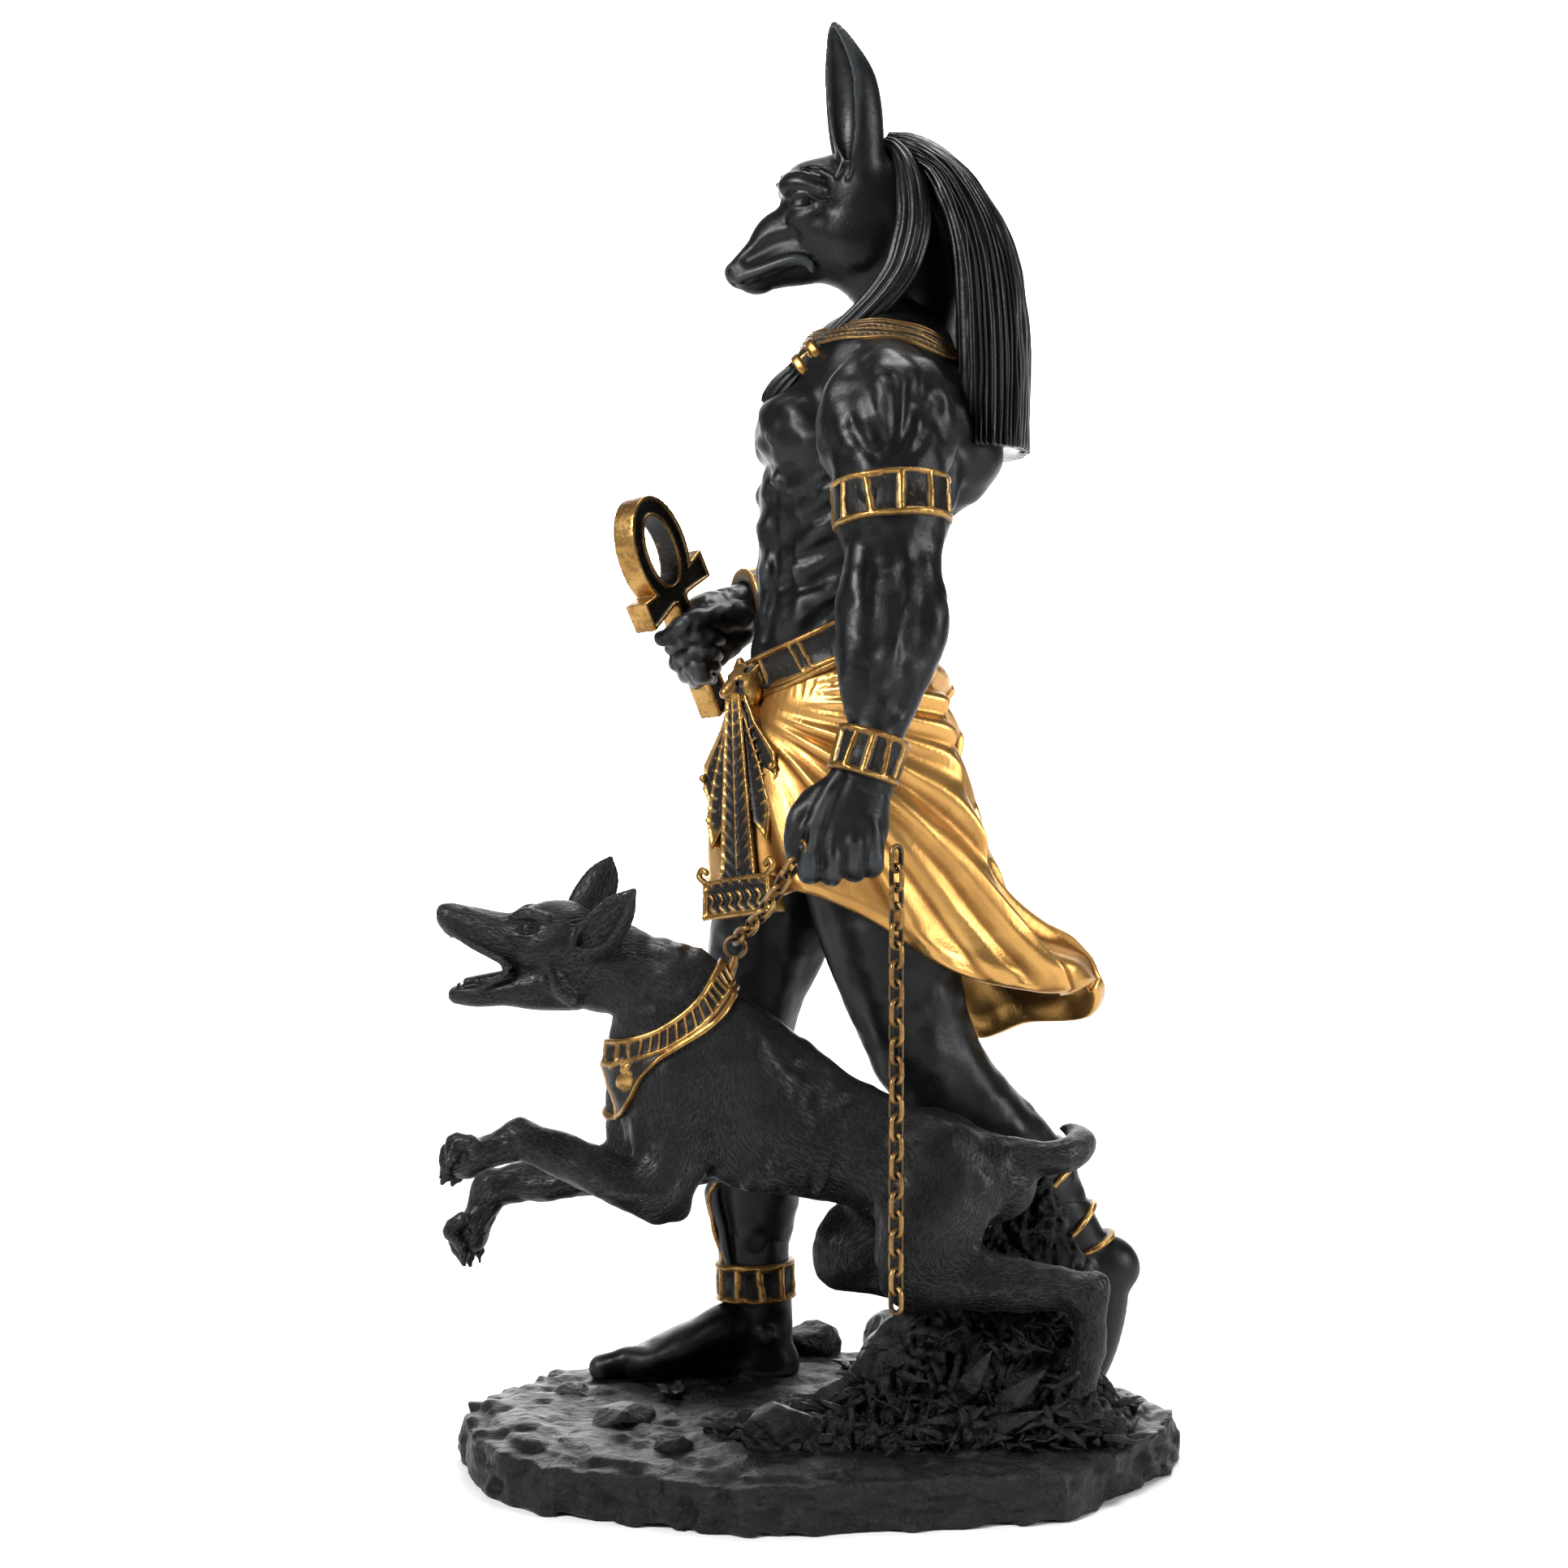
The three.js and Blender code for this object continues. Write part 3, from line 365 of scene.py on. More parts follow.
@lru_cache(maxsize=None)
def god_torso():
    """The bare trunk, from under the belt to the root of the neck."""
    clay = Clay((-20, -16, 160), (44, 48, 246), 0.6)
    trunk = [
        (3.3, GOD_Y, 160, 17.4, 18.4), (3.3, GOD_Y, 168, 17.4, 18.2), (3.4, GOD_Y, 177, 16.4, 17.2),
        (3.5, GOD_Y, 182, 16, 17), (3.8, GOD_Y, 186, 16, 17.4), (4.2, GOD_Y, 190.5, 16.4, 18.4),
        (5, GOD_Y, 195, 17.4, 20), (6.6, GOD_Y, 199.5, 18.8, 21.8), (10, GOD_Y, 206, 21, 24.6),
        (12.6, GOD_Y, 213, 21.6, 26), (13.6, GOD_Y, 221, 19.6, 25.4), (16, GOD_Y, 229, 14, 18),
        (17.4, GOD_Y, 236, 9.8, 10.4), (17, GOD_Y, 246, 9, 9),
    ]
    clay.add(limb(trunk), 1)
    for side in (-1, 1):
        clay.lumps(
            (chest(15.2, side * 10.2, 214), (10.4, 12, 9.4), 2.6, (0, 0, CHEST_TURN + side * 12)),
            (chest(12.6, side * 15, 210.8), (9.6, 9.4, 7), 2.4, (0, 0, CHEST_TURN + side * 26)),
            (chest(-13.5, side * 11, 211), (12.4, 11.6, 14), 4),
            (chest(-4, side * 20.5, 204), (12, 5, 15), 3, (side * -10, 0, 0)),
            (chest(-1, side * 11, 228), (11, 10, 6), 4),
        )
        clay.add(limb(placed(chest, (-3.6, side * 5.6, 172, 4.4), (-3.4, side * 5.8, 184, 5),
                             (-8, side * 6.4, 198, 6.6))), 3)
        # Ribs under the chest, then the interlocking fingers of the flank
        clay.add(ball(chest(18.4, side * 11.4, 203), (4.6, 4.6, 2.4), (side * 16, 0, side * 24)), 1.6)
        for i in range(5):
            low = 207 - 5.6 * i
            ribs = placed(chest, (4.4 - 0.4 * i, side * (21.6 - 1.2 * i), low + 4, 1.8, 1.8),
                          (10 - 0.3 * i, side * (20 - 1.4 * i), low, 3, 2.4),
                          (16.4 - 0.3 * i, side * (15.6 - 1.1 * i), low - 3.4, 2, 1.6))
            clay.add(limb(ribs), 2)
        clay.lumps(
            (chest(13.6, side * 11.6, 174.4), (8.4, 6, 8.6), 2.4, (0, -14, side * 30)),
            (chest(7, side * 15.2, 172), (9, 4.4, 6.4), 2.4),
        )
        for height, ahead, wide, tall in ((201.4, 20.6, 5, 4), (193.4, 21, 5, 4.4), (184.8, 21, 4.9, 4.5),
                                          (173, 20.8, 5, 8.6)):
            clay.add(ball(chest(ahead, side * 4.6, height), (4.2, wide, tall)), 1.9)
        edge = placed(chest, (22, side * 10.4, 203, 0.8), (22, side * 10.2, 194, 1), (22, side * 9.8, 182, 1),
                      (22, side * 8, 170, 0.8))
        clay.score(edge, (1, side * 0.5, 0), 0.8, 1.8)
        side_way = (0.3, side, 0)
        flank = lambda points, *r: [(x, GOD_Y - side * 24, z, width) for (x, z), width in zip(points, r)]
        for points, rise in (([(7, 207.6), (1, 204.4), (-6.6, 201.8)], 1), ([(8, 202), (0, 198), (-7.6, 195)], 1.1),
                             ([(7.6, 195.6), (0, 191.6), (-7.6, 188.8)], 1),
                             ([(6, 189), (-1, 185.2), (-7.4, 182.8)], 0.9),
                             ([(5.4, 181.6), (-1, 177.6), (-6.4, 174)], 0.8)):
            clay.ridge(flank(points, 2.2, 3.2, 1.8), side_way, 0.9 * rise, 2.8)
            clay.score(flank([(x - 0.6, z - 3.2) for x, z in points], 0.6, 1, 0.5), side_way, 0.6, 2)
        clay.score(flank([(-9.4, 203), (-10, 194), (-9.6, 182), (-8.6, 170)], 0.6, 1.1, 1.1, 0.6), side_way, 0.5, 3)
        clay.score(flank([(5, 179), (-2, 173), (-8, 165)], 0.8, 1.2, 0.8), side_way, 0.7, 2.6)
        for z in (197.8, 189.4, 181):
            clay.score(flank([(-16, z + 0.6), (-12.6, z), (-10, z + 1)], 0.8, 0.8, 0.4), side_way, 0.5, 2.4)
        nipple = (*chest(22, side * 16.4, 211.4), 1)
        clay.add(ball(clay.laid([nipple], (1, side * 0.6, 0), 0.5)[0][:3], (1.3, 1.6, 1.5)), 0.8)
        clay.add(ball(clay.laid([nipple], (1, side * 0.6, 0), 0)[0][:3], (0.7, 0.7, 0.7)), 0.3)
    clay.cut(limb(placed(chest, (27, 0, 223, 1.2), (26.2, 0, 214, 1.5), (23.6, 0, 206, 1.2))), 2.4)
    clay.cut(limb(placed(chest, (26.4, 0, 205, 0.7), (26, 0, 190, 0.8), (26, 0, 178, 0.7), (26, 0, 168, 0.4))), 1.6)
    clay.cut(ball(chest(26.2, 0, 178.6), (1.6, 1, 1.3)), 0.8)
    clay.cut(limb(placed(chest, (-26.6, 0, 222, 1), (-22.4, 0, 209, 2), (-13.4, 0, 196, 2), (-9.6, 0, 180, 1.6))),
             3)
    clay.roughen(6, 0.42, 61, (1, 1, 0.7))
    clay.roughen(2.6, 0.16, 60)
    return clay


def god_head():
    """The head of a jackal, with a closed mouth and upright ears."""
    clay = Clay((-21, 2, 238), (29, 30, 300.4), 0.34)
    clay.lumps(
        ((9.4, GOD_Y, 262), (13, 10.4, 12.6), 1),
        ((0.6, GOD_Y, 264.4), (8.6, 8.4, 7.4), 3, (0, 24, 0)),
        ((6.4, GOD_Y, 254.4), (11, 9.2, 8), 3),
    )
    muzzle = [(1, GOD_Y, 256.2, 10, 7.2), (-6.2, GOD_Y, 253.2, 8.2, 5.6), (-10.4, GOD_Y, 250.6, 6.2, 4.7),
              (-14.4, GOD_Y, 248.7, 4.3, 3.9), (-16.9, GOD_Y, 248, 2.7, 3)]
    clay.add(limb(muzzle, 1.2), 2.4)
    clay.lumps(
        ((-8.8, GOD_Y, 256.6), (4, 2.6, 3.4), 2.4, (0, -40, 0)),
        ((-17.6, GOD_Y, 248.7), (1.8, 2.3, 1.5), 0.8),
        ((-16.2, GOD_Y, 246.4), (1.9, 2.7, 1.2), 0.8, (0, -20, 0)),
        ((-12.8, GOD_Y, 245.3), (3, 2.7, 1.7), 1),
    )
    neck = [(10, GOD_Y, 254, 10, 8), (16.4, GOD_Y, 244, 8.4, 8.4), (17.4, GOD_Y, 236, 9.4, 9)]
    clay.add(limb(neck), 3)
    clay.add(limb([(14, GOD_Y, 264, 9, 9.4), (18, GOD_Y, 256, 9, 9), (20, GOD_Y, 244, 7.4, 9)]), 3)
    for x, z, r in ((-7.4, 268, 0.5), (-8.4, 266.4, 0.5)):
        clay.add(limb([(x + 1.6, GOD_Y - 4, z, 0.3), (x, GOD_Y, z + 0.4, r), (x + 1.6, GOD_Y + 4, z, 0.3)], 1), 1)
    for side in (-1, 1):
        face = lambda x, off, z: (x, GOD_Y + side * off, z)
        clay.add(ball(face(-4, 4, 266), (4.2, 3.9, 2.9), (0, 0, side * -18)), 1.4)
        for fold in ([(-6, 5.4, 267.6), (-3, 7.6, 267.8), (1, 9, 266.4)],
                     [(-3.4, 6.4, 269.6), (0, 8, 269.6), (4, 9.2, 267.6)]):
            clay.add(limb([(*face(*p), r) for p, r in zip(fold, (0.2, 0.45, 0.2))], 1), 1.2)
        clay.add(limb(placed(face, (-6.4, 4.4, 265.4, 1.2), (-3.6, 7.2, 265.8, 1.5), (0.6, 9, 264.2, 1)), 1), 1.4)
        clay.cut(ball(face(-4.8, 8.2, 262.1), (3.8, 2.2, 2), (0, 6, side * 18)), 1)
        clay.add(ball(face(-3, 6.1, 262.2), (2.5, 2.1, 1.9)), 0.3)
        clay.cut(ball(face(-4.3, 8.2, 262.2), (0.7, 0.5, 0.7)), 0.3)
        upper = placed(face, (-6, 5.6, 261.9, 0.5), (-4.6, 7.4, 263.5, 0.62), (-2, 8.4, 263.4, 0.62),
                       (0.6, 9, 261.9, 0.45), (2.6, 9.5, 262.1, 0.25))
        lower = placed(face, (-6, 5.8, 261.6, 0.4), (-4, 7.6, 260.5, 0.55), (-1.4, 8.4, 260.8, 0.5),
                       (0.4, 8.9, 261.7, 0.3))
        bag = placed(face, (-5.4, 5.9, 258.4, 0.5), (-3.2, 7.4, 258.8, 0.7), (-0.8, 8.6, 260, 0.6),
                     (1.2, 9.2, 261, 0.3))
        for ridge, melt in ((upper, 0.4), (lower, 0.4), (bag, 0.9)):
            clay.add(limb(ridge, 0.8), melt)
        clay.cut(limb(placed(face, (-5.4, 7.6, 259.8, 0.3), (-3, 8.4, 259.8, 0.35), (-0.4, 9.2, 260.6, 0.2)), 0.8),
                 0.5)
        clay.cut(limb(placed(face, (-6.4, 5.8, 262, 0.3), (-7.2, 5, 260.4, 0.35), (-7, 5.2, 258, 0.2)), 0.8), 0.7)
        clay.lumps(
            (face(0.6, 7.4, 256.4), (6, 1.8, 2.6), 2.6, (0, 24, side * 10)),
            (face(8.4, 8, 254.6), (4.6, 1.8, 6), 2.4),
        )
        # The lip folds back to the corner of the mouth, above a hollow along the lower jaw
        clay.cut(limb(placed(face, (-12.6, 4.6, 246.9, 0.5), (-9, 6, 247.2, 1.1), (-5.4, 7.2, 247.6, 1.2)), 1), 1.4)
        lip = placed(face, (-16.6, 2.8, 246.4, 0.6), (-13.2, 4.1, 247.5, 0.9), (-9.4, 5.2, 248.8, 1.1),
                     (-5.8, 6.3, 249.9, 1.1), (-3.4, 6.7, 250, 1), (-1.8, 6.8, 249.2, 0.9), (-1.2, 6.6, 248, 0.7))
        clay.add(limb(lip, 1), 2)
        clay.cut(ball(face(-3.2, 8, 247.6), (1.5, 1, 1)), 1.6)
        clay.cut(limb(placed(face, (-17.9, 1.6, 245.7, 0.25), (-13.2, 4.6, 246.4, 0.36), (-9.4, 6, 247.7, 0.4),
                             (-5.8, 7.2, 248.6, 0.45), (-3.8, 7.5, 248.2, 0.4)), 0.8), 0.5)
        clay.cut(limb(placed(face, (-15, 3.6, 250.6, 0.6), (-10, 5.2, 253.4, 1.3), (-5.4, 6.9, 254.6, 1)), 1), 2)
        clay.cut(ball(face(-18.6, 1.8, 248.3), (0.8, 0.6, 0.5)), 0.4)
        ear_on(clay, side)
    return clay


def ear_on(clay, side):
    """A tall upright ear, cupped towards the front and the outside, with two small folds at its root."""
    off = lambda z, out=0.0: GOD_Y + side * (7 + 0.02 * (z - 268) + out)
    outer = [(9.6, off(266), 266, 4, 3.4), (9, off(272), 272, 5, 4), (8.1, off(279.6), 279.6, 5.7, 4.5),
             (7.1, off(286.6), 286.6, 5.4, 4.2), (5.5, off(292), 292, 4, 3.1), (4.1, off(296.6), 296.6, 2.2, 1.7),
             (3.6, off(298.6), EAR_TIP - 0.9, 0.9, 0.8)]
    clay.add(limb(outer, 1.2), 1.6)
    cup = [(6.2, off(272, 3), 271, 0.7, 1), (5, off(276, 2.6), 276, 3.2, 2.6), (4.2, off(281, 2.3), 281, 4.4, 3.2),
           (3.6, off(287, 2.1), 287, 4.5, 3), (3, off(292, 1.7), 292, 3.3, 2.3),
           (2.9, off(296, 1.1), 295.6, 1.8, 1.4), (3.2, off(298, 0.8), 297.6, 0.4, 0.4)]
    clay.cut(limb(cup, 1.2), 0.35)
    for x, out, z, r in ((5.2, 1.4, 269.4, 0.7), (7.2, 2.2, 269, 0.6)):
        clay.add(limb([(x, off(z, out), z + 2.6, 0.5 * r), (x, off(z, out + 0.6), z, r),
                       (x - 1.2, off(z, out + 1), z - 2.6, 0.8 * r)], 0.8), 0.5)
    clay.cut(limb([(6.4, off(270, 3.4), 271.4, 0.3), (6.3, off(268, 3.4), 268, 0.6),
                   (5.6, off(266, 3.4), 265.8, 0.3)], 0.8), 0.4)


@lru_cache(maxsize=None)
def near_arm():
    """The left arm, which hangs; its fist holds the chain."""
    clay = Clay((-10, -43, 119), (32, 8, 238), 0.56)
    arm = [
        (14.6, -4, 221.8, 10.2), (13.6, -13, 218.6, 11.4, 9.8), (13.2, -18, 212, 11.6, 9),
        (13.8, -20.6, 203, 11.4, 8.8), (14.6, -22.8, 193, 11, 8.8), (15.4, -25.4, 183, 7.6, 6.8),
        (14.8, -27.4, 173, 7.8, 7), (12.8, -30.2, 159, 6.8, 5.8), (10.4, -32.6, 149, 5.5, 5),
        (8.4, -33.4, 141, 5.8, 4.6),
    ]
    clay.add(limb(arm), 1)
    # Shoulder cap in three heads, then the muscles above and below the armband
    clay.lumps(
        ((13.8, -18.6, 214.6), (7.4, 9.8, 13), 2.4, (4, 0, 0)),
        ((5.8, -15.4, 213.4), (5.8, 8.4, 12.4), 2.4, (4, 10, -30)),
        ((21.4, -15.4, 213.6), (5.8, 8.4, 12.4), 2.4, (4, -10, 30)),
    )
    for x0, z0, x1, z1, x2, z2 in ((4.6, 215, 7, 209, 10.8, 202.6), (8, 220, 10, 212, 12.8, 203),
                                   (12.6, 222.6, 13.4, 213, 14, 203.6), (17, 222, 16.8, 213, 15.2, 204),
                                   (21.6, 218, 20, 210, 17, 203)):
        clay.ridge([(x0, -30, z0, 1.8), (x1, -30, z1, 2.7), (x2, -30, z2, 1.4)], (0, 1, 0), 0.6, 2.4)
        clay.score([(x0 + 2, -30, z0 - 1.6, 0.8), (x1 + 1.6, -30, z1, 0.9), (x2 + 0.8, -30, z2 + 1.6, 0.5)],
                   (0, 1, 0), 0.3, 2)
    clay.lumps(
        ((8.4, -21, 199), (5, 7.2, 13), 2.4, (-8, 4, 0)),
        ((20.2, -21.4, 198), (5.2, 7, 14), 2.4, (-10, -3, 0)),
    )
    for muscle in (
        [(10.6, -25, 191, 3), (8.6, -27.6, 181, 4.8), (7.6, -30.8, 169, 4.8), (6.8, -33.4, 156, 2.4)],
        [(15, -27, 188, 2.2), (15.8, -30.2, 178, 3.4), (14.2, -33, 168, 3.2), (11.4, -34.8, 155, 1.8)],
        [(21.4, -26, 187, 2.6), (21.8, -28.2, 174, 4), (18.8, -31, 162, 3.2), (15.6, -32.8, 154, 1.8)],
    ):
        clay.add(limb(muscle), 2.4)
    clay.add(ball((20.4, -29, 183), (2.2, 2.4, 3.2), (0, 12, 0)), 2)
    for vein in ([(9, -36, 186), (11.6, -36, 177), (10.2, -38, 168), (8.4, -38, 158)],
                 [(17.4, -36, 180), (15.2, -37, 170), (13, -38, 160)]):
        clay.ridge([(*p, 0.5) for p in vein], (0, 1, 0), 0.28, 0.8)
    for line, rise in (([(8.2, 187), (8.6, 177), (9.4, 166)], 0.5), ([(12.4, 186), (13, 174), (12, 160)], 0.45),
                       ([(16.6, 187), (18.4, 175), (16.8, 162)], 0.55),
                       ([(20.6, 181), (21.4, 172), (18.6, 160)], 0.5), ([(9.6, 204), (10.6, 196), (10, 188)], 0.5),
                       ([(18.6, 204), (19, 197), (17.6, 190)], 0.5)):
        clay.ridge([(x, -36, z, r) for (x, z), r in zip(line, (1.4, 2.4, 1.1))], (0, 1, 0), rise, 2.2)
    clay.roughen(6.4, 0.36, 62, (1, 1, 1.6))
    clay.roughen(2.6, 0.14, 59)
    return clay


def near_hand():
    """The left hand, a fist with its thumb along the front."""
    clay = Clay((-10, -43, 119), (17, -25, 150), 0.36)
    clay.add(limb([(10, -32.8, 150, 5.4, 4.9), (8.4, -33.4, 143, 5.9, 4.4), (6.6, -34, 136.4, 7.2, 4.5),
                   (5.4, -34.4, 130, 7.6, 4.3)]), 1)
    knuckles = ((-1.9, 124.7, 2.45), (2.3, 124.3, 2.4), (6.5, 124.7, 2.3), (10.5, 125.5, 2.1))
    for x, z, r in knuckles:
        finger = [(0.85 * x + 1, -36.4, z + 8, 0.9 * r), (x, -36.8, z + 3.6, r), (x, -36.6, z - 0.1, r),
                  (x, -33, z - 0.6, 0.94 * r), (x, -30.6, z + 2.2, 0.85 * r)]
        clay.add(limb(finger, 1), 0.5)
    for (x, z, _), (x2, _, _) in zip(knuckles, knuckles[1:]):
        mid = (x + x2) / 2
        clay.cut(limb([(0.85 * mid + 1.4, -39.6, z + 10, 0.25), (mid + 0.2, -39.8, z + 5.4, 0.5),
                       (mid, -39.6, z + 1, 0.7)]), 1.2)
    clay.add(limb([(3.8, -36.6, 143, 1.2), (-0.6, -37.6, 135, 1.7), (-2, -37.8, 129.4, 2)]), 1.4)
    clay.add(limb([(3.6, -34, 140.6, 3), (-2, -34.8, 136.4, 3.1), (-4.4, -35.4, 131.6, 2.6),
                   (-4.6, -35.6, 127.4, 2)], 1), 0.9)
    clay.cut(ball((-3, -40, 130.6), (0.8, 2.2, 2.4), (0, 14, 0)), 1)
    clay.roughen(3, 0.26, 64)
    return clay


ANKH_CROSSING = np.array([-32.0, 25.0, 181.0])
ANKH_THICK = 5.4
ANKH_DOWN = unit(np.array([0.344, 0.363, -0.865]))
ANKH_ACROSS = np.array([0.43, 0.76, 0.49])
ANKH_ACROSS = unit(ANKH_ACROSS - (ANKH_ACROSS @ ANKH_DOWN) * ANKH_DOWN)
ANKH_OUT = np.cross(ANKH_DOWN, ANKH_ACROSS)
ANKH_AXES = (ANKH_ACROSS, -ANKH_DOWN, ANKH_OUT)


@lru_cache(maxsize=None)
def far_arm():
    """The right arm, which reaches forward to hold the ankh."""
    clay = Clay((-26, 24, 164), (32, 66, 238), 0.6)
    arm = [
        (14, 36, 224, 10.4), (13.4, 45, 221.6, 12, 10.4), (13.6, 50, 213, 12, 10), (14.2, 51, 202, 11, 9.4),
        (14.2, 51, 192, 10, 8.8), (9.4, 49.6, 183.4, 8.8, 8.2), (-2, 44.4, 180, 7.8, 7.2),
        (-13, 38.6, 178.8, 5.5, 5.2), (-20, 35, 177, 5.2, 5),
    ]
    clay.add(limb(arm), 1)
    clay.lumps(
        ((13.6, 51.2, 217.6), (7.4, 9, 12.2), 2.2, (-6, 0, 0)),
        ((5.8, 46.4, 216.4), (6, 8, 12), 2.2, (-6, 12, 24)),
        ((21.4, 47, 216.6), (6.2, 8, 12), 2.2, (-6, -12, -24)),
        ((8.6, 51, 200), (5, 6.6, 11), 2, (0, 4, 0)),
        ((20.2, 51.4, 198), (5.2, 6.4, 14), 2, (0, -3, 0)),
    )
    clay.add(limb([(8, 52, 186, 4), (-1, 48.6, 183.6, 4.4), (-12, 42, 181, 2.6)]), 2)
    clay.add(limb([(10, 46.6, 179, 4), (0, 42, 176, 4.2), (-11, 36.6, 175.6, 2.6)]), 2)
    clay.add(ball((17.6, 51, 181.4), (3, 3, 3)), 1.6)
    clay.roughen(6.4, 0.3, 63)
    return clay


def far_hand():
    """A fist whose finger ends and thumb show towards his left, closed on the ankh's shaft."""
    clay = Clay((-42, 14, 156), (-12, 46, 190), 0.36)
    clay.add(limb([(-13, 38.4, 178.8, 5, 4.9), (-19, 35, 177, 5.4, 5), (-25, 31.4, 175.2, 5.2, 5.6),
                   (-28.6, 31, 172.6, 4.6, 5)], 1.5), 1)
    clay.add(limb([(-15, 36, 175, 4.6), (-19.6, 31, 172, 4.8), (-22.4, 29.4, 168, 4)], 1.5), 2)
    lefts = ((-31.3, 168.9), (-30.3, 165.6), (-28.5, 163), (-26, 161.6))
    tips = ((-22.8, 171.4), (-23, 168.2), (-23.6, 165.2), (-24, 162.8))
    for (lx, lz), (tx, tz), r in zip(lefts, tips, (2.2, 2.1, 2, 1.8)):
        finger = [(tx - 1, 38, tz - 0.6, r), (lx + 1.6, 34.4, lz + 0.8, r), (lx, 29, lz, 1.02 * r),
                  (0.7 * lx + 0.3 * tx, 23.2, 0.7 * lz + 0.3 * tz + 0.6, 0.92 * r),
                  (0.42 * lx + 0.58 * tx, 21.8, 0.42 * lz + 0.58 * tz + 0.5, 1.04 * r),
                  (tx, 22.8, tz - 0.5, 0.9 * r), (tx + 1.6, 25, tz - 0.8, 0.7 * r)]
        clay.add(limb(finger, 1), 0.3)
    thumb = [(-17, 30, 175.4, 3.6), (-22, 25.4, 175.2, 3.2), (-26.6, 22.4, 173.9, 2.8), (-30, 21.8, 172.4, 2.5),
             (-33, 23, 170.9, 1.9)]
    clay.add(limb(thumb, 1), 0.7)
    clay.add(ball((-31.8, 20.6, 171.6), (1.3, 0.6, 1), (0, 24, 0)), 0.2)
    for x, z in ((-22.6, 177.6), (-27.4, 176.4)):
        clay.add(limb([(x + 4, 31, z + 1.6, 0.9), (x, 28, z, 1.2), (x - 3, 27, z - 1.6, 0.8)], 1), 1.2)
    clay.roughen(3, 0.3, 65)
    clay.roughen(1.5, 0.14, 58)
    return clay


def foot_on(clay, toes):
    """Five toes on a foot: each has its root (x, y), its tip (x, y) and its thickness; each bends at a knuckle."""
    for (x0, y0), (x1, y1), r in toes:
        raised = GROUND + TOE_LIFT * r
        at = lambda t: (x0 + t * (x1 - x0), y0 + t * (y1 - y0))
        clay.add(limb([(*at(-0.3), raised + 1.6, 0.9 * r), (*at(0.2), raised + 1.5, r),
                       (*at(0.56), raised + 0.9, 0.9 * r), (*at(0.95), raised - 0.1, 0.96 * r)], 1), 0.9)
        clay.add(ball((*at(1.05), raised + 0.5 * r), (0.5 * r, 0.6 * r, 0.3 * r), (0, -34, 0)), 0.25)
        clay.cut(limb([(*at(0.5), raised + 1.9 * r, 0.3), (at(0.5)[0], y0 - 0.5 * r, raised + 1.4 * r, 0.3)]), 0.6)


@lru_cache(maxsize=None)
def front_leg():
    """The right leg, straight and leading."""
    clay = Clay((-29, 8, 26), (14, 42, 136), 0.62)
    y = GOD_Y + 9
    leg = [
        (-3, y, 132, 15, 12), (-9.2, y, 112, 13.8, 12.4), (-13.6, y, 94, 10.8, 10.4), (-14.4, y, 80, 9, 9),
        (-12.6, y, 66, 9.2, 9), (-12.6, y, 50, 8.4, 7.8), (-12.8, y, 36, 6.8, 6.4), (-11.8, y, 22, 6.8, 6),
    ]
    clay.add(limb(leg), 1)
    clay.lumps(
        ((-15.4, y - 6, 92), (7, 4.6, 10), 2.6, (-4, 10, 0)),
        ((-14.2, y + 6.4, 96), (7.6, 4.6, 12), 2.6, (4, 10, 0)),
        ((-16.6, y, 104), (5.4, 6.4, 15), 3, (0, 10, 0)),
        ((-21, y, 80.6), (3, 4.6, 5), 2),
        ((-19.6, y, 72.4), (2, 2.6, 4), 1.8),
        ((-7.8, y - 4.2, 64), (5.6, 5, 13.6), 3),
        ((-7.6, y + 4.2, 66), (5.6, 4.8, 12.6), 3),
    )
    clay.add(limb([(-19.6, y - 1, 72, 2.4), (-19, y - 1, 54, 2.2), (-17.8, y - 0.6, 38, 1.6)]), 2)
    clay.cut(limb([(-20, y - 5.6, 84, 0.8), (-21.6, y - 4.6, 76, 0.8)]), 1.6)
    clay.add(limb([(-19.4, y, 56, 1.4, 3), (-22, y, 50, 2.2, 5), (-20.4, y, 43, 2, 5.6), (-18.8, y, 35, 1.8, 5.6)]),
             0.7)
    clay.roughen(8, 0.6, 66, (1, 1, 2))
    clay.roughen(3, 0.16, 56)
    return clay


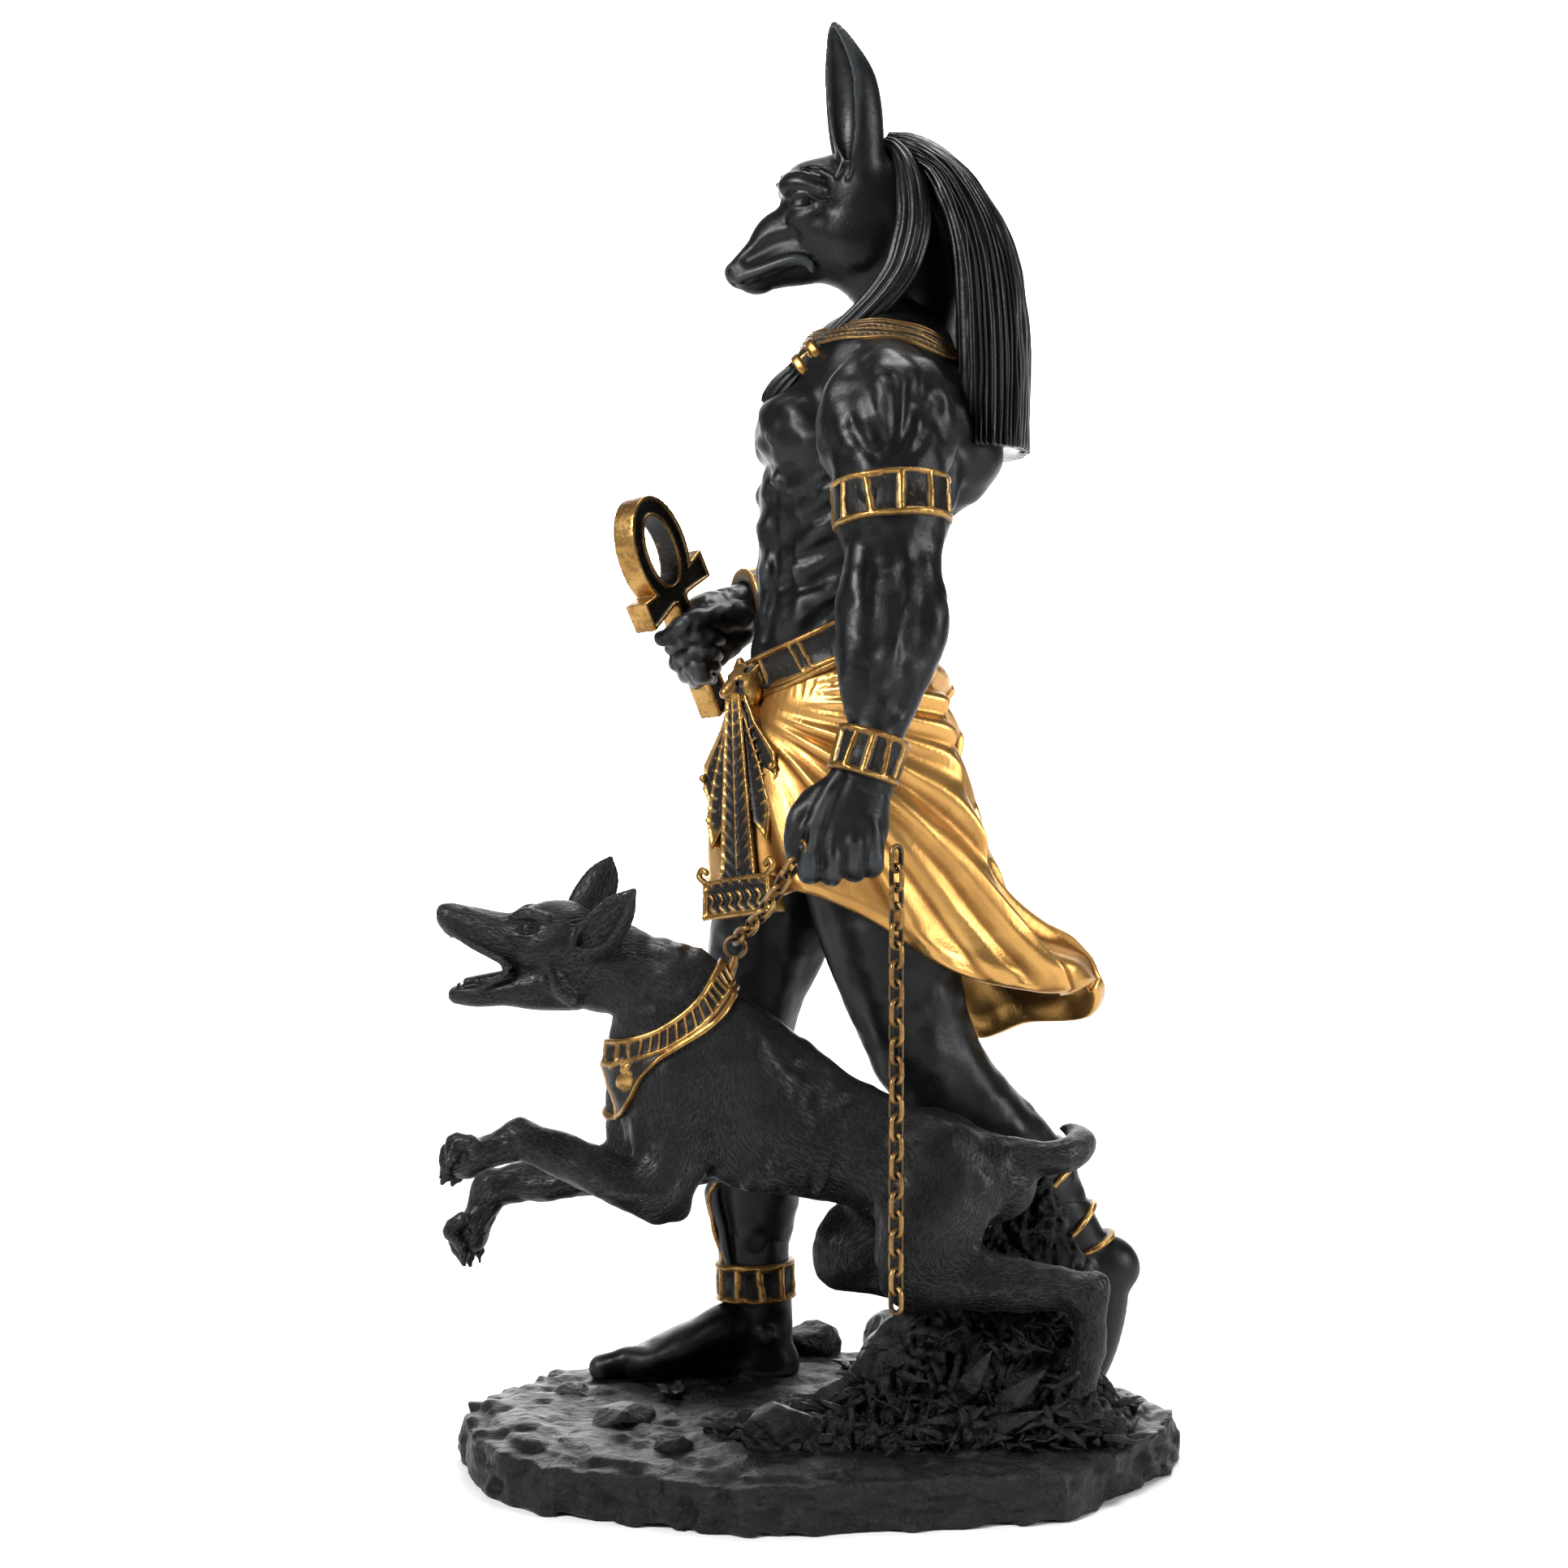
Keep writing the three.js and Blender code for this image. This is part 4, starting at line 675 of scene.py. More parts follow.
def front_foot():
    """The right foot, flat on the ground."""
    clay = Clay((-52, 12, 6), (2, 38, 42), 0.4)
    y = GOD_Y + 9
    clay.add(limb([(-13, y, 42, 7.4, 7), (-12.6, y, 33, 6.8, 6.4), (-12, y, 24, 6.6, 5.9), (-12, y, 14, 7.2, 5.8),
                   (-11.6, y, 9, 6.8, 5.2)]), 1)
    clay.add(ball((-8.8, y, 12.6), (5.2, 5.2, 5.6)), 2)
    clay.add(limb([(-13, y, 20, 8, 5.6), (-20.4, y - 0.4, 17.6, 6.6, 5.8), (-27.4, y - 0.7, 14.2, 5.2, 6.8),
                   (-34, y - 0.9, 11.6, 3.8, 7.6), (-38, y - 1, 11, 3, 7.6)]), 2.4)
    clay.lumps(
        ((-11, y - 5.6, 20), (2.2, 1.8, 2.4), 1.2),
        ((-10.4, y + 5.6, 18), (2.2, 1.8, 2.4), 1.2),
    )
    clay.add(limb([(-15, y - 2, 26, 1), (-22, y - 3.2, 22.8, 0.8), (-33, y - 4.6, 15.6, 0.8)]), 1.4)
    clay.add(limb([(-20, 21.6, 21, 5, 6), (-28, 21.4, 17.8, 4.2, 7), (-34, 21.6, 15.6, 3.8, 7.4),
                   (-39, 22.4, 13.6, 3, 7.6)]), 2.6)
    clay.add(ball((-36.8, 17.8, 14.4), (4.4, 3.4, 3.2)), 1.6)
    clay.cut(limb([(-16, y - 6.6, 14.5, 1), (-24, y - 8, 12.2, 1.4), (-31, y - 8.6, 10.6, 0.8)]), 2.4)
    toes = [((-39.6, 17.8), (-46.6, 18.6), 2.9), ((-39.6, 22.2), (-46.6, 22.6), 2.1), ((-39, 25.4), (-45, 25.8), 2),
            ((-38.4, 28.4), (-43.2, 28.8), 1.9), ((-36, 30.8), (-40.4, 31), 1.7)]
    foot_on(clay, toes)
    clay.roughen(4.4, 0.2, 68)
    clay.trim_below(SOLE)
    return clay


def rear_leg():
    """The left leg, bent and trailing, with its heel raised."""
    clay = Clay((-8, -16, 30), (66, 26, 136), 0.62)
    y = GOD_Y - 12
    leg = [
        (9, y + 3, 132, 15, 12), (14.2, y, 112, 14.2, 11.8), (18.4, y, 96, 12.4, 10.8), (24, y, 81, 11, 9.6),
        (34, y + 1.2, 69.6, 10.4, 8.8), (43.6, y + 2.4, 60, 9.4, 7.8), (51, y + 3.4, 49.6, 7, 6.2),
        (57, y + 4.4, 38, 6.2, 5.6),
    ]
    clay.add(limb(leg), 1)
    clay.lumps(
        ((14.6, y - 6, 99), (7, 4.8, 14), 3, (0, -16, 0)),
        ((14.6, y + 6, 99), (7, 4.8, 14), 3, (0, -16, 0)),
        ((9.4, y, 102), (5.6, 6.4, 17), 3, (0, -18, 0)),
        ((16.4, y, 79.4), (3.4, 4.8, 5.6), 2.4, (0, -34, 0)),
        ((37.4, y - 2.4, 70.4), (5.6, 4.8, 13), 3, (0, -45, 0)),
        ((37, y + 4.6, 70.8), (5.6, 4.8, 12), 3, (0, -45, 0)),
        ((24, y, 98), (6, 8, 15), 3, (0, -12, 0)),
    )
    clay.add(limb([(21, y - 2, 71, 2.2), (34, y - 1, 59, 2), (44, y, 49, 1.6)]), 2)
    clay.roughen(8, 0.6, 67, (1, 1, 2))
    clay.roughen(3, 0.16, 57)
    return clay


def rear_foot():
    """The left foot, on its toes."""
    clay = Clay((42, -8, 6), (72, 22, 52), 0.4)
    y = GOD_Y - 12
    clay.add(limb([(50, y + 3.4, 51, 7, 6.2), (55.6, y + 4.4, 41, 6.4, 5.6), (59.8, y + 4.6, 34, 6.2, 5.4),
                   (60, y + 4.8, 24.6, 5, 6.4), (58, y + 5, 16, 3.8, 7.2), (55.4, y + 5, 13.6, 2.9, 7.2)]), 1)
    clay.lumps(
        ((62.4, y + 4.6, 38), (6.6, 5.2, 5.6), 2, (0, 40, 0)),
        ((56.4, y - 0.6, 37.6), (2.2, 1.8, 2.4), 1.2),
    )
    toes = [((57, y + 11), (49.4, y + 11), 2.8), ((57, y + 7.6), (48.8, y + 7.8), 2),
            ((57, y + 4.8), (49.6, y + 4.8), 1.9), ((57, y + 2), (50.8, y + 2), 1.8),
            ((57, y - 0.6), (52.4, y - 0.6), 1.7)]
    foot_on(clay, toes)
    clay.trim_below(SOLE)
    return clay


# Skins laid out as grids of points, for trims, cloth, hair and wire


def grid_faces(rows, columns, round_rows=False, round_columns=True):
    """Four-sided faces over a grid of points, row by row."""
    i, j = np.meshgrid(np.arange(rows - (not round_rows)), np.arange(columns - (not round_columns)), indexing="ij")
    across, down = (j + 1) % columns, (i + 1) % rows
    corners = [i * columns + j, i * columns + across, down * columns + across, down * columns + j]
    return np.stack(corners, -1).reshape(-1, 4)


def curve_at(values, places, closed=False):
    """Smooth values between given ones, at places counted in steps along their list."""
    values, places = np.asarray(values, float), np.asarray(places, float)
    n = len(values)
    if closed:
        values = np.concatenate([values[-1:], values, values[:2]])
        places = places % n
        i = np.floor(places).astype(int)
    else:
        values = np.concatenate([2 * values[:1] - values[1:2], values, 2 * values[-1:] - values[-2:-1]])
        i = np.clip(np.floor(places).astype(int), 0, n - 2)
    t = (places - i).reshape(places.shape + (1,) * (values.ndim - 1))
    a, b, c, d = (values[i + k] for k in range(4))
    return eased(a, b, c, d, t)


def soft_step(values, start, stop):
    """Values eased from 0 at the start to 1 at the stop."""
    t = np.clip((np.asarray(values, float) - start) / (stop - start), 0, 1)
    return t * t * (3 - 2 * t)


def outward(grid):
    """The way out of a swept surface at each of its points, for rows that go round it."""
    way = np.cross(np.roll(grid, -1, 1) - np.roll(grid, 1, 1), np.gradient(grid, axis=0))
    way /= np.linalg.norm(way, axis=-1, keepdims=True) + 1e-9
    centre = grid.mean(1, keepdims=True)
    return way * np.sign(((grid - centre) * way).sum(-1).mean())


def smoothed(grid, times, reach=1, down=True):
    """A grid averaged with its neighbours round the row and, unless told not to, down the column."""
    for _ in range(times):
        grid = (2 * grid + np.roll(grid, reach, 1) + np.roll(grid, -reach, 1)) / 4
        if down:
            grid[1:-1] = (2 * grid[1:-1] + grid[:-2] + grid[2:]) / 4
    return grid


class Skin:
    """The points, faces and gilding of one piece, gathered from several grids."""

    def __init__(self):
        self.points, self.faces, self.gilt, self.count = [], [], [], 0

    def lay(self, grid, gilt=0.0, round_rows=False):
        """Adds a closed skin: rows that go round, either in a loop or capped at both ends."""
        rows, columns = grid.shape[:2]
        faces = grid_faces(rows, columns, round_rows).tolist()
        if not round_rows:
            faces += [list(range(columns))[::-1], list(range((rows - 1) * columns, rows * columns))]
        flat = grid.reshape(-1, 3)
        middle = flat.mean(0)
        quads = np.array(faces[: (rows - (not round_rows)) * columns])
        a, b, c, d = (flat[quads[:, k]] - middle for k in range(4))
        if ((a * np.cross(b, c)).sum() + (a * np.cross(c, d)).sum()) < 0:
            faces = [face[::-1] for face in faces]
        self.faces += [[i + self.count for i in face] for face in faces]
        self.points.append(flat)
        self.gilt.append(np.broadcast_to(gilt, (rows, columns)).reshape(-1))
        self.count += len(flat)

    def piece(self, name, slot, material, kept=1.0):
        points, gilt = np.concatenate(self.points), np.concatenate(self.gilt)
        return new_piece(name, points, self.faces, slot, material, kept, gilt=gilt)


def tube(stations, sides, step=2.0, across=ACROSS, shape=None):
    """Rows of points round a path of stations (x, y, z, radius in the side view, radius across)."""
    rows = smooth_path(stations, step)
    way = np.gradient(rows[:, :3], axis=0)
    way /= np.linalg.norm(way, axis=1, keepdims=True) + 1e-9
    side = across - way * (way @ across)[:, None]
    side /= np.linalg.norm(side, axis=1, keepdims=True) + 1e-9
    lift = np.cross(side, way)
    angle = full_turn(sides)
    share = np.linspace(0, 1, len(rows))[:, None]
    size = shape(angle[None, :], share) if shape else np.ones((len(rows), sides))
    along = (np.cos(angle) * size)[..., None] * (lift * rows[:, 3:4])[:, None]
    aside = (np.sin(angle) * size)[..., None] * (side * rows[:, 4:5])[:, None]
    return rows[:, None, :3] + along + aside


def evenly(count, first=0.0):
    """Angles spread evenly round a circle."""
    return [first + 2 * math.pi * i / count for i in range(count)]


def full_turn(count):
    """Evenly spaced angles all round, as an array."""
    return np.array(evenly(count))


STRAP_DEPTH = 2.8  # how far the hidden inner wall of a band lies under its floor, in millimetres


def strap(skin, centre, way, radii, height, bars=(), bar_width=1.2, rim=1.2, rise=0.75, seed=0):
    """A metal band round a limb: two raised rims with bars between them, over a plain dark floor."""
    centre, way = np.array(centre, float), unit(np.array(way, float))
    side = unit(ACROSS - (ACROSS @ way) * way)
    lift = np.cross(side, way)
    columns = int(np.pi * sum(radii) / 0.36)
    angle = full_turn(columns)
    level = np.linspace(-height / 2, height / 2, max(9, int(height / 0.3)))
    wobble = lambda k: 0.24 * noise_over(70 + seed, np.cos(angle) * 3 + k, np.sin(angle) * 3, 5)
    hump = lambda d, width: np.sqrt(np.clip(1 - (2 * d / width) ** 2, 0, 1))
    form = np.zeros((len(level), columns))
    for k, edge in enumerate((-1, 1)):
        form = np.maximum(form, hump(level[:, None] - edge * (height - rim) / 2 - wobble(k)[None], rim * 1.25))
    for at in bars:
        turn = (angle - at + np.pi) % (2 * np.pi) - np.pi
        lean = 0.12 * math.sin(7 * at + seed)
        form = np.maximum(form, 0.92 * hump(turn[None] * np.mean(radii) - lean * level[:, None], bar_width))
    form = form * (1 + 0.12 * noise_over(seed, np.cos(angle) * 7, np.sin(angle) * 7, level[:, None] / 1.5))
    form[[0, -1]] = 0.3
    out = rise * (form - 1)
    ring = centre + way * level[:, None, None] + lift * ((radii[0] + out) * np.cos(angle))[..., None]
    ring = ring + side * ((radii[1] + out) * np.sin(angle))[..., None]
    inner = [centre + way * h + ((radii[0] - STRAP_DEPTH) * np.cos(angle))[:, None] * lift
             + ((radii[1] - STRAP_DEPTH) * np.sin(angle))[:, None] * side for h in (height / 2, -height / 2)]
    gilt = np.vstack([soft_step(form, 0.15, 0.5), np.zeros((2, columns))])
    skin.lay(np.concatenate([ring, np.array(inner)]), gilt, round_rows=True)


# Headcloth and collar

FALL = [  # front (x, z), back (x, z) and half width of the falling hair, from the crown down
    (13.2, 273.8, 15.4, 278, 3), (14.8, 272.4, 20.6, 277.4, 6.6), (17.8, 270.4, 26.6, 274.2, 11),
    (21.6, 266.8, 33.8, 267.4, 15.4), (25, 257.3, 40.2, 257.6, 19), (26.6, 246.2, 43.9, 246.2, 21.4),
    (27.2, 228, 45.5, 229, 23.4), (27.2, 210.4, 45.2, 209.6, 24),
]
STRANDS = 34


def falling_hair(skin):
    """The ribbed headcloth: cords run from the crown down the back, cut straight across at the hem."""
    rng = np.random.default_rng(4)
    per, down = 10, 84
    widths = rng.uniform(0.65, 1.3, STRANDS)
    edges = np.concatenate([[0], np.cumsum(widths)]) / widths.sum()
    angle, dip = [], []
    heights = rng.uniform(0, 0.6, STRANDS)
    u = (np.arange(per) + 0.5) / per * 2 - 1
    for k in range(STRANDS):
        angle.append(edges[k] + (edges[k + 1] - edges[k]) * (u + 1) / 2)
        dip.append(1.7 * (1 - np.sqrt(1 - 0.97 * np.abs(u) ** 2.2)) + heights[k])
    angle = math.radians(32) + np.concatenate(angle) * math.radians(296)
    front = np.radians(np.linspace(-31, 31, 14))
    angle = np.concatenate([angle, 2 * math.pi + front])
    dip = np.concatenate([np.concatenate(dip), np.full(14, 1.6)])
    t = np.linspace(0, 1, down)
    level = curve_at(FALL, t * (len(FALL) - 1))
    fx, fz, bx, bz, half = level.T
    centre = np.stack([(fx + bx) / 2, 0 * fx + GOD_Y, (fz + bz) / 2], 1)
    along = np.stack([(fx - bx) / 2, 0 * fx, (fz - bz) / 2], 1)
    across = np.stack([0 * half, half, 0 * half], 1)
    c, s = (np.sign(w) * np.abs(w) ** 0.88 for w in (np.cos(angle), np.sin(angle)))
    grid = centre[:, None] + c[None, :, None] * along[:, None] + s[None, :, None] * across[:, None]
    size = np.sqrt((along**2).sum(1) + half**2)[:, None]
    ripple = 0.2 * noise_over(11, angle * 12, t[:, None] * 16, 0)
    deep = np.clip(dip[None] * soft_step(size, 4, 22) + ripple, 0, 3)
    grid = grid - outward(grid) * deep[..., None]
    crown = grid[0] * 0.4 + grid[0].mean(0) * 0.6 + (0, 0, 0.3)
    hem, under = grid[-1] * 0.96 + grid[-1].mean(0) * 0.04 + (0, 0, -0.2), grid[-1] * 0.8 + grid[-1].mean(0) * 0.2
    core = [(19, GOD_Y, 270, 3, 4), (25, GOD_Y, 264, 5, 7), (31, GOD_Y, 255, 8, 8), (33, GOD_Y, 244, 9, 9),
            (32, GOD_Y, 230, 9, 10), (31, GOD_Y, 212, 9, 10)]
    skin.lay(tube(core, 40, 2))
    skin.lay(np.concatenate([crown[None], grid, hem[None], under[None]]))


def front_locks(skin):
    """A ribbed lock comes forward over each collar bone and ends in a bound brush."""
    ribs = lambda angle, share: 1 - 0.24 * (1 - np.abs(np.cos(4.5 * angle + 1.2 * np.sin(2 * share))) ** 0.6)
    hairs = lambda angle, share: 1 - 0.13 * (1 - np.abs(np.cos(8 * angle))) - 0.06 * np.cos(5 * angle)
    for side in (-1, 1):
        face = lambda x, off, z: (x, GOD_Y + side * off, z)
        path = [(14.6, 3, 275.6, 1, 1), (16.6, 5.6, 273.8, 1.6, 1.6), (18.6, 8.6, 269.7, 2.6, 2.4),
                (19.8, 11.4, 263.6, 3.5, 3), (19.9, 13.6, 257, 3.8, 3.2), (18.8, 14.8, 251.4, 3.9, 3.2),
                (16.7, 15.2, 245.9, 3.6, 3.2), (12.5, 14.6, 240.4, 3.2, 3), (6.6, 13, 234.8, 3, 2.9),
                (1.6, 11.4, 230.4, 2.8, 2.7), (-1.4, 10.4, 228, 2.8, 2.6), (-4.6, 9, 225, 3.1, 2.4)]
        skin.lay(tube(placed(face, *path), 84, 0.8, shape=ribs))
        brush = [(-3.4, 9.6, 226, 3, 2.3), (-6.2, 8.6, 222.8, 3.9, 2.7), (-8.4, 7.9, 220, 3.8, 2.5),
                 (-9.3, 7.6, 218.7, 3.1, 2.1)]
        skin.lay(tube(placed(face, *brush), 96, 0.5, shape=hairs))


def lock_ties(skin):
    """Two rings with a ribbed band between them, round the end of each lock."""
    for side in (-1, 1):
        way = (-0.74, side * -0.24, -0.63)
        for x, off, z in ((0.3, 11.2, 229.9), (-2.6, 10, 226.8)):
            strap(skin, (x, GOD_Y + side * off, z), way, (3.7, 3.3), 1.9, rim=1.6, rise=0.5, seed=3 + side)
        strap(skin, (-1.2, GOD_Y + side * 10.6, 228.3), way, (3.3, 2.9), 2.4, evenly(7), 0.7, 0.3, 0.4, seed=3)


def draped_rings(clays, turns, rings, place_and_way, lift, smoothing, rows, columns):
    """A band of rings draped over clays, then read off finely: one row a ring, from the outer edge inwards."""
    coarse = np.zeros((rings, turns, 3))
    for j, a in enumerate(evenly(turns)):
        for i, (place, way) in enumerate(place_and_way(a, rings)):
            coarse[i, j] = drape(clays, place, way, lift)
    coarse = smoothed(coarse, smoothing)
    fine = curve_at(coarse, np.linspace(0, 1, rows) * (rings - 1))
    return curve_at(np.moveaxis(fine, 1, 0), np.arange(columns) / columns * turns, closed=True).transpose(1, 0, 2)


def shoulder_rings(a, rings):
    """Where the god's collar starts its way down on to the shoulders at an angle, and that way."""
    away = np.array((-math.cos(a), -math.sin(a), 0))
    for r in np.linspace(23 - 3 * math.cos(a) ** 2, 17.8 - 1.4 * math.cos(a), rings):
        yield np.array((15.8, GOD_Y, 238 - 0.5 * (r - 11))) + r * away, -0.45 * away - (0, 0, 0.9)


def broad_collar(skin):
    """A flat collar draped over the shoulders: raised threads of gold, with two rows of beads between them."""
    columns, rows = 560, 48
    grid = draped_rings((god_torso(), near_arm(), far_arm()), 64, 7, shoulder_rings, 0.5, 2, rows, columns)
    angle = full_turn(columns)
    v = np.linspace(0, 1, rows)
    lines = np.zeros((rows, columns))
    for k, (at, wide) in enumerate(((0.06, 0.085), (0.26, 0.05), (0.44, 0.05), (0.62, 0.05), (0.8, 0.05),
                                    (0.95, 0.06))):
        sway = 0.02 * noise_over(45, np.cos(angle) * 4, np.sin(angle) * 4, k)
        lines = np.maximum(lines, np.sqrt(np.clip(1 - ((v[:, None] - at - sway) / wide) ** 2, 0, 1)))
    beads = np.zeros_like(lines)
    for low, high, count in ((0.14, 0.24, 90), (0.48, 0.6, 100)):
        u = (v - low) / (high - low) * 2 - 1
        w = (angle * count / (2 * np.pi) % 1) * 2 - 1
        beads = np.maximum(beads, np.sqrt(np.clip(1 - u[:, None] ** 2 - w[None] ** 2, 0, 1)))
    out = outward(grid)
    front = grid + out * (0.6 * lines + 0.45 * beads)[..., None]
    back = grid[::-1][::9] - out[::-1][::9] * 2
    gilt = np.concatenate([np.maximum(0.66 * soft_step(lines, 0.6, 0.97), 0.2 * beads),
                           np.zeros((len(back), columns))])
    skin.lay(np.concatenate([front, back]), gilt, round_rows=True)


# Armbands, bracelets, anklets and the belt

BANDS = [  # centre, way, radii, height, number of bars, width of a bar
    ((14.5, -22.3, 196.6), (0.06, -0.2, -1), (12.2, 10.5), 9.4, 11, 1.5),
    ((9.6, -32.8, 146.6), (-0.28, -0.14, -0.95), (7.4, 6.6), 9.2, 11, 1.3),
    ((14.3, 51, 196.6), (0, 0.02, -1), (12, 10.6), 9.4, 11, 1.5),
    ((-12.4, 39, 179.2), (-0.88, -0.46, -0.1), (7.7, 7.3), 8, 10, 1.3),
    ((-13.2, 25, 31.2), (0.04, 0, -1), (8.8, 8), 8.4, 10, 1.5),
    ((44.9, 6.7, 58.3), (0.68, 0.1, -0.73), (9.9, 8.4), 1.3, 0, 1),
    ((47.6, 7.1, 55.3), (0.62, 0.1, -0.78), (9.3, 7.9), 1.2, 0, 1),
    ((53.6, 7.8, 46), (0.7, 0.08, -0.7), (7.6, 6.8), 1.2, 0, 1),
    ((56.6, 8.3, 41.8), (0.4, 0.08, -0.9), (7.2, 6.4), 1.2, 0, 1),
]
BELT_MIDDLE = (4.4, GOD_Y, 170)


def god_bands(skin):
    """The bands of the arms and legs, and the gilt edge of the right shin guard."""
    for k, (centre, way, radii, height, bars, width) in enumerate(BANDS):
        rim, rise = (1.15, 0.75) if bars else (0.9, 0.6)
        strap(skin, centre, way, radii, height, evenly(bars, 0.2 * k), width, rim, rise, seed=k)
    start = lambda z: (-30, 19 + 0.02 * (57 - z), z)
    edge = [(*drape((front_leg(),), start(z), (1, 0.25, 0), 0.2), 0.55) for z in (58, 54, 50, 46, 42, 38, 35)]
    skin.lay(tube(edge, 12, 0.5), 1.0)


def belt(skin):
    """The barred belt, which dips towards the front, and the plain band under it."""
    tilt = math.radians(BELT_DIP)
    way = (-math.sin(tilt), 0, math.cos(tilt))
    bars = [at + off for at in evenly(11, 0.28) for off in (-0.055, 0.055)]
    strap(skin, BELT_MIDDLE, way, (21.4, 21.2), 8, bars, 0.8, 1.1, 0.8, seed=31)
    strap(skin, np.array(BELT_MIDDLE) - 4.3 * np.array(way), way, (21.7, 21.5), 1.2, (), 1, 1, 0.5, seed=33)


# The kilt

KILT = [  # stations from the belt to the hem, going round from the front past his left side
    [(-12.8, 16, 158.6), (-17.6, 16, 151), (-20.6, 16.4, 143), (-23, 17, 130), (-24.4, 18, 115.6)],
    [(-9, 3.6, 160), (-12, 1.8, 151), (-13.6, 0.8, 142), (-14, -0.4, 129), (-14, -0.6, 114.4)],
    [(-1.4, -2.4, 163.4), (-3.4, -5.6, 153), (-4.4, -8, 143), (-5, -9.6, 131), (-5, -10, 118.6)],
    [(6, -4.6, 166.6), (6, -8.2, 156), (7, -10.4, 144), (8.4, -11.4, 130), (9, -11.8, 113.6)],
    [(14, -3, 170.2), (16, -7, 158), (18.4, -9.4, 144), (22.6, -11, 125), (27, -11.4, 102.6)],
    [(20.6, 2.6, 173.2), (23.8, -1, 160), (26.6, -4, 146), (32.4, -7.4, 123), (41, -9, 98.8)],
    [(24.4, 9.6, 174.8), (27, 6, 162), (30, 3, 148), (37.6, -2, 122), (52.4, -4.6, 97.6)],
    [(25.2, 16, 175.4), (27.4, 14, 162), (31, 12, 148), (40, 8, 121), (60, 4.6, 99.4)],
    [(23.8, 23, 174.8), (26.6, 22.6, 161), (30.4, 22.6, 147), (39, 20, 120.6), (58.4, 11, 90.8)],
    [(18.6, 29.4, 172.6), (22, 31, 159), (25.4, 32, 145), (32, 30, 119), (46.6, 19, 88.4)],
    [(10, 34, 169), (12.4, 36.6, 157), (14.8, 38, 143), (20, 37, 120), (33, 29, 84.6)],
    [(0.6, 36, 165), (0.4, 39, 155), (0.8, 41, 142), (3, 41, 124), (11, 37, 101)],
    [(-7, 31.6, 161.4), (-10, 34.4, 153), (-12, 36.6, 143), (-13, 38, 128), (-10, 37.6, 111)],
    [(-11.6, 24.6, 159), (-15.6, 26.4, 152), (-18.4, 28, 143.6), (-20.8, 29.2, 129), (-22, 29.6, 114.6)],
]


def pleats(phase, seed, count, sharp=0.68):
    """Uneven cloth folds over a phase from 0 to 1: each rises slowly and drops faster."""
    rng = np.random.default_rng(seed)
    widths = rng.uniform(0.5, 1.6, count)
    edges = np.concatenate([[0], np.cumsum(widths)]) / widths.sum()
    tall = rng.uniform(0.35, 1, count) * np.sqrt(widths)
    k = np.clip(np.searchsorted(edges, np.clip(phase, 0, 0.9999), "right") - 1, 0, count - 1)
    u = (phase - edges[k]) / (edges[k + 1] - edges[k])
    rise = np.where(u < sharp, u / sharp, (1 - u) / (1 - sharp))
    return tall[k] * rise * rise * (3 - 2 * rise)


CLOTH_THICK = 1.5


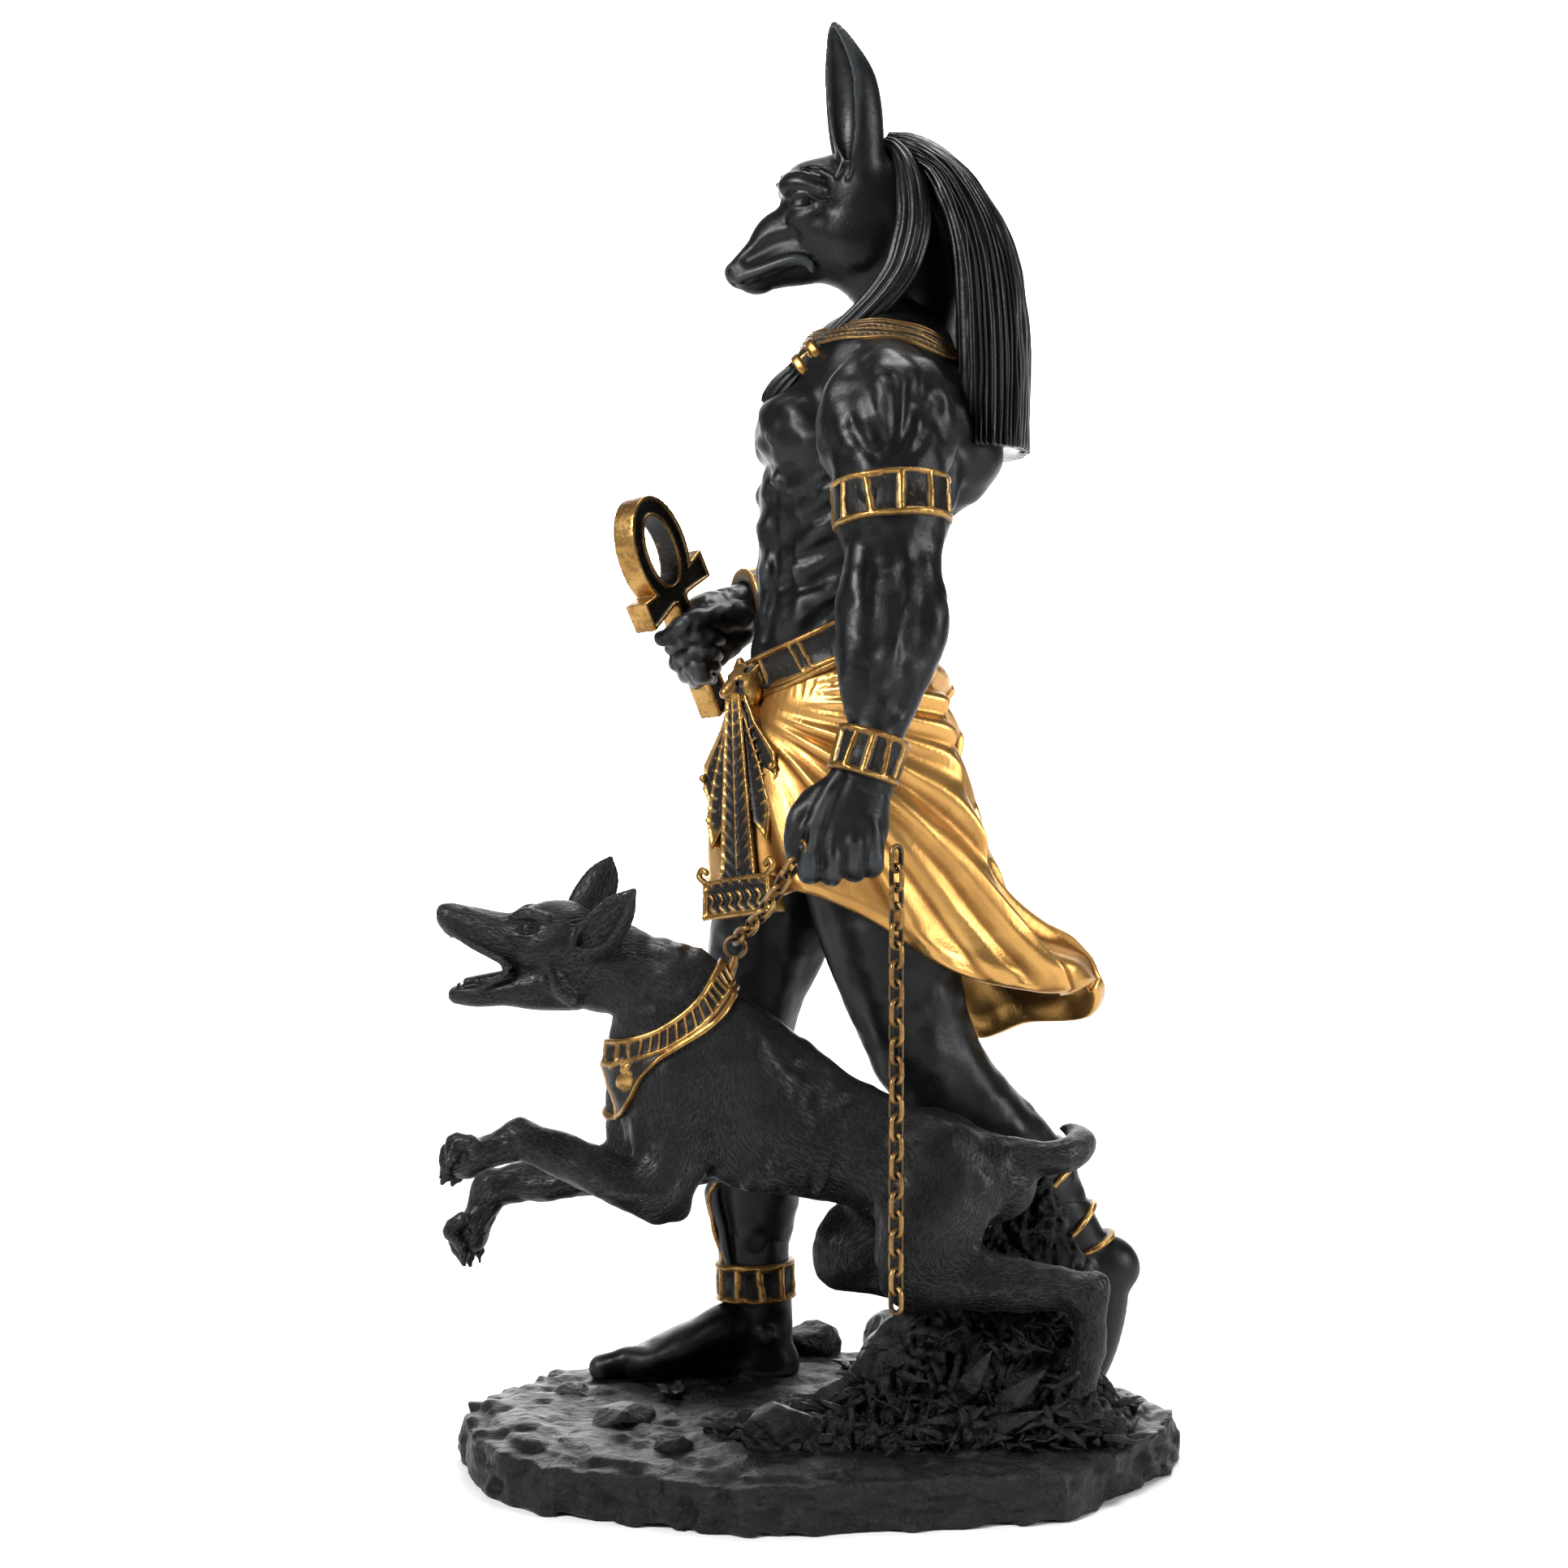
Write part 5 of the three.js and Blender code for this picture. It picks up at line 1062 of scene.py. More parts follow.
def kilt_grids():
    """The outer and the inner face of the kilt as grids, and how proud each point of the outer face is."""
    columns, rows = 700, 84
    around = np.arange(columns) / columns * len(KILT)
    table = curve_at(np.array(KILT), around, closed=True)
    v = np.linspace(0, 1, rows) ** 0.95
    grid = np.stack([curve_at(column, v * 4) for column in table], 1)
    turn = np.minimum(around, len(KILT) - around) / (len(KILT) / 2)
    near = np.where(around < len(KILT) / 2, 1.0, 0.0)
    reach = 66 * turn[None]
    drop = 62 * v[:, None]
    ray = np.arctan2(drop + 1.5, reach + 0.5) / (np.pi / 2)
    away = np.hypot(reach, drop)
    wave = noise_over(21, ray * 4, away / 34, near * 7)
    phase = np.clip(ray + 0.02 * wave, 0, 1)
    strong = soft_step(away, 0, 40)
    close = soft_step(away, 3, 14) * (1 - soft_step(away, 30, 62))
    fade = 0.6 + 0.4 * noise_over(33, ray * 6, away / 26, near * 5)
    deep = 3.1 * strong * (pleats(phase**0.9, 5, 12, 0.74) - 0.5)
    deep = deep + 1.15 * fade * soft_step(away, 4, 24) * (pleats(phase, 3, 33, 0.6) - 0.4)
    deep = deep + 0.7 * fade * close * (pleats(phase, 9, 44, 0.55) - 0.4)
    hang, crinkle = noise_over(8, ray * 3.2, away / 26, near * 3), noise_over(18, ray * 11, away / 18, near * 3)
    deep = deep + 1.2 * strong * hang + 0.3 * soft_step(away, 4, 16) * crinkle
    # His left front layer ends in a long sharp ridge that runs down into the tail
    edge = 5.1 + 0.75 * v[:, None] ** 1.5
    on_edge = soft_step(around[None], edge - 1.3, edge)
    past = soft_step(around[None], edge + 0.02, edge + 0.2)
    trough = 0.5 * past * (1 - soft_step(around[None], edge + 0.4, edge + 2))
    deep = deep + 2.2 * soft_step(v, 0.1, 0.4)[:, None] * (on_edge * (1 - past) - trough)
    deep = smoothed(deep, 3)
    deep = deep * (1 - 0.7 * np.exp(-((turn[None] / 0.2) ** 2)))
    # The hem rolls outwards, most of all round the tail
    tail = soft_step(around[None], 5, 6.4) * (1 - soft_step(around[None], 9.6, 11))
    bulge = lambda at, width: np.exp(-(((v[:, None] - at) / width) ** 2))
    deep = deep + (bulge(0.965, 0.02) * 0.5 + bulge(0.95, 0.05) * 2.8 * tail)
    out = outward(grid)
    outer = grid + out * deep[..., None]
    lip = 1.6 * tail * soft_step(v, 0.86, 0.98)[:, None]
    inner = grid + out * (0.75 * deep - CLOTH_THICK - 1.0 * strong - lip)[..., None]
    # The cloth keeps clear of the leading thigh
    short = np.clip(1.5 - front_leg().depth_at(outer.reshape(-1, 3)).reshape(outer.shape[:2]), 0, 9)
    short = np.maximum.reduce([np.roll(short, k, 1) for k in range(-9, 10, 3)])
    short = smoothed(short, 30, reach=2)
    outer, inner = outer + out * short[..., None], inner + out * short[..., None]
    soft = deep
    for _ in range(6):
        soft = (soft + np.roll(soft, 3, 1) + np.roll(soft, -3, 1)) / 3
    proud = 1.3 * (deep - soft)
    return outer, inner, proud


def kilt_piece(material):
    """The kilt as one closed cloth, with an outer and an inner face."""
    outer, inner, proud = kilt_grids()
    lip = (outer[-1] + inner[-1]) / 2
    lip[:, 2] -= 0.45
    inside = inner[::-1][::3]
    grid = np.concatenate([outer, lip[None], inside])
    # Painted shade over the inside of the cloth: its rows are marked sunk, so they take the fold shade colour; the
    # hem's edge row is marked a little proud, which paints a highlight there
    shade = -0.6 * soft_step(np.arange(len(inside)), 2, 5)[:, None]
    marks = np.concatenate([proud, proud[-1:] * 0 + 0.2, shade + 0 * proud[::3][: len(inside)]])
    rows, columns = grid.shape[:2]
    faces = grid_faces(rows, columns, round_rows=True)
    flat = grid.reshape(-1, 3)
    a, b, c = (flat[faces[:, k]] - flat.mean(0) for k in range(3))
    if (a * np.cross(b, c)).sum() < 0:
        faces = faces[:, ::-1]
    return new_piece("kilt", flat, faces, "gold_paint", material, 0.46, proud=marks.reshape(-1))


# Flat castings drawn as outlines


def cutout(outline, origin, across, up, out, top, depth):
    """A flat form with a drawn outline (across, up), whose face stands at `top` along `out`."""
    origin, axes = np.array(origin, float), [np.array(axis, float) for axis in (across, up, out)]
    ring = np.array(outline, float)
    corners = np.array([origin + x * axes[0] + y * axes[1] + h * axes[2]
                        for x, y in ring for h in (top, top - depth)])

    def distance(x, y, z):
        away = (x - origin[0], y - origin[1], z - origin[2])
        u, v, w = (sum(axis[k] * away[k] for k in range(3)) for axis in axes)
        best, inside = np.inf, False
        for (x0, y0), (x1, y1) in zip(ring, np.roll(ring, -1, 0)):
            dx, dy = x1 - x0, y1 - y0
            t = np.clip(((u - x0) * dx + (v - y0) * dy) / (dx * dx + dy * dy), 0, 1)
            best = np.minimum(best, (u - x0 - t * dx) ** 2 + (v - y0 - t * dy) ** 2)
            crosses = (y0 > v) != (y1 > v)
            inside = inside ^ (crosses & (u < x0 + dx * (v - y0) / (dy if dy else 1e-9)))
        flat = np.sqrt(best) * np.where(inside, -1, 1)
        slab = np.abs(w - top + depth / 2) - depth / 2
        both = np.minimum(np.maximum(flat, slab), 0)
        return both + np.hypot(np.maximum(flat, 0), np.maximum(slab, 0))

    return [(corners.min(0), corners.max(0), distance)]


def oval_outline(middle, radii, count=40):
    """Points round an oval, from its lowest."""
    (u, v), (a, b) = middle, radii
    return [(u + a * math.cos(t), v + b * math.sin(t)) for t in evenly(count, -math.pi / 2)]


def ankh_bar(trim=0.0):
    """The outline of the bar (across, up), drawn in by a trim."""
    return [(-1.6, 2 - trim), (-6, 2.6 - trim), (-13 + trim, 3.3 - trim), (-13 + trim, -3.3 + trim),
            (-2.2, -2.2 + trim), (2.2, -2.2 + trim), (13 - trim, -3.3 + trim), (13 - trim, 3.3 - trim),
            (6, 2.6 - trim), (1.6, 2 - trim)]


def ankh_shaft(trim=0.0):
    """The outline of the ankh's shaft, drawn in by a trim."""
    return [(-2.2 + trim, 0), (-3.3 + trim, -30 + trim), (3.3 - trim, -30 + trim), (2.2 - trim, 0)]


def ankh_ring(across, up):
    """An oval about the middle of the ankh's loop."""
    return oval_outline((0, 9.5), (across, up))


def ankh():
    """A loop, a bar with flaring ends and a flaring shaft, all with raised rims."""
    clay = Clay((-48, 6, 149), (-16, 42, 205), 0.32)
    half = ANKH_THICK / 2
    lay = lambda outline, top, depth: cutout(outline, ANKH_CROSSING, *ANKH_AXES, top, depth)
    clay.add(lay(ankh_bar(), half, 2 * half), 0.2)
    clay.add(lay(ankh_shaft(), half, 2 * half), 0.2)
    clay.add(lay(ankh_ring(9.5, 12.5), half, 2 * half), 0.2)
    clay.cut(lay(ankh_ring(5, 8), half + 1, 2 * half + 2), 0.2)
    floor = 1.7
    for top in (half + 1, 1 - half):
        recess = Clay(clay.low, clay.low + (clay.size - 1) * clay.grain, clay.grain)
        recess.add(lay(ankh_ring(8.7, 11.7), top, floor), 0.1)
        recess.cut(lay(ankh_ring(5.8, 8.8), top + 1, floor + 2), 0.1)
        recess.add(lay(ankh_bar(0.8), top, floor), 0.1)
        recess.add(lay(ankh_shaft(0.8), top, floor), 0.1)
        clay.field = np.maximum(clay.field, -recess.field[tuple(slice(n) for n in clay.field.shape)])
    return clay


def ankh_gilding(points):
    """Gold on the ankh's outer sides and rims; the sunk face and the inside of the loop stay dark."""
    flat = lambda outline: cutout(outline, ANKH_CROSSING, *ANKH_AXES, 40, 80)[0][2](*points.T)
    whole = np.minimum(flat(ankh_bar()), flat(ankh_shaft()))
    whole = np.minimum(whole, flat(ankh_ring(9.5, 12.5)))
    hole = flat(ankh_ring(5, 8))
    top = np.abs((points - ANKH_CROSSING) @ ANKH_OUT) - ANKH_THICK / 2
    gold = np.maximum(soft_step(whole, -0.6, -0.2), soft_step(top, -0.5, -0.15))
    return gold * np.where(hole < 0.3, soft_step(top, -0.6, -0.1), 1)


# Apron and buckle

APRON_TOP = np.array([-17.0, 5.7, 158.0])
APRON_UP = unit(np.array([-0.03, 0.2, 0.98]))
APRON_ACROSS = np.array([0.74, -0.67, 0])
APRON_ACROSS = unit(APRON_ACROSS - (APRON_ACROSS @ APRON_UP) * APRON_UP)
APRON_OUT = np.cross(APRON_ACROSS, APRON_UP)


def apron_point(across, up, out=0.0):
    """A point given across and up the apron, and out from its face."""
    return APRON_TOP + across * APRON_ACROSS + up * APRON_UP + out * APRON_OUT


def apron():
    """A panel of feathers between lappets, weighted by a plate of upright cobras."""
    clay = Clay((-32, -12, 108), (0, 24, 163), 0.3)
    lay = lambda outline, top, depth=5: cutout(outline, APRON_TOP, APRON_ACROSS, APRON_UP, APRON_OUT, top, depth)

    def line(points, r, melt=0.25):
        clay.add(limb([(*apron_point(*p), r) for p in points], 0.8), melt)

    def edged(outline, top, r=0.34, melt=0.2):
        clay.add(lay(outline, top), melt)
        for (x0, y0), (x1, y1) in zip(outline, outline[1:] + outline[:1]):
            line([(x0, y0, top), ((x0 + x1) / 2, (y0 + y1) / 2, top), (x1, y1, top)], r)

    clay.add(lay([(-2, 0), (-6.4, -16), (-6, -34), (-4.6, -39), (4.6, -39), (6, -34), (6.4, -16), (2, 0)], -1.3, 4),
             0.3)
    # Outer and inner lappets, with slanting bars
    for side in (-1, 1):
        edged([(side * 2.2, 0), (side * 4.6, -6), (side * 9.6, -13), (side * 10.2, -18), (side * 7.4, -24),
               (side * 6, -20), (side * 3.2, -10)], -0.3)
        edged([(side * 1.4, -1), (side * 3.6, -8), (side * 6.4, -16), (side * 8.8, -25), (side * 7.8, -31),
               (side * 4.6, -27), (side * 2.6, -14)], 0.4)
        for k in range(8):
            y = -7.5 - 2.6 * k
            x = side * (2.2 + 0.23 * (k * 2.6 + 5))
            line([(x - side * 0.4, y - 0.5, 0.5), (x + side * 1.7, y + 0.7, 0.5)], 0.24)
        clay.add(ball(apron_point(side * 9.8, -16, 0.4), (0.9, 0.9, 0.9)), 0.3)
    # Centre panel: a spine with feather chevrons that point down
    edged([(1.7, 0), (4.8, -40), (-4.8, -40), (-1.7, 0)], 1.2, 0.38)
    line([(0, 0, 1.3), (0, -20, 1.3), (0, -39.6, 1.3)], 0.36)
    for k in range(14):
        y = -3 - 2.7 * k
        half = 1.5 + 3.1 * (-y / 40)
        line([(-half, y + 0.55 * half, 1.2), (0, y - 0.3 * half, 1.3), (half, y + 0.55 * half, 1.2)], 0.25, 0.15)
        for side in (-1, 1):
            line([(side * 0.3, y - 1.3, 1.15), (side * 0.8 * half, y - 0.9 + 0.4 * half, 1.1)], 0.17, 0.15)
    # Bottom plate: scrolled corners and a framed row of cobras
    edged([(-8.6, -38.6), (-9.2, -46), (9.2, -46), (8.6, -38.6)], 1.8, 0.48)
    line([(-9, -38.4, 1.7), (-10.4, -37, 1.7), (-9.6, -35.6, 1.7), (-8.4, -36.4, 1.7)], 0.7)
    line([(9, -38.4, 1.7), (10.4, -37, 1.7), (9.6, -35.6, 1.7), (8.4, -36.4, 1.7)], 0.7)
    line([(-8.6, -40.2, 1.8), (8.6, -40.2, 1.8)], 0.3)
    for k in range(6):
        x = -6.6 + 2.64 * k
        line([(x + 0.6, -45, 1.8), (x - 0.5, -44, 1.9), (x + 0.5, -42.8, 2), (x - 0.1, -41.6, 2.2),
              (x - 0.7, -41.3, 2.1)], 0.42, 0.2)
        clay.add(ball(apron_point(x, -39.4, 1.9), (0.45, 0.45, 0.45)), 0.15)
    return clay


def buckle():
    """The mask of a snarling jackal, seen three-quarters on, that closes the belt."""
    clay = Clay((-26, 0, 148), (-8, 20, 174), 0.3)
    way = unit(np.array([-0.8, -0.6, 0.0]))
    side = np.array([0.6, -0.8, 0.0])
    up = np.array([0.0, 0.0, 1.0])
    base = np.array([-15.2, 8.4, 160.0])
    at = lambda a, h, o: tuple(base + a * side + h * up + o * way)
    turn = (0, 0, math.degrees(math.atan2(0.6, 0.8)))
    clay.add(ball(at(0, 0, 0), (3.4, 4.6, 5.2), turn), 0.5)
    clay.add(limb(placed(at, (0, 1.6, 1, 2.4), (0, 0, 3.4, 1.9), (0, -1.2, 5, 1.4)), 0.8), 0.8)
    clay.add(ball(at(0, -0.9, 5.4), (0.8, 1.1, 0.8), turn), 0.2)
    clay.add(limb(placed(at, (0, -3, 1, 2), (0, -4.6, 3, 1.5), (0, -5.2, 4, 1.1)), 0.8), 0.4)
    clay.cut(limb(placed(at, (0, -2.6, 2, 0.5), (0, -2.8, 4, 0.8), (0, -3, 6.4, 0.9)), 0.8), 0.3)
    for s in (-1, 1):
        clay.add(limb(placed(at, (s * 2.2, 3, 0, 1.4), (s * 3.2, 4.8, -0.8, 1.3), (s * 4.4, 5.8, -2, 0.8)), 0.8),
                 0.5)
        clay.cut(limb(placed(at, (s * 2.4, 3.6, 1.4, 0.5), (s * 3.4, 4.9, 0.6, 0.7), (s * 4.2, 5.6, -0.6, 0.3)),
                      0.8), 0.2)
        clay.add(limb(placed(at, (s * 0.7, 1.6, 3, 0.5), (s * 2, 2.3, 2.4, 0.7), (s * 3.3, 1.7, 1.2, 0.4)), 0.8),
                 0.3)
        clay.cut(ball(at(s * 1.9, 0.9, 2.9), (0.7, 0.9, 0.6), turn), 0.3)
        clay.add(ball(at(s * 1.9, 0.9, 2.6), (0.5, 0.6, 0.45), turn), 0.1)
        clay.add(limb(placed(at, (s * 0.9, -1, 4.6, 0.4), (s * 2.2, -1.8, 3, 0.7), (s * 3.2, -3.4, 1.2, 0.8)), 0.8),
                 0.3)
        for out, fall in ((4.4, 1.1), (3.4, 0.8)):
            clay.add(limb(placed(at, (s * 0.9, -2, out, 0.34), (s * 0.9, -2 - fall, out, 0.1)), 0.5), 0.1)
    return clay


# The jackal

# Paths (x, y, z) that the coat follows, from the nose and the shoulders to the toes and the tail
COAT_LINES = [
    [(-76, -18, 114), (-62, -18, 110), (-50, -18, 108), (-42, -18, 102), (-32, -18, 94), (-22, -18, 84),
     (-8, -18, 76), (8, -18, 68), (24, -18, 62), (40, -18, 60), (56, -14, 66)],
    [(-74, -18, 98), (-62, -18, 98), (-50, -18, 99), (-42, -18, 92), (-34, -18, 76), (-22, -18, 62), (-6, -18, 58)],
    [(-24, -26, 84), (-28, -27, 68), (-32, -28, 58), (-46, -28, 63), (-59, -28, 69), (-68, -28, 67),
     (-78, -28, 62)],
    [(-30, -10, 80), (-36, -9, 68), (-41, -8, 60), (-54, -8, 58), (-67, -8, 56), (-71, -8, 48), (-75, -8, 40)],
    [(34, -24, 64), (24, -25, 52), (14, -26, 42), (34, -26, 41), (55, -26, 40), (53, -26, 26), (50, -26, 14),
     (42, -26, 11)],
    [(34, -12, 62), (18, -12, 50), (2, -12, 42), (26, -12, 39), (49, -12, 35), (47, -12, 24), (45, -12, 14),
     (37, -12, 11)],
    [(-46, -24, 108), (-37, -30, 119)], [(-48, -13, 112), (-42, -10, 125)],
]


def coat_way(points):
    """The direction that the coat lies in at each point, from the nearest coat lines."""
    total = np.zeros((len(points), 3))
    for line in COAT_LINES:
        rows = smooth_path([(*p, 1) for p in line], 3)[:, :3]
        way = np.gradient(rows, axis=0)
        way /= np.linalg.norm(way, axis=1, keepdims=True)
        for spot, along in zip(rows, way):
            total += (1 / (((points - spot) ** 2).sum(1) + 4) ** 2)[:, None] * along
    return total / (np.linalg.norm(total, axis=1, keepdims=True) + 1e-9)


# y, then (x, z) of the elbow, the wrist and the toes
FORELEGS = (-28, (-33.4, 57), (-59, 69.6), (-77, 63.2)), (-8, (-40, 60), (-67, 56.4), (-74.6, 41))


@lru_cache(maxsize=None)
def jackal_body():
    """The trunk, the neck, the tail and the legs in one."""
    clay = Clay((-82, -36, 10), (62, 0, 124), 0.62)
    y = JACKAL_Y
    trunk = [
        (39, y, 59, 6, 5), (32, y, 60, 9.8, 7.4), (20, y, 61.6, 12, 9.4), (9, y, 66.4, 12.2, 8.4),
        (-1, y, 70, 13.8, 8.6), (-11, y, 75, 16.2, 9.8), (-21, y, 80, 18, 10.8), (-27.6, y, 84.8, 15.6, 10.4),
        (-29.4, y, 96.8, 12, 9.2), (-36.4, y, 101.2, 9, 7.6), (-44, y, 104.4, 9, 7), (-51, y, 107.6, 8.6, 6.8),
    ]
    clay.add(limb(trunk), 1)
    clay.add(ball((-27, y, 71), (12.6, 8.4, 12)), 4)
    for s in (-1, 1):
        clay.lumps(
            ((-17, y + s * 5.6, 86), (8.6, 5.6, 17), 3, (0, -34, 0)),
            ((-30, y + s * 6.4, 80), (6, 4.4, 13), 2.4, (0, 16, 0)),
            ((-12, y + s * 7, 71), (12, 3.8, 12), 3),
            ((24, y + s * 4.4, 67), (10, 5.4, 7), 3, (0, 14, 0)),
        )
        for i in range(5):
            x = -12 + 3.4 * i
            clay.swell((x, y + s * 14, 68 - 0.6 * i), (0, -s, 0), (1.3, 2, 8), 0.5, (0, 16, 0), 2)
    clay.add(limb([(-37, y, 97.6, 3), (-46, y, 98.4, 3), (-54, y, 98.6, 3)]), 3)
    tail = [(30, y, 65.6, 4.6, 4), (38, y, 65.4, 3.8), (46, y + 0.4, 64.8, 3.4), (51, -16, 65.2, 3.3),
            (54, -10.6, 67, 2.9), (52.4, -6.6, 68.4, 2), (50.4, -6, 68.8, 0.9)]
    clay.add(limb(tail), 2)
    for y_leg, elbow, carpus, toe in FORELEGS:
        jackal_foreleg(clay, y_leg, elbow, carpus, toe)
    jackal_hindleg(clay, -25.6, (13, 41), (56, 39))
    jackal_hindleg(clay, -11.6, (0.4, 41.6), (50, 34))
    clay.roughen(5.6, 0.3, 71)
    clay.roughen(2.2, 0.16, 72)
    clay.trim_below(SOLE)
    return clay


def hind_toes(clay, at, r):
    """Four knuckled toes with blunt claws, flat on the rock."""
    clay.add(ball(at + (0.2 * r, 0, 0), (1.5 * r, 1.9 * r, 1.3 * r)), 1)
    for off, reach in ((-1.45, -0.5), (-0.5, 0.25), (0.5, 0.3), (1.45, -0.3)):
        root = at + (0, off * r, 0.3 * r)
        knuckle = root + (-(1.2 + reach) * r, 0, 0.25 * r)
        tip = knuckle + (-1.1 * r, 0, -1.1 * r)
        clay.add(limb([(*root, 0.8 * r), (*knuckle, 0.86 * r), (*tip, 0.62 * r)], 0.8), 0.35)
        clay.add(limb([(*tip, 0.4 * r), (*(tip + (-0.5 * r, 0, -0.5 * r)), 0.24 * r)], 0.6), 0.2)


def forepaws():
    """Both lifted paws: each has four knuckled toes that hang side by side and end in blunt claws."""
    clay = Clay((-81, -36, 37), (-58, 1, 73), 0.36)
    for y, _, (cx, cz), (tx, tz) in FORELEGS:
        ahead = unit(np.array((tx - cx, 0, tz - cz), float))
        spread = unit(np.array((-0.5 * ahead[2], 0.86, 0.5 * ahead[0])))
        down = np.cross(ahead, spread)
        down *= -np.sign(down[2])
        wrist = np.array((cx, y, cz))
        palm = 0.5 * np.array((cx + tx, 2 * y, cz + tz)) + (0, 0, 1)
        clay.add(limb([(*wrist, 3.5, 3.5), (*(0.5 * (wrist + palm)), 3.3, 3.7), (*palm, 3.1, 4.4)]), 1)
        for k, (off, reach) in enumerate(((-3.9, 0.4), (-1.35, 2.2), (1.35, 2.4), (3.9, 0.8))):
            root = palm + off * spread - 0.6 * down
            knuckle = root + (2.6 + reach) * ahead - 1.1 * down
            tip = knuckle + (1.6 + 0.2 * k) * ahead + 3.2 * down
            clay.add(limb([(*root, 1.7), (*knuckle, 1.8), (*tip, 1.35)], 0.8), 0.3)
            clay.add(ball(knuckle - 0.7 * down, (1.3, 1.3, 1.1)), 0.5)
            claw = [(*(tip + 0.4 * ahead + 0.3 * down), 0.8), (*(tip + 1.6 * ahead + 1.5 * down), 0.34)]
            clay.add(limb(claw, 0.6), 0.2)
            groove = [(*(at - 3 * down + 1.2 * spread), 0.5) for at in (root, knuckle)]
            clay.score(groove, down, 0.4, 0.5)
    clay.roughen(3, 0.24, 73)
    clay.roughen(1.5, 0.16, 74)
    return clay


def jackal_foreleg(clay, y, elbow, carpus, toe):
    """A foreleg that reaches ahead, up to its wrist and the root of its paw."""
    (ex, ez), (cx, cz), (tx, tz) = elbow, carpus, toe
    inner = JACKAL_Y + 0.75 * (y - JACKAL_Y)
    clay.add(limb([(ex + 3, inner, ez + 26, 5.4, 4), (ex + 4, inner, ez + 13, 7.8, 5),
                   (ex + 2.4, y, ez + 3, 6, 4.6)]), 3)
    leg = [(ex + 2, y, ez + 1.6, 5.6, 4.4), ((ex + cx) / 2, y, (ez + cz) / 2 + 1.2, 4.7, 3.9),
           (cx, y, cz, 3.7, 3.3), (0.66 * cx + 0.34 * tx, y, 0.66 * cz + 0.34 * tz + 0.3, 3.2, 3.2),
           (0.4 * cx + 0.6 * tx, y, 0.4 * cz + 0.6 * tz, 3.6, 3.8)]
    clay.add(limb(leg), 1.6)
    clay.add(ball((cx - 0.6, y, cz + 0.8), (3.6, 3.6, 4)), 1.4)
    clay.add(limb([(0.7 * cx + 0.3 * tx, y - 2, 0.7 * cz + 0.3 * tz + 2.4, 0.8),
                   (0.4 * cx + 0.6 * tx, y - 2.4, 0.4 * cz + 0.6 * tz + 3, 0.8)]), 1)
    clay.add(limb([(ex + 1, y - 2, ez + 1, 2.4), ((ex + cx) / 2, y - 2.4, (ez + cz) / 2, 2.6),
                   (cx + 2, y - 1.4, cz, 1.4)]), 1.4)
    clay.add(ball((ex + 5.4, y, ez - 1), (2.4, 2.4, 2.4)), 1.6)


def jackal_hindleg(clay, y, knee, hock):
    """A hind leg with its thigh, shank, upright cannon and toes."""
    (kx, kz), (hx, hz) = knee, hock
    inner = JACKAL_Y + 0.7 * (y - JACKAL_Y)
    thigh = [(28, inner, 62, 9.4, 5.4), ((30 + kx) / 2, y, 51.4, 10.8, 6), (kx + 5, y, kz + 2.6, 7, 5),
             (kx + 2.4, y, kz - 0.6, 3.8, 3.2)]
    clay.add(limb(thigh), 3)
    shank = [(kx + 5, y, kz + 0.6, 5.8, 4.6), ((kx + hx) / 2, y, (kz + hz) / 2 + 1, 5.8, 4.2),
             (hx - 5, y, hz, 4.2, 3.4), (hx - 2.4, y, hz - 3, 4.2, 3.4), (hx - 1.8, y, hz - 10, 3.2, 3),
             (hx - 5, y, 17, 3.4, 3.8), (hx - 9, y, 13.6, 3, 4.2)]
    clay.add(limb(shank), 1.6)
    clay.add(ball(((30 + kx) / 2 - 2, y - 3, 52), (6, 3, 9), (0, -40, 0)), 2)
    clay.add(limb([(kx + 14, y - 1, kz + 7, 2.6), (hx - 10, y - 0.6, hz + 2, 2), (hx - 1, y, hz + 1.6, 2)]), 1.6)
    clay.add(ball((hx - 0.6, y, hz + 1), (2.6, 2.4, 3)), 1.4)
    hind_toes(clay, np.array((hx - 10.6, y, 13.2)), 2.1)


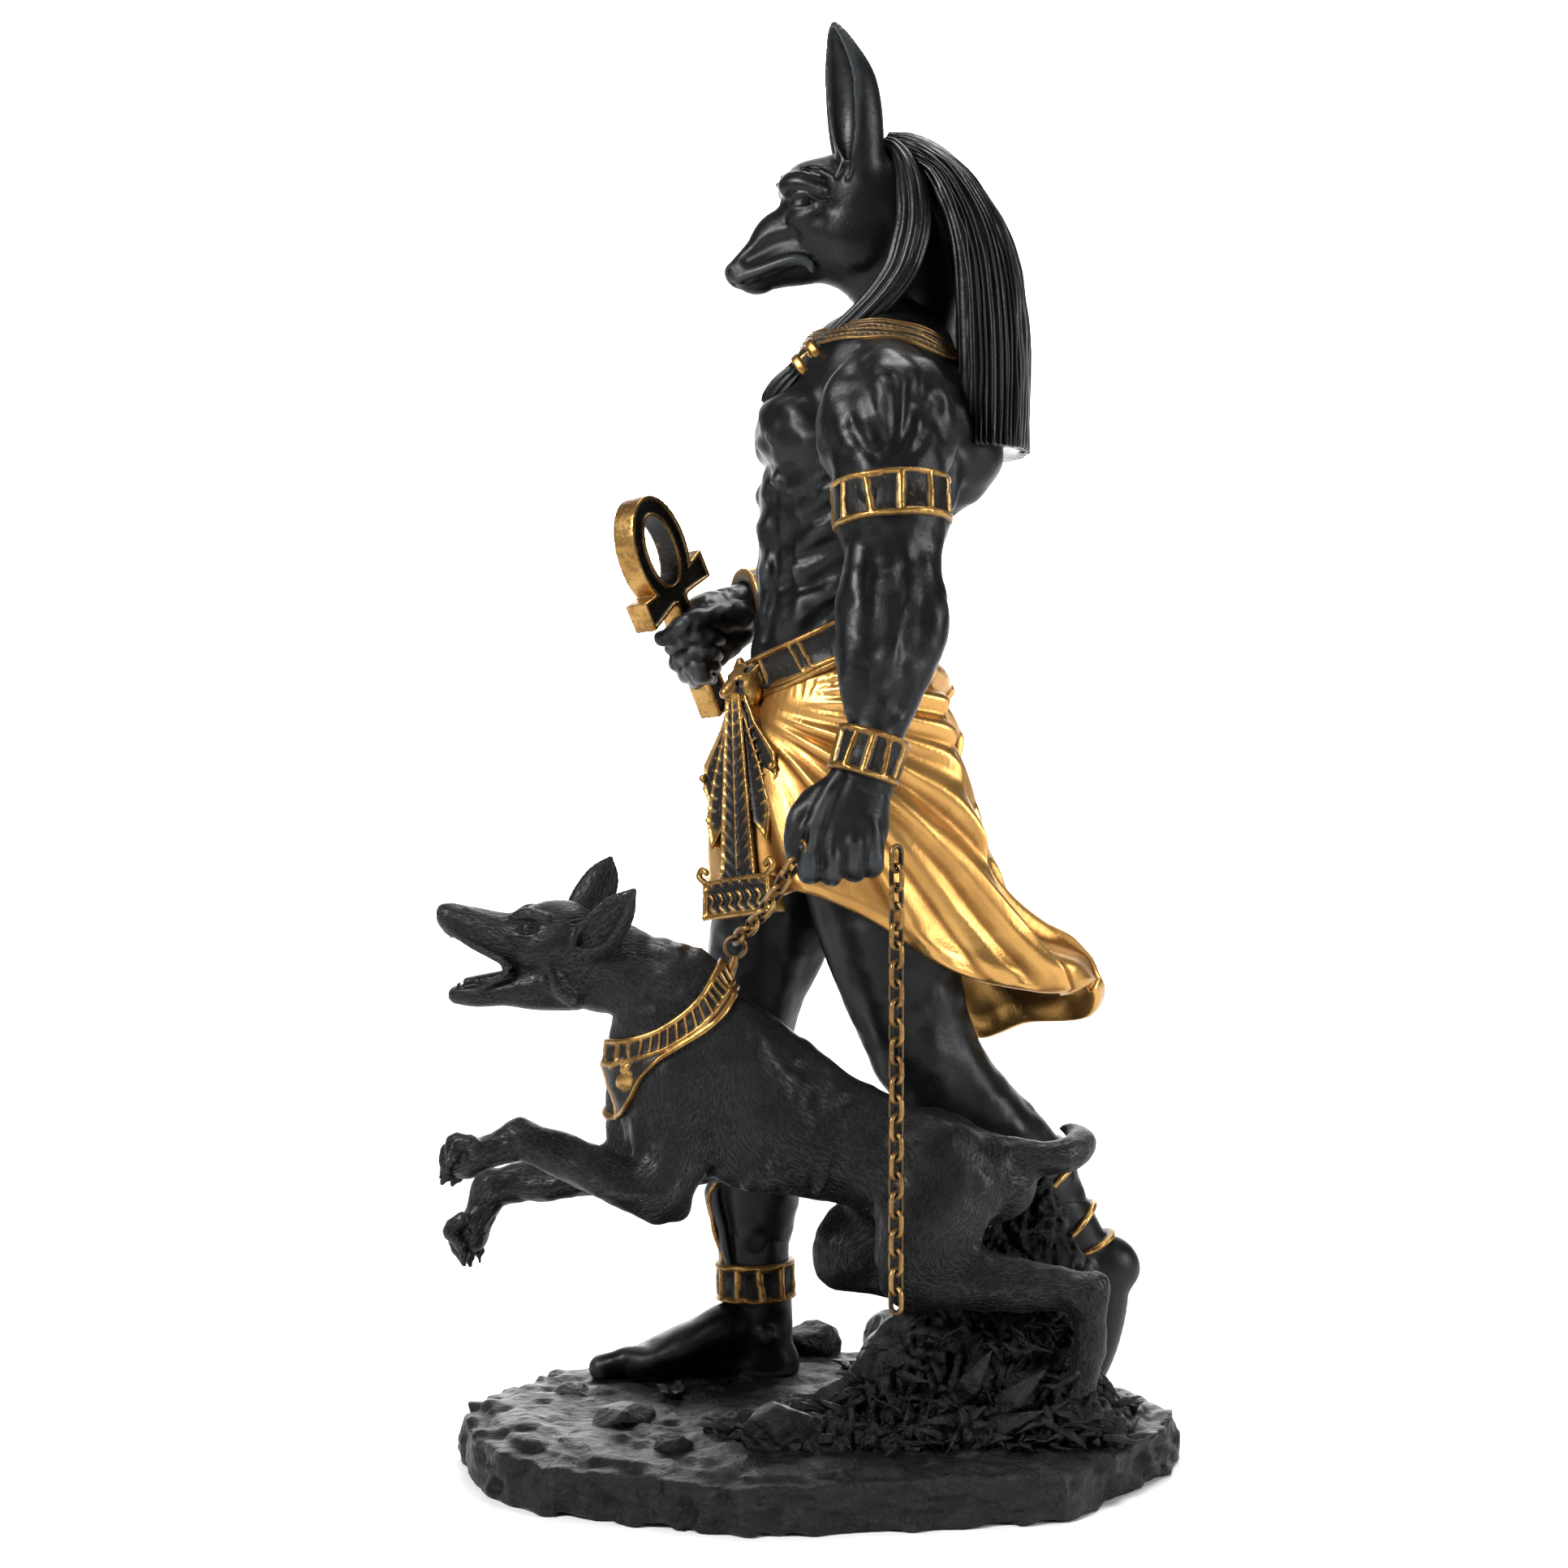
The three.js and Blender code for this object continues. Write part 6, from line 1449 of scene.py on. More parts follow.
def jackal_head():
    """A lean head that snarls: the mouth is open, with teeth and tongue, and the ears lie back."""
    clay = Clay((-80, -34, 90), (-32, -4, 128), 0.36)
    y = JACKAL_Y
    clay.add(limb([(-44, y, 104.6, 8.4, 6.8), (-51, y, 108, 8.6, 7)]), 1)
    clay.add(ball((-52.6, y, 109.8), (8, 6.8, 7.2)), 2)
    clay.add(limb([(-55, y, 109.6, 6.6, 6), (-62.6, y, 109.2, 5.4, 4.8), (-70, y, 111.2, 4.6, 4),
                   (-74.2, y, 113.6, 3, 3.1)], 1.2), 2)
    clay.add(ball((-75.4, y, 114.8), (1.8, 2, 1.5), (0, 30, 0)), 0.6)
    clay.add(limb([(-50, y, 101, 6.4, 6), (-57, y, 99.6, 4.8, 5.2), (-63, y, 98.8, 3.2, 4.2),
                   (-69, y, 97.9, 2.5, 3.3), (-73, y, 97.9, 1.9, 2.3)], 1.2), 1.4)
    # The mouth
    clay.cut(limb([(-78, y, 105.6, 4.6, 6), (-73, y, 105, 4.4, 6), (-69, y, 104.3, 2.8, 6), (-66, y, 104.2, 1.5, 6),
                   (-63.8, y, 104.2, 0.5, 6)], 1.2), 0.8)
    clay.cut(limb([(-73, y, 109, 1.4, 1.6), (-67, y, 106.4, 1.4, 2.4), (-63, y, 104.4, 0.8, 3)], 1.2), 0.5)
    clay.add(limb([(-62, y, 101.8, 1.4, 2.4), (-67, y, 101, 1.3, 2.2), (-71, y, 100.6, 0.9, 1.7)], 1), 0.6)
    for s in (-1, 1):
        face = lambda x, off, z: (x, y + s * off, z)
        for x, off, z, long, r in ((-72.6, 1.4, 99.2, 1.7, 0.7), (-69.8, 2.1, 99.2, 0.9, 0.6),
                                   (-67.4, 2.5, 99.6, 1, 0.6)):
            clay.add(limb(placed(face, (x, off, z - 0.4, r), (x - 0.3, off, z + long, 0.08)), 0.6), 0.15)
        for x, off, z, long, r in ((-74, 1.7, 111, 1.9, 0.7), (-71, 2.6, 109, 0.9, 0.6),
                                   (-68.4, 2.9, 107.8, 0.9, 0.6)):
            clay.add(limb(placed(face, (x, off, z + 0.5, r), (x - 0.2, off, z - long, 0.08)), 0.6), 0.15)
        clay.add(limb(placed(face, (-74.4, 2.3, 111.9, 0.5), (-70, 3.4, 108.6, 0.8), (-66, 4.2, 106.6, 0.9),
                             (-63.2, 4.9, 105, 0.9), (-62.8, 4.9, 102.8, 0.8), (-65, 4.2, 101.2, 0.7),
                             (-69, 3.1, 99.2, 0.5), (-73, 2, 99, 0.4)), 1), 0.7)
        clay.add(limb(placed(face, (-73, 2.4, 113.4, 0.4), (-68, 3.8, 111.4, 0.6), (-63, 4.6, 109.4, 0.6)), 1), 0.9)
        clay.add(limb(placed(face, (-71, 1.6, 115.2, 0.4), (-66, 2.6, 113.6, 0.5), (-61, 3.4, 113, 0.5)), 1), 0.8)
        clay.cut(limb(placed(face, (-70, 4.2, 110.2, 0.3), (-65, 5, 108, 0.5), (-61, 5.8, 106.8, 0.3)), 1), 0.8)
        clay.add(ball(face(-56, 4.6, 107.4), (5, 2.6, 3.4), (0, -16, s * 10)), 1.6)
        clay.add(limb(placed(face, (-62, 3, 113.6, 0.7), (-58.6, 4.8, 114.8, 1.3), (-54.4, 6, 114, 0.9)), 1), 0.9)
        clay.cut(ball(face(-58.6, 6, 111.8), (2.7, 1.5, 1.4), (0, -10, s * 14)), 0.6)
        clay.add(ball(face(-58.2, 4.6, 111.7), (1.5, 1.1, 1.2)), 0.2)
        clay.add(limb(placed(face, (-61, 4.2, 110.8, 0.3), (-58.4, 5.8, 110.2, 0.42), (-55.6, 6.4, 111, 0.3)), 0.8),
                 0.4)
        clay.cut(ball(face(-76.8, 1.2, 114.6), (0.6, 0.6, 0.5)), 0.3)
        clay.cut(limb(placed(face, (-57, 6.6, 104, 0.5), (-53, 7.2, 101, 0.8), (-48, 7.4, 99, 0.4)), 1.2), 1.4)
        clay.add(limb(placed(face, (-53.6, 5.8, 104, 1.2), (-52, 6, 100, 1.6), (-49, 5.8, 97, 1.2)), 1.2), 1.6)
    ears = (((-47, -23.4, 107), (-43.4, -26, 111), (-39.6, -28.4, 116), (-36.7, -30, 119.8), -1),
            ((-48.6, -13, 112.4), (-46.4, -11.2, 116.4), (-44, -10, 121.4), (-42.6, -9.4, 125), 1))
    for a, b, c, d, s in ears:
        clay.add(limb([(*a, 3.8, 2.7), (*b, 4.4, 2.5), (*c, 3.4, 1.9), (*d, 0.7, 0.6)], 1.2), 1)
        shift = np.array((-1.4, s * 1.9, 0.5))
        a, b, c, d = (np.array(p) for p in (a, b, c, d))
        fold = [(*(a + 0.5 * shift), 0.9), (*(b + 0.7 * shift + (1.4, 0, 0)), 0.7),
                (*(c + 0.6 * shift + (1, 0, 0)), 0.3)]
        clay.add(limb(fold, 1), 0.5)
        cup = [(*(a + shift + (0.8, 0, 1)), 1, 0.8), (*(b + shift), 3, 1.6), (*(c + 0.9 * shift), 2.2, 1.3),
               (*(d + 0.6 * shift - (0.6, 0, 1)), 0.3, 0.3)]
        clay.cut(limb(cup, 1.2), 0.3)
    return clay


STAPLE = (-16.8, JACKAL_Y, 107.6)
# The jackal's collar from the nape to the throat, in side view (x, z)
COLLAR_TOP = [(-19.4, 106.2), (-21.6, 102.4), (-24.2, 98), (-29.8, 93.6), (-34.6, 91), (-40.6, 89.4)]
COLLAR_FOOT = [(-14.1, 101.6), (-17, 96.4), (-22.1, 91.4), (-29.8, 87.2), (-35.8, 82), (-41, 73.6)]


def neck_rings(a, rings):
    """Where the jackal's collar starts its way in to the neck at an angle, and that way."""
    share = min(a, 2 * math.pi - a) / math.pi * 5
    aside = math.sin(a)
    flatter = (1 - abs(aside)) ** 0.7
    (ux, uz), (lx, lz) = (curve_at(edge, np.array([share]))[0] for edge in (COLLAR_TOP, COLLAR_FOOT))
    for v in np.linspace(0, 1, rings):
        x, z = lx + v * (ux - lx), lz + v * (uz - lz)
        place = np.array((x, JACKAL_Y - 13 * np.sign(aside) * abs(aside) ** 0.7, z))
        yield place, -np.array(((x + 28.6) * flatter, -14 * aside, (z - 93) * flatter))


def jackal_collar(skin):
    """A ladder-patterned collar that hugs the neck and widens into a pointed pendant with a seated figure."""
    body = jackal_body()
    columns, rows = 420, 34
    grid = draped_rings((body,), 40, 6, neck_rings, 0.7, 5, rows, columns)
    angle = full_turn(columns)
    v = np.linspace(0, 1, rows)
    depth = lambda spots: between_cells(body.field, (spots - body.low) / body.grain)
    flat = grid.reshape(-1, 3)
    for _ in range(2):
        away = np.stack([depth(flat + step) - depth(flat - step) for step in np.eye(3)], 1)
        away /= np.linalg.norm(away, axis=1, keepdims=True) + 1e-9
        flat = flat + np.clip(0.35 - depth(flat), -2, 2)[:, None] * away
    grid = smoothed(flat.reshape(grid.shape), 6, down=False)
    wide = np.linalg.norm(grid[-1] - grid[0], axis=-1)
    below = (1 - v[:, None]) * wide[None]
    hump = lambda d, w: np.sqrt(np.clip(1 - (d / w) ** 2, 0, 1))
    lines = np.maximum(hump(below - 0.6, 0.75), hump(v[:, None] * wide[None] - 0.6, 0.75))
    lines = np.maximum(lines, hump(below - np.minimum(5, wide - 1.6), 0.5))
    turn = (angle * 34 / (2 * np.pi)) % 1 - 0.5
    lines = np.maximum(lines, 0.85 * hump(turn[None], 0.15) * ((below > 0.6) & (below < 5)))
    # The seated figure on the pendant, on a raised stem
    off = (abs(angle[None] - np.pi) - 0.42) * 11
    figure = np.maximum(hump(np.hypot(off, below - 6.4), 0.9), hump(np.hypot(off / 1.6, (below - 9) / 2), 1))
    lines = np.maximum(lines, figure)
    lines = np.maximum(lines, hump((angle[None] - np.pi) * 11, 0.7) * (below > 5))
    out = outward(grid)
    front = grid + out * (0.75 * lines)[..., None]
    back = (grid - 2.4 * out)[::-1][::5]
    gilt = np.concatenate([soft_step(lines, 0.1, 0.5), np.zeros((len(back), columns))])
    skin.lay(np.concatenate([front, back]), gilt, round_rows=True)
    ring = [np.array(STAPLE) + 2 * np.array((math.cos(t), 0, math.sin(t))) for t in evenly(28)]
    loop_of_wire(skin, np.array(ring), WIRE / 2, 10)
    post = [(-18.8, JACKAL_Y, 100.6, 1.3), (-17.4, JACKAL_Y, 103.8, 1), (-16.9, JACKAL_Y, 105.8, 0.7)]
    skin.lay(tube(post, 12, 0.5), 0.7)


# Chains

WIRE = 1.05
LINK = (6.0, 3.8)
LINK_PITCH = LINK[0] - 2 * WIRE - 0.12
HANGING_LINKS = 24


def loop_of_wire(skin, path, r, sides):
    """A closed loop of round wire along a flat path of points."""
    centre = path.mean(0)
    normal = unit(sum(np.cross(a - centre, b - centre) for a, b in zip(path, np.roll(path, -1, 0))))
    way = np.roll(path, -1, 0) - np.roll(path, 1, 0)
    out = np.cross(way, normal)
    out /= np.linalg.norm(out, axis=1, keepdims=True)
    angle = full_turn(sides)
    grid = path[:, None] + r * (np.cos(angle)[None, :, None] * out[:, None] + np.sin(angle)[None, :, None] * normal)
    skin.lay(grid, 0.8 * soft_step(np.cos(angle), -0.6, 0.7)[None], round_rows=True)


def link(skin, centre, long, wide):
    """One long round-wire link."""
    radius = (LINK[1] - WIRE) / 2
    straight = (LINK[0] - WIRE) / 2 - radius
    path = []
    for t in np.linspace(-90, 90, 10):
        path.append((straight + radius * math.cos(math.radians(t)), radius * math.sin(math.radians(t))))
    for t in np.linspace(90, 270, 10):
        path.append((-straight + radius * math.cos(math.radians(t)), radius * math.sin(math.radians(t))))
    loop_of_wire(skin, np.array([centre + u * long + v * wide for u, v in path]), WIRE / 2, 9)


def chain(skin, place, count):
    """Links threaded along a path, each turned a quarter from the last."""
    many = np.array([place(t) for t in np.linspace(0, 1, 400)])
    run = np.concatenate([[0], np.cumsum(np.linalg.norm(np.diff(many, axis=0), axis=1))])
    for i in range(count):
        t = np.interp((i + 0.5) / count * run[-1], run, np.linspace(0, 1, 400))
        long = unit(place(min(t + 0.01, 1)) - place(max(t - 0.01, 0)))
        side = unit(np.array([0, 1.0, 0]) - long[1] * long)
        other = np.cross(long, side)
        link(skin, place(t), long, unit(side - other if i % 2 else side + other))


def hanging_chain(skin):
    """The free end of the chain, which hangs straight down from the fist."""
    top = np.array([15, -36, 128.4])
    chain(skin, lambda t: top - (0, 0, t * HANGING_LINKS * LINK_PITCH), HANGING_LINKS)


def leash(skin):
    """The chain that sags from the fist to the staple on the jackal's collar."""
    a, b, c = (np.array(p, float) for p in ((-16.8, -16.6, 109.4), (-12, -30, 112), (-3.2, -38.2, 129.2)))
    place = lambda t: (1 - t) ** 2 * a + 2 * t * (1 - t) * b + t * t * c
    many = np.array([place(t) for t in np.linspace(0, 1, 400)])
    length = np.linalg.norm(np.diff(many, axis=0), axis=1).sum()
    chain(skin, place, round(length / LINK_PITCH))


# The base

BASE_OUTLINE = [
    (-74.6, -6), (-70, -23), (-65.7, -33.4), (-54, -47), (-13, -62.2), (47, -52), (71, -18), (75, -3), (68.4, 9),
    (64, 22), (53, 36), (26, 49), (-8, 52), (-36, 46), (-56, 32), (-70.4, 10.4),
]


def slab():
    """The rough-hewn slab: chiselled faces all round, a chipped rim and a low uneven mound on top."""
    clay = Clay((-77, -64, -1.6), (77, 54, 15), 0.66)
    origin, x, y, z = (0, 0, 0), (1, 0, 0), (0, 1, 0), (0, 0, 1)
    clay.add(cutout(BASE_OUTLINE, origin, x, y, z, SLAB_EDGE, SLAB_EDGE), 0.4)
    shrink = lambda k: [(k * a, -5 + k * (b + 5)) for a, b in BASE_OUTLINE]
    clay.add(cutout(shrink(0.9), origin, x, y, z, GROUND + 0.1, 6), 3)
    rng = np.random.default_rng(12)
    ring = np.array(BASE_OUTLINE)
    for (x0, y0), (x1, y1) in zip(ring, np.roll(ring, -1, 0)):
        long = math.hypot(x1 - x0, y1 - y0)
        out = np.array((y1 - y0, x0 - x1)) / long
        for _ in range(int(long / 2.6)):
            t, h = rng.uniform(0, 1), rng.uniform(0.5, SLAB_EDGE + 1)
            size = (rng.uniform(4, 13), 4, rng.uniform(2.6, 7))
            away = 4 - rng.uniform(0.2, 1.3)
            spot = (x0 + t * (x1 - x0) + out[0] * away, y0 + t * (y1 - y0) + out[1] * away, h)
            lean, tip, swing = rng.uniform(-9, 9), rng.uniform(-30, 30), rng.uniform(-7, 7)
            clay.cut(ball(spot, size, (lean, tip, math.degrees(math.atan2(y1 - y0, x1 - x0)) + swing)), 0.08)
    for _ in range(260):
        edge = ring[rng.integers(len(ring))]
        reach = rng.uniform(0, 0.75) ** 0.6
        aside, ahead, under = rng.uniform(-5, 5), rng.uniform(-5, 5), rng.uniform(0.4, 1.6)
        spot = (reach * edge[0] + aside, -5 + reach * (edge[1] + 5) + ahead, GROUND - under)
        size = (rng.uniform(1.2, 6), rng.uniform(1.2, 6), rng.uniform(0.8, 2))
        clay.add(ball(spot, size, (rng.uniform(-9, 9), rng.uniform(-9, 9), rng.uniform(0, 180))), 0.3)
    clay.roughen(9, 0.3, 3, (1, 1, 0.8))
    clay.roughen(3.6, 0.4, 4)
    clay.roughen(1.7, 0.34, 5, (1.6, 1.6, 0.7))
    clay.trim_below(0.0)
    return clay


def rock(skin, centre, radii, turn, seed, planes=22):
    """A faceted boulder, cut by flat faces at random."""
    rng = np.random.default_rng(seed)
    normals = rng.normal(size=(planes, 3))
    normals /= np.linalg.norm(normals, axis=1, keepdims=True)
    depths = rng.uniform(0.78, 1, planes)
    rows, columns = 44, 64
    polar = np.linspace(0.02, np.pi - 0.02, rows)[:, None]
    angle = full_turn(columns)
    way = np.stack(np.broadcast_arrays(np.sin(polar) * np.cos(angle), np.sin(polar) * np.sin(angle), np.cos(polar)),
                   -1)
    facing = np.maximum(way @ normals.T, 0.05)
    reach = np.min(depths / facing, -1)
    reach = np.minimum(reach, 1.06) + 0.016 * noise(way * 5 + seed, seed)
    made = way * (reach[..., None] * np.array(radii))
    c, s = math.cos(math.radians(turn)), math.sin(math.radians(turn))
    made = np.stack([c * made[..., 0] - s * made[..., 1], s * made[..., 0] + c * made[..., 1], made[..., 2]], -1)
    skin.lay(made + np.array(centre))


ROCKS = [
    ((-7, -34, 11.6), (9, 6.6, 7.2), 20), ((-40, -16, 11), (7.4, 5.6, 3.8), 50),
    ((-29, -36, 10.4), (4.4, 3.4, 3.4), 10), ((0, 44, 12), (7, 6, 6.2), 35), ((17, 43, 12.6), (9, 6.6, 7.2), 80),
    ((-20, 46, 10.6), (6, 5, 4), 15), ((8, -30, 10.8), (4, 3.4, 2.6), 60), ((-52, 6, 10.4), (4, 5, 2.6), 5),
    ((34, 38, 10.4), (4.6, 3.6, 2.8), 30),
]


def blade(skin, root, bend, tip, wide, thick=0.5, flat=(0, 0, 1)):
    """One leaf or blade of grass, creased along its middle."""
    path = [(*root, thick, 0.55 * wide), (*((root + bend) / 2), thick, 0.95 * wide), (*bend, thick, wide),
            (*((tip + bend) / 2), 0.7 * thick, 0.6 * wide), (*tip, 0.12, 0.12)]
    way = unit(tip - root)
    across = np.cross(way, np.array(flat, float))
    if np.linalg.norm(across) < 0.2:
        across = np.cross(way, (1, 0, 0))
    crease = lambda angle, share: 1 - 0.34 * np.exp(-((np.sin(angle) / 0.3) ** 2))
    skin.lay(tube(path, 8, 2, across=unit(across), shape=crease))


BUSH = [  # stations (x, y, z, radius in the side view, radius across) of the bush's stem, skirt and wisps
    [(-2, -16, 9, 4, 6), (6, -17, 12, 7, 10), (14, -17, 17, 9, 12), (20, -16, 25, 8, 10), (23, -15, 34, 7, 8),
     (26, -14, 42, 7, 6)],
    [(22, -18, 10, 12, 14), (34, -17, 14, 11, 12), (46, -15, 16, 9, 10), (56, -12, 13, 6, 8)],
    [(30, -15, 22, 10, 8), (40, -13, 28, 9, 7), (48, -10, 34, 5, 5)],
    [(40, -9, 30, 10, 4), (42, -7, 42, 11.6, 4), (43, -6, 52, 9.4, 3.6), (40, -6, 61, 5, 3)],
    [(44, -27, 10, 7, 7), (51, -27, 11, 8, 7), (58, -25, 10, 5, 6)],
    [(-24, -18, 8, 3, 6), (-12, -24, 9, 3.4, 9), (0, -27, 9, 4.6, 12), (14, -28, 9.6, 5.4, 12),
     (30, -29, 10, 5.4, 10)],
    [(48, -10, 18, 6, 4), (52.5, -10, 24, 5, 4), (50, -9, 33, 5, 4)],
]


@lru_cache(maxsize=None)
def bush():
    """The tangled mass under the jackal's loins and behind its hind legs."""
    clay = Clay((-30, -43, 7), (68, 4, 68), 0.66)
    for stations in BUSH:
        clay.add(limb(stations), 2)
    clay.roughen(7, 1.3, 81)
    clay.roughen(2.6, 0.8, 82, (1, 1, 3))
    rng = np.random.default_rng(15)
    for stations in BUSH:
        for row in smooth_path(stations, 0.5 if stations[0][2] > 25 else 1):
            x, z = row[0] + rng.uniform(-1, 1) * row[3], row[2] + rng.uniform(0, 1) * row[3]
            steps = np.arange(5) * rng.uniform(1.6, 3.2)
            lean, wave = rng.uniform(-0.5, 0.5), rng.uniform(0, 6)
            strand = [(x + lean * t + 0.9 * math.sin(0.55 * t + wave), row[1] - row[4], z - t,
                       0.95 - 0.06 * t) for t in steps]
            clay.ridge(strand, (0, 1, 0), 0.85, 0.2, 0.8)
            clay.score([(px + 1.3, py, pz, 0.5) for px, py, pz, _ in strand], (0, 1, 0), 0.5, 0.3, 0.8)
    clay.trim_below(GROUND - 2)
    return clay


def greenery(skin):
    """Tufts of grass about the ground, leaves all over the bush and a few long leaves at its front."""
    rng = np.random.default_rng(8)
    for x, y, reach, height, count in ((-18, -24, 6, 3, 10), (8, -36, 7, 3.4, 14), (24, -38, 8, 3.4, 14),
                                       (38, -37, 8, 3.4, 14), (-2, -22, 8, 3.6, 14), (30, 14, 9, 3.4, 10),
                                       (-30, 4, 7, 2.8, 8), (10, 26, 8, 3, 8), (40, 24, 8, 4, 8),
                                       (64, -10, 5, 3.4, 10), (-12, 40, 6, 4, 8)):
        for _ in range(count):
            angle = rng.uniform(0, 2 * math.pi)
            r = reach * rng.uniform(0.3, 1)
            tip = np.array((x + r * math.cos(angle), y + r * math.sin(angle),
                            GROUND + height * rng.uniform(0.2, 1)))
            root = np.array((x + 0.25 * r * math.cos(angle + 0.4), y + 0.25 * r * math.sin(angle + 0.4),
                             GROUND - 0.6))
            blade(skin, root, root * 0.45 + tip * 0.55 + (0, 0, 0.35 * height), tip, rng.uniform(0.8, 1.7))
    mass = (bush(),)
    for stations, count in zip(BUSH, (100, 150, 50, 26, 60, 130, 20)):
        rows = smooth_path(stations, 1.5)
        for _ in range(count):
            row = rows[rng.integers(len(rows))]
            angle = rng.uniform(-0.3 * math.pi, 1.3 * math.pi)
            way = unit(np.array((0.7 * math.cos(angle), -0.8, 0.8 * math.sin(angle))) + rng.normal(0, 0.2, 3))
            root = drape(mass, row[:3] + (0, -4, 0), -way, -0.5)
            if root[2] < GROUND:
                continue
            long, wide = rng.uniform(3, 9), rng.uniform(0.4, 1.2)
            sweep = np.array((rng.normal(0, 0.8), rng.normal(0, 0.2), rng.uniform(-0.9, 0.5)))
            sweep = unit(sweep - 0.85 * (sweep @ way) * way)
            tip = root + long * sweep + 0.4 * way
            tip[2] = max(tip[2], GROUND + 0.6)
            bend = (root + tip) / 2 + (0.1 * long + 0.8) * way
            blade(skin, root, bend, tip, wide, 0.42, flat=way)
    for root, bend, tip, wide in (((26, -28, 16), (30, -34, 23), (34, -33, 29), 2.3),
                                  ((31, -29, 14), (38, -35, 20), (44.6, -34, 25.4), 2.5),
                                  ((24, -29, 12), (28, -34, 15), (33, -34.6, 18.4), 2),
                                  ((28, -29, 12), (36, -36, 15), (44, -37, 18), 2.4),
                                  ((24, -30, 11), (30, -37, 12.6), (38, -38, 13), 2.2),
                                  ((18, -27, 12), (16, -33, 17), (13, -35, 21), 2.2)):
        blade(skin, *(np.array(at, float) for at in (root, bend, tip)), wide, 0.8, flat=(0, -0.8, 0.6))


# Materials


def wired(tree, kind, name="", settings=None, **inputs):
    """Adds a node; an input that is itself an output gets linked, and any other value is set on the socket.

    An input is named by its label, or by i and its number.
    """
    node = tree.nodes.new("ShaderNode" + kind)
    node.label = name
    node.location = (220 * (len(tree.nodes) % 9) - 1100, 300 - 60 * (len(tree.nodes) // 9))
    for key, value in (settings or {}).items():
        setattr(node, key, value)
    for key, value in inputs.items():
        numbered = key[0] == "i" and key[1:].isdigit()
        socket = node.inputs[int(key[1:]) if numbered else key.replace("_", " ")]
        if isinstance(value, bpy.types.NodeSocket):
            tree.links.new(value, socket)
        else:
            socket.default_value = value
    return node


def ramp(tree, value, low, high, start=0.0, stop=1.0):
    """A value brought smoothly from one range to another."""
    limits = {"From_Min": low, "From_Max": high, "To_Min": start, "To_Max": stop}
    return wired(tree, "MapRange", "", {"interpolation_type": "SMOOTHSTEP"}, Value=value, **limits).outputs[0]


def blend(tree, share, first, second):
    """A mix of two colours."""
    return wired(tree, "Mix", "", {"data_type": "RGBA"}, i0=share, i6=first, i7=second).outputs[2]


def maths(tree, operation, first, second=0.0):
    """One step of arithmetic on numbers."""
    return wired(tree, "Math", "", {"operation": operation}, i0=first, i1=second).outputs[0]


def vectors(tree, operation, output="Vector", **inputs):
    """One step of arithmetic on vectors."""
    return wired(tree, "VectorMath", "", {"operation": operation}, **inputs).outputs[output]


def mark(tree, name, label="", output="Fac"):
    """A mark that a mesh carries at its points."""
    return wired(tree, "Attribute", label, {"attribute_name": name}).outputs[output]


def darker(colour, share):
    """A colour scaled down, and opaque."""
    return [share * c for c in colour[:3]] + [1]


def texture(tree, kind, label, place, scale, output=0, settings=None, **inputs):
    """One procedural texture."""
    return wired(tree, "Tex" + kind, label, settings, Vector=place, Scale=scale, **inputs).outputs[output]


def new_group(name, inputs, outputs):
    """A node group; an input is a number when it has a default value, and a vector when it has none."""
    group = bpy.data.node_groups.new(name, "ShaderNodeTree")
    for label, default in inputs:
        kind = "NodeSocketVector" if default is None else "NodeSocketFloat"
        socket = group.interface.new_socket(label, in_out="INPUT", socket_type=kind)
        if default is not None:
            socket.default_value = default
    for label in outputs:
        group.interface.new_socket(label, in_out="OUTPUT", socket_type="NodeSocketFloat")
    return group, group.nodes.new("NodeGroupInput"), group.nodes.new("NodeGroupOutput")


def wear_and_shade_group():
    """Masks shared by every cast surface: raised edges for rubbed paint and painted highlights, hollows for painted
    shade, and fine grain.
    """
    group, inside, out = new_group("Cast surface", [("Edge", 0.12), ("Hollow", -0.12), ("Grain size", 900.0)],
                                   ["Worn edges and highlights", "Shaded hollows", "Grain", "Blotches"])
    proud = mark(group, "proud", "How proud")
    place = wired(group, "TexCoord").outputs["Object"]
    grain = texture(group, "Noise", "Grain", place, inside.outputs["Grain size"], Detail=4.0, Roughness=0.6)
    blotch = texture(group, "Noise", "Blotches", place, 90.0, Detail=5.0, Roughness=0.62)
    uneven = maths(group, "MULTIPLY", maths(group, "SUBTRACT", blotch, 0.5), 0.35)
    edge = maths(group, "ADD", proud, uneven)
    worn = ramp(group, edge, inside.outputs["Edge"], 0.42)
    # Hollows mask: the materials darken recesses with it as painted shade, and make them rougher
    shaded_hollows = ramp(group, edge, inside.outputs["Hollow"], -0.4)
    for label, value in (("Worn edges and highlights", worn), ("Shaded hollows", shaded_hollows), ("Grain", grain), ("Blotches", blotch)):
        group.links.new(value, out.inputs[label])
    return group


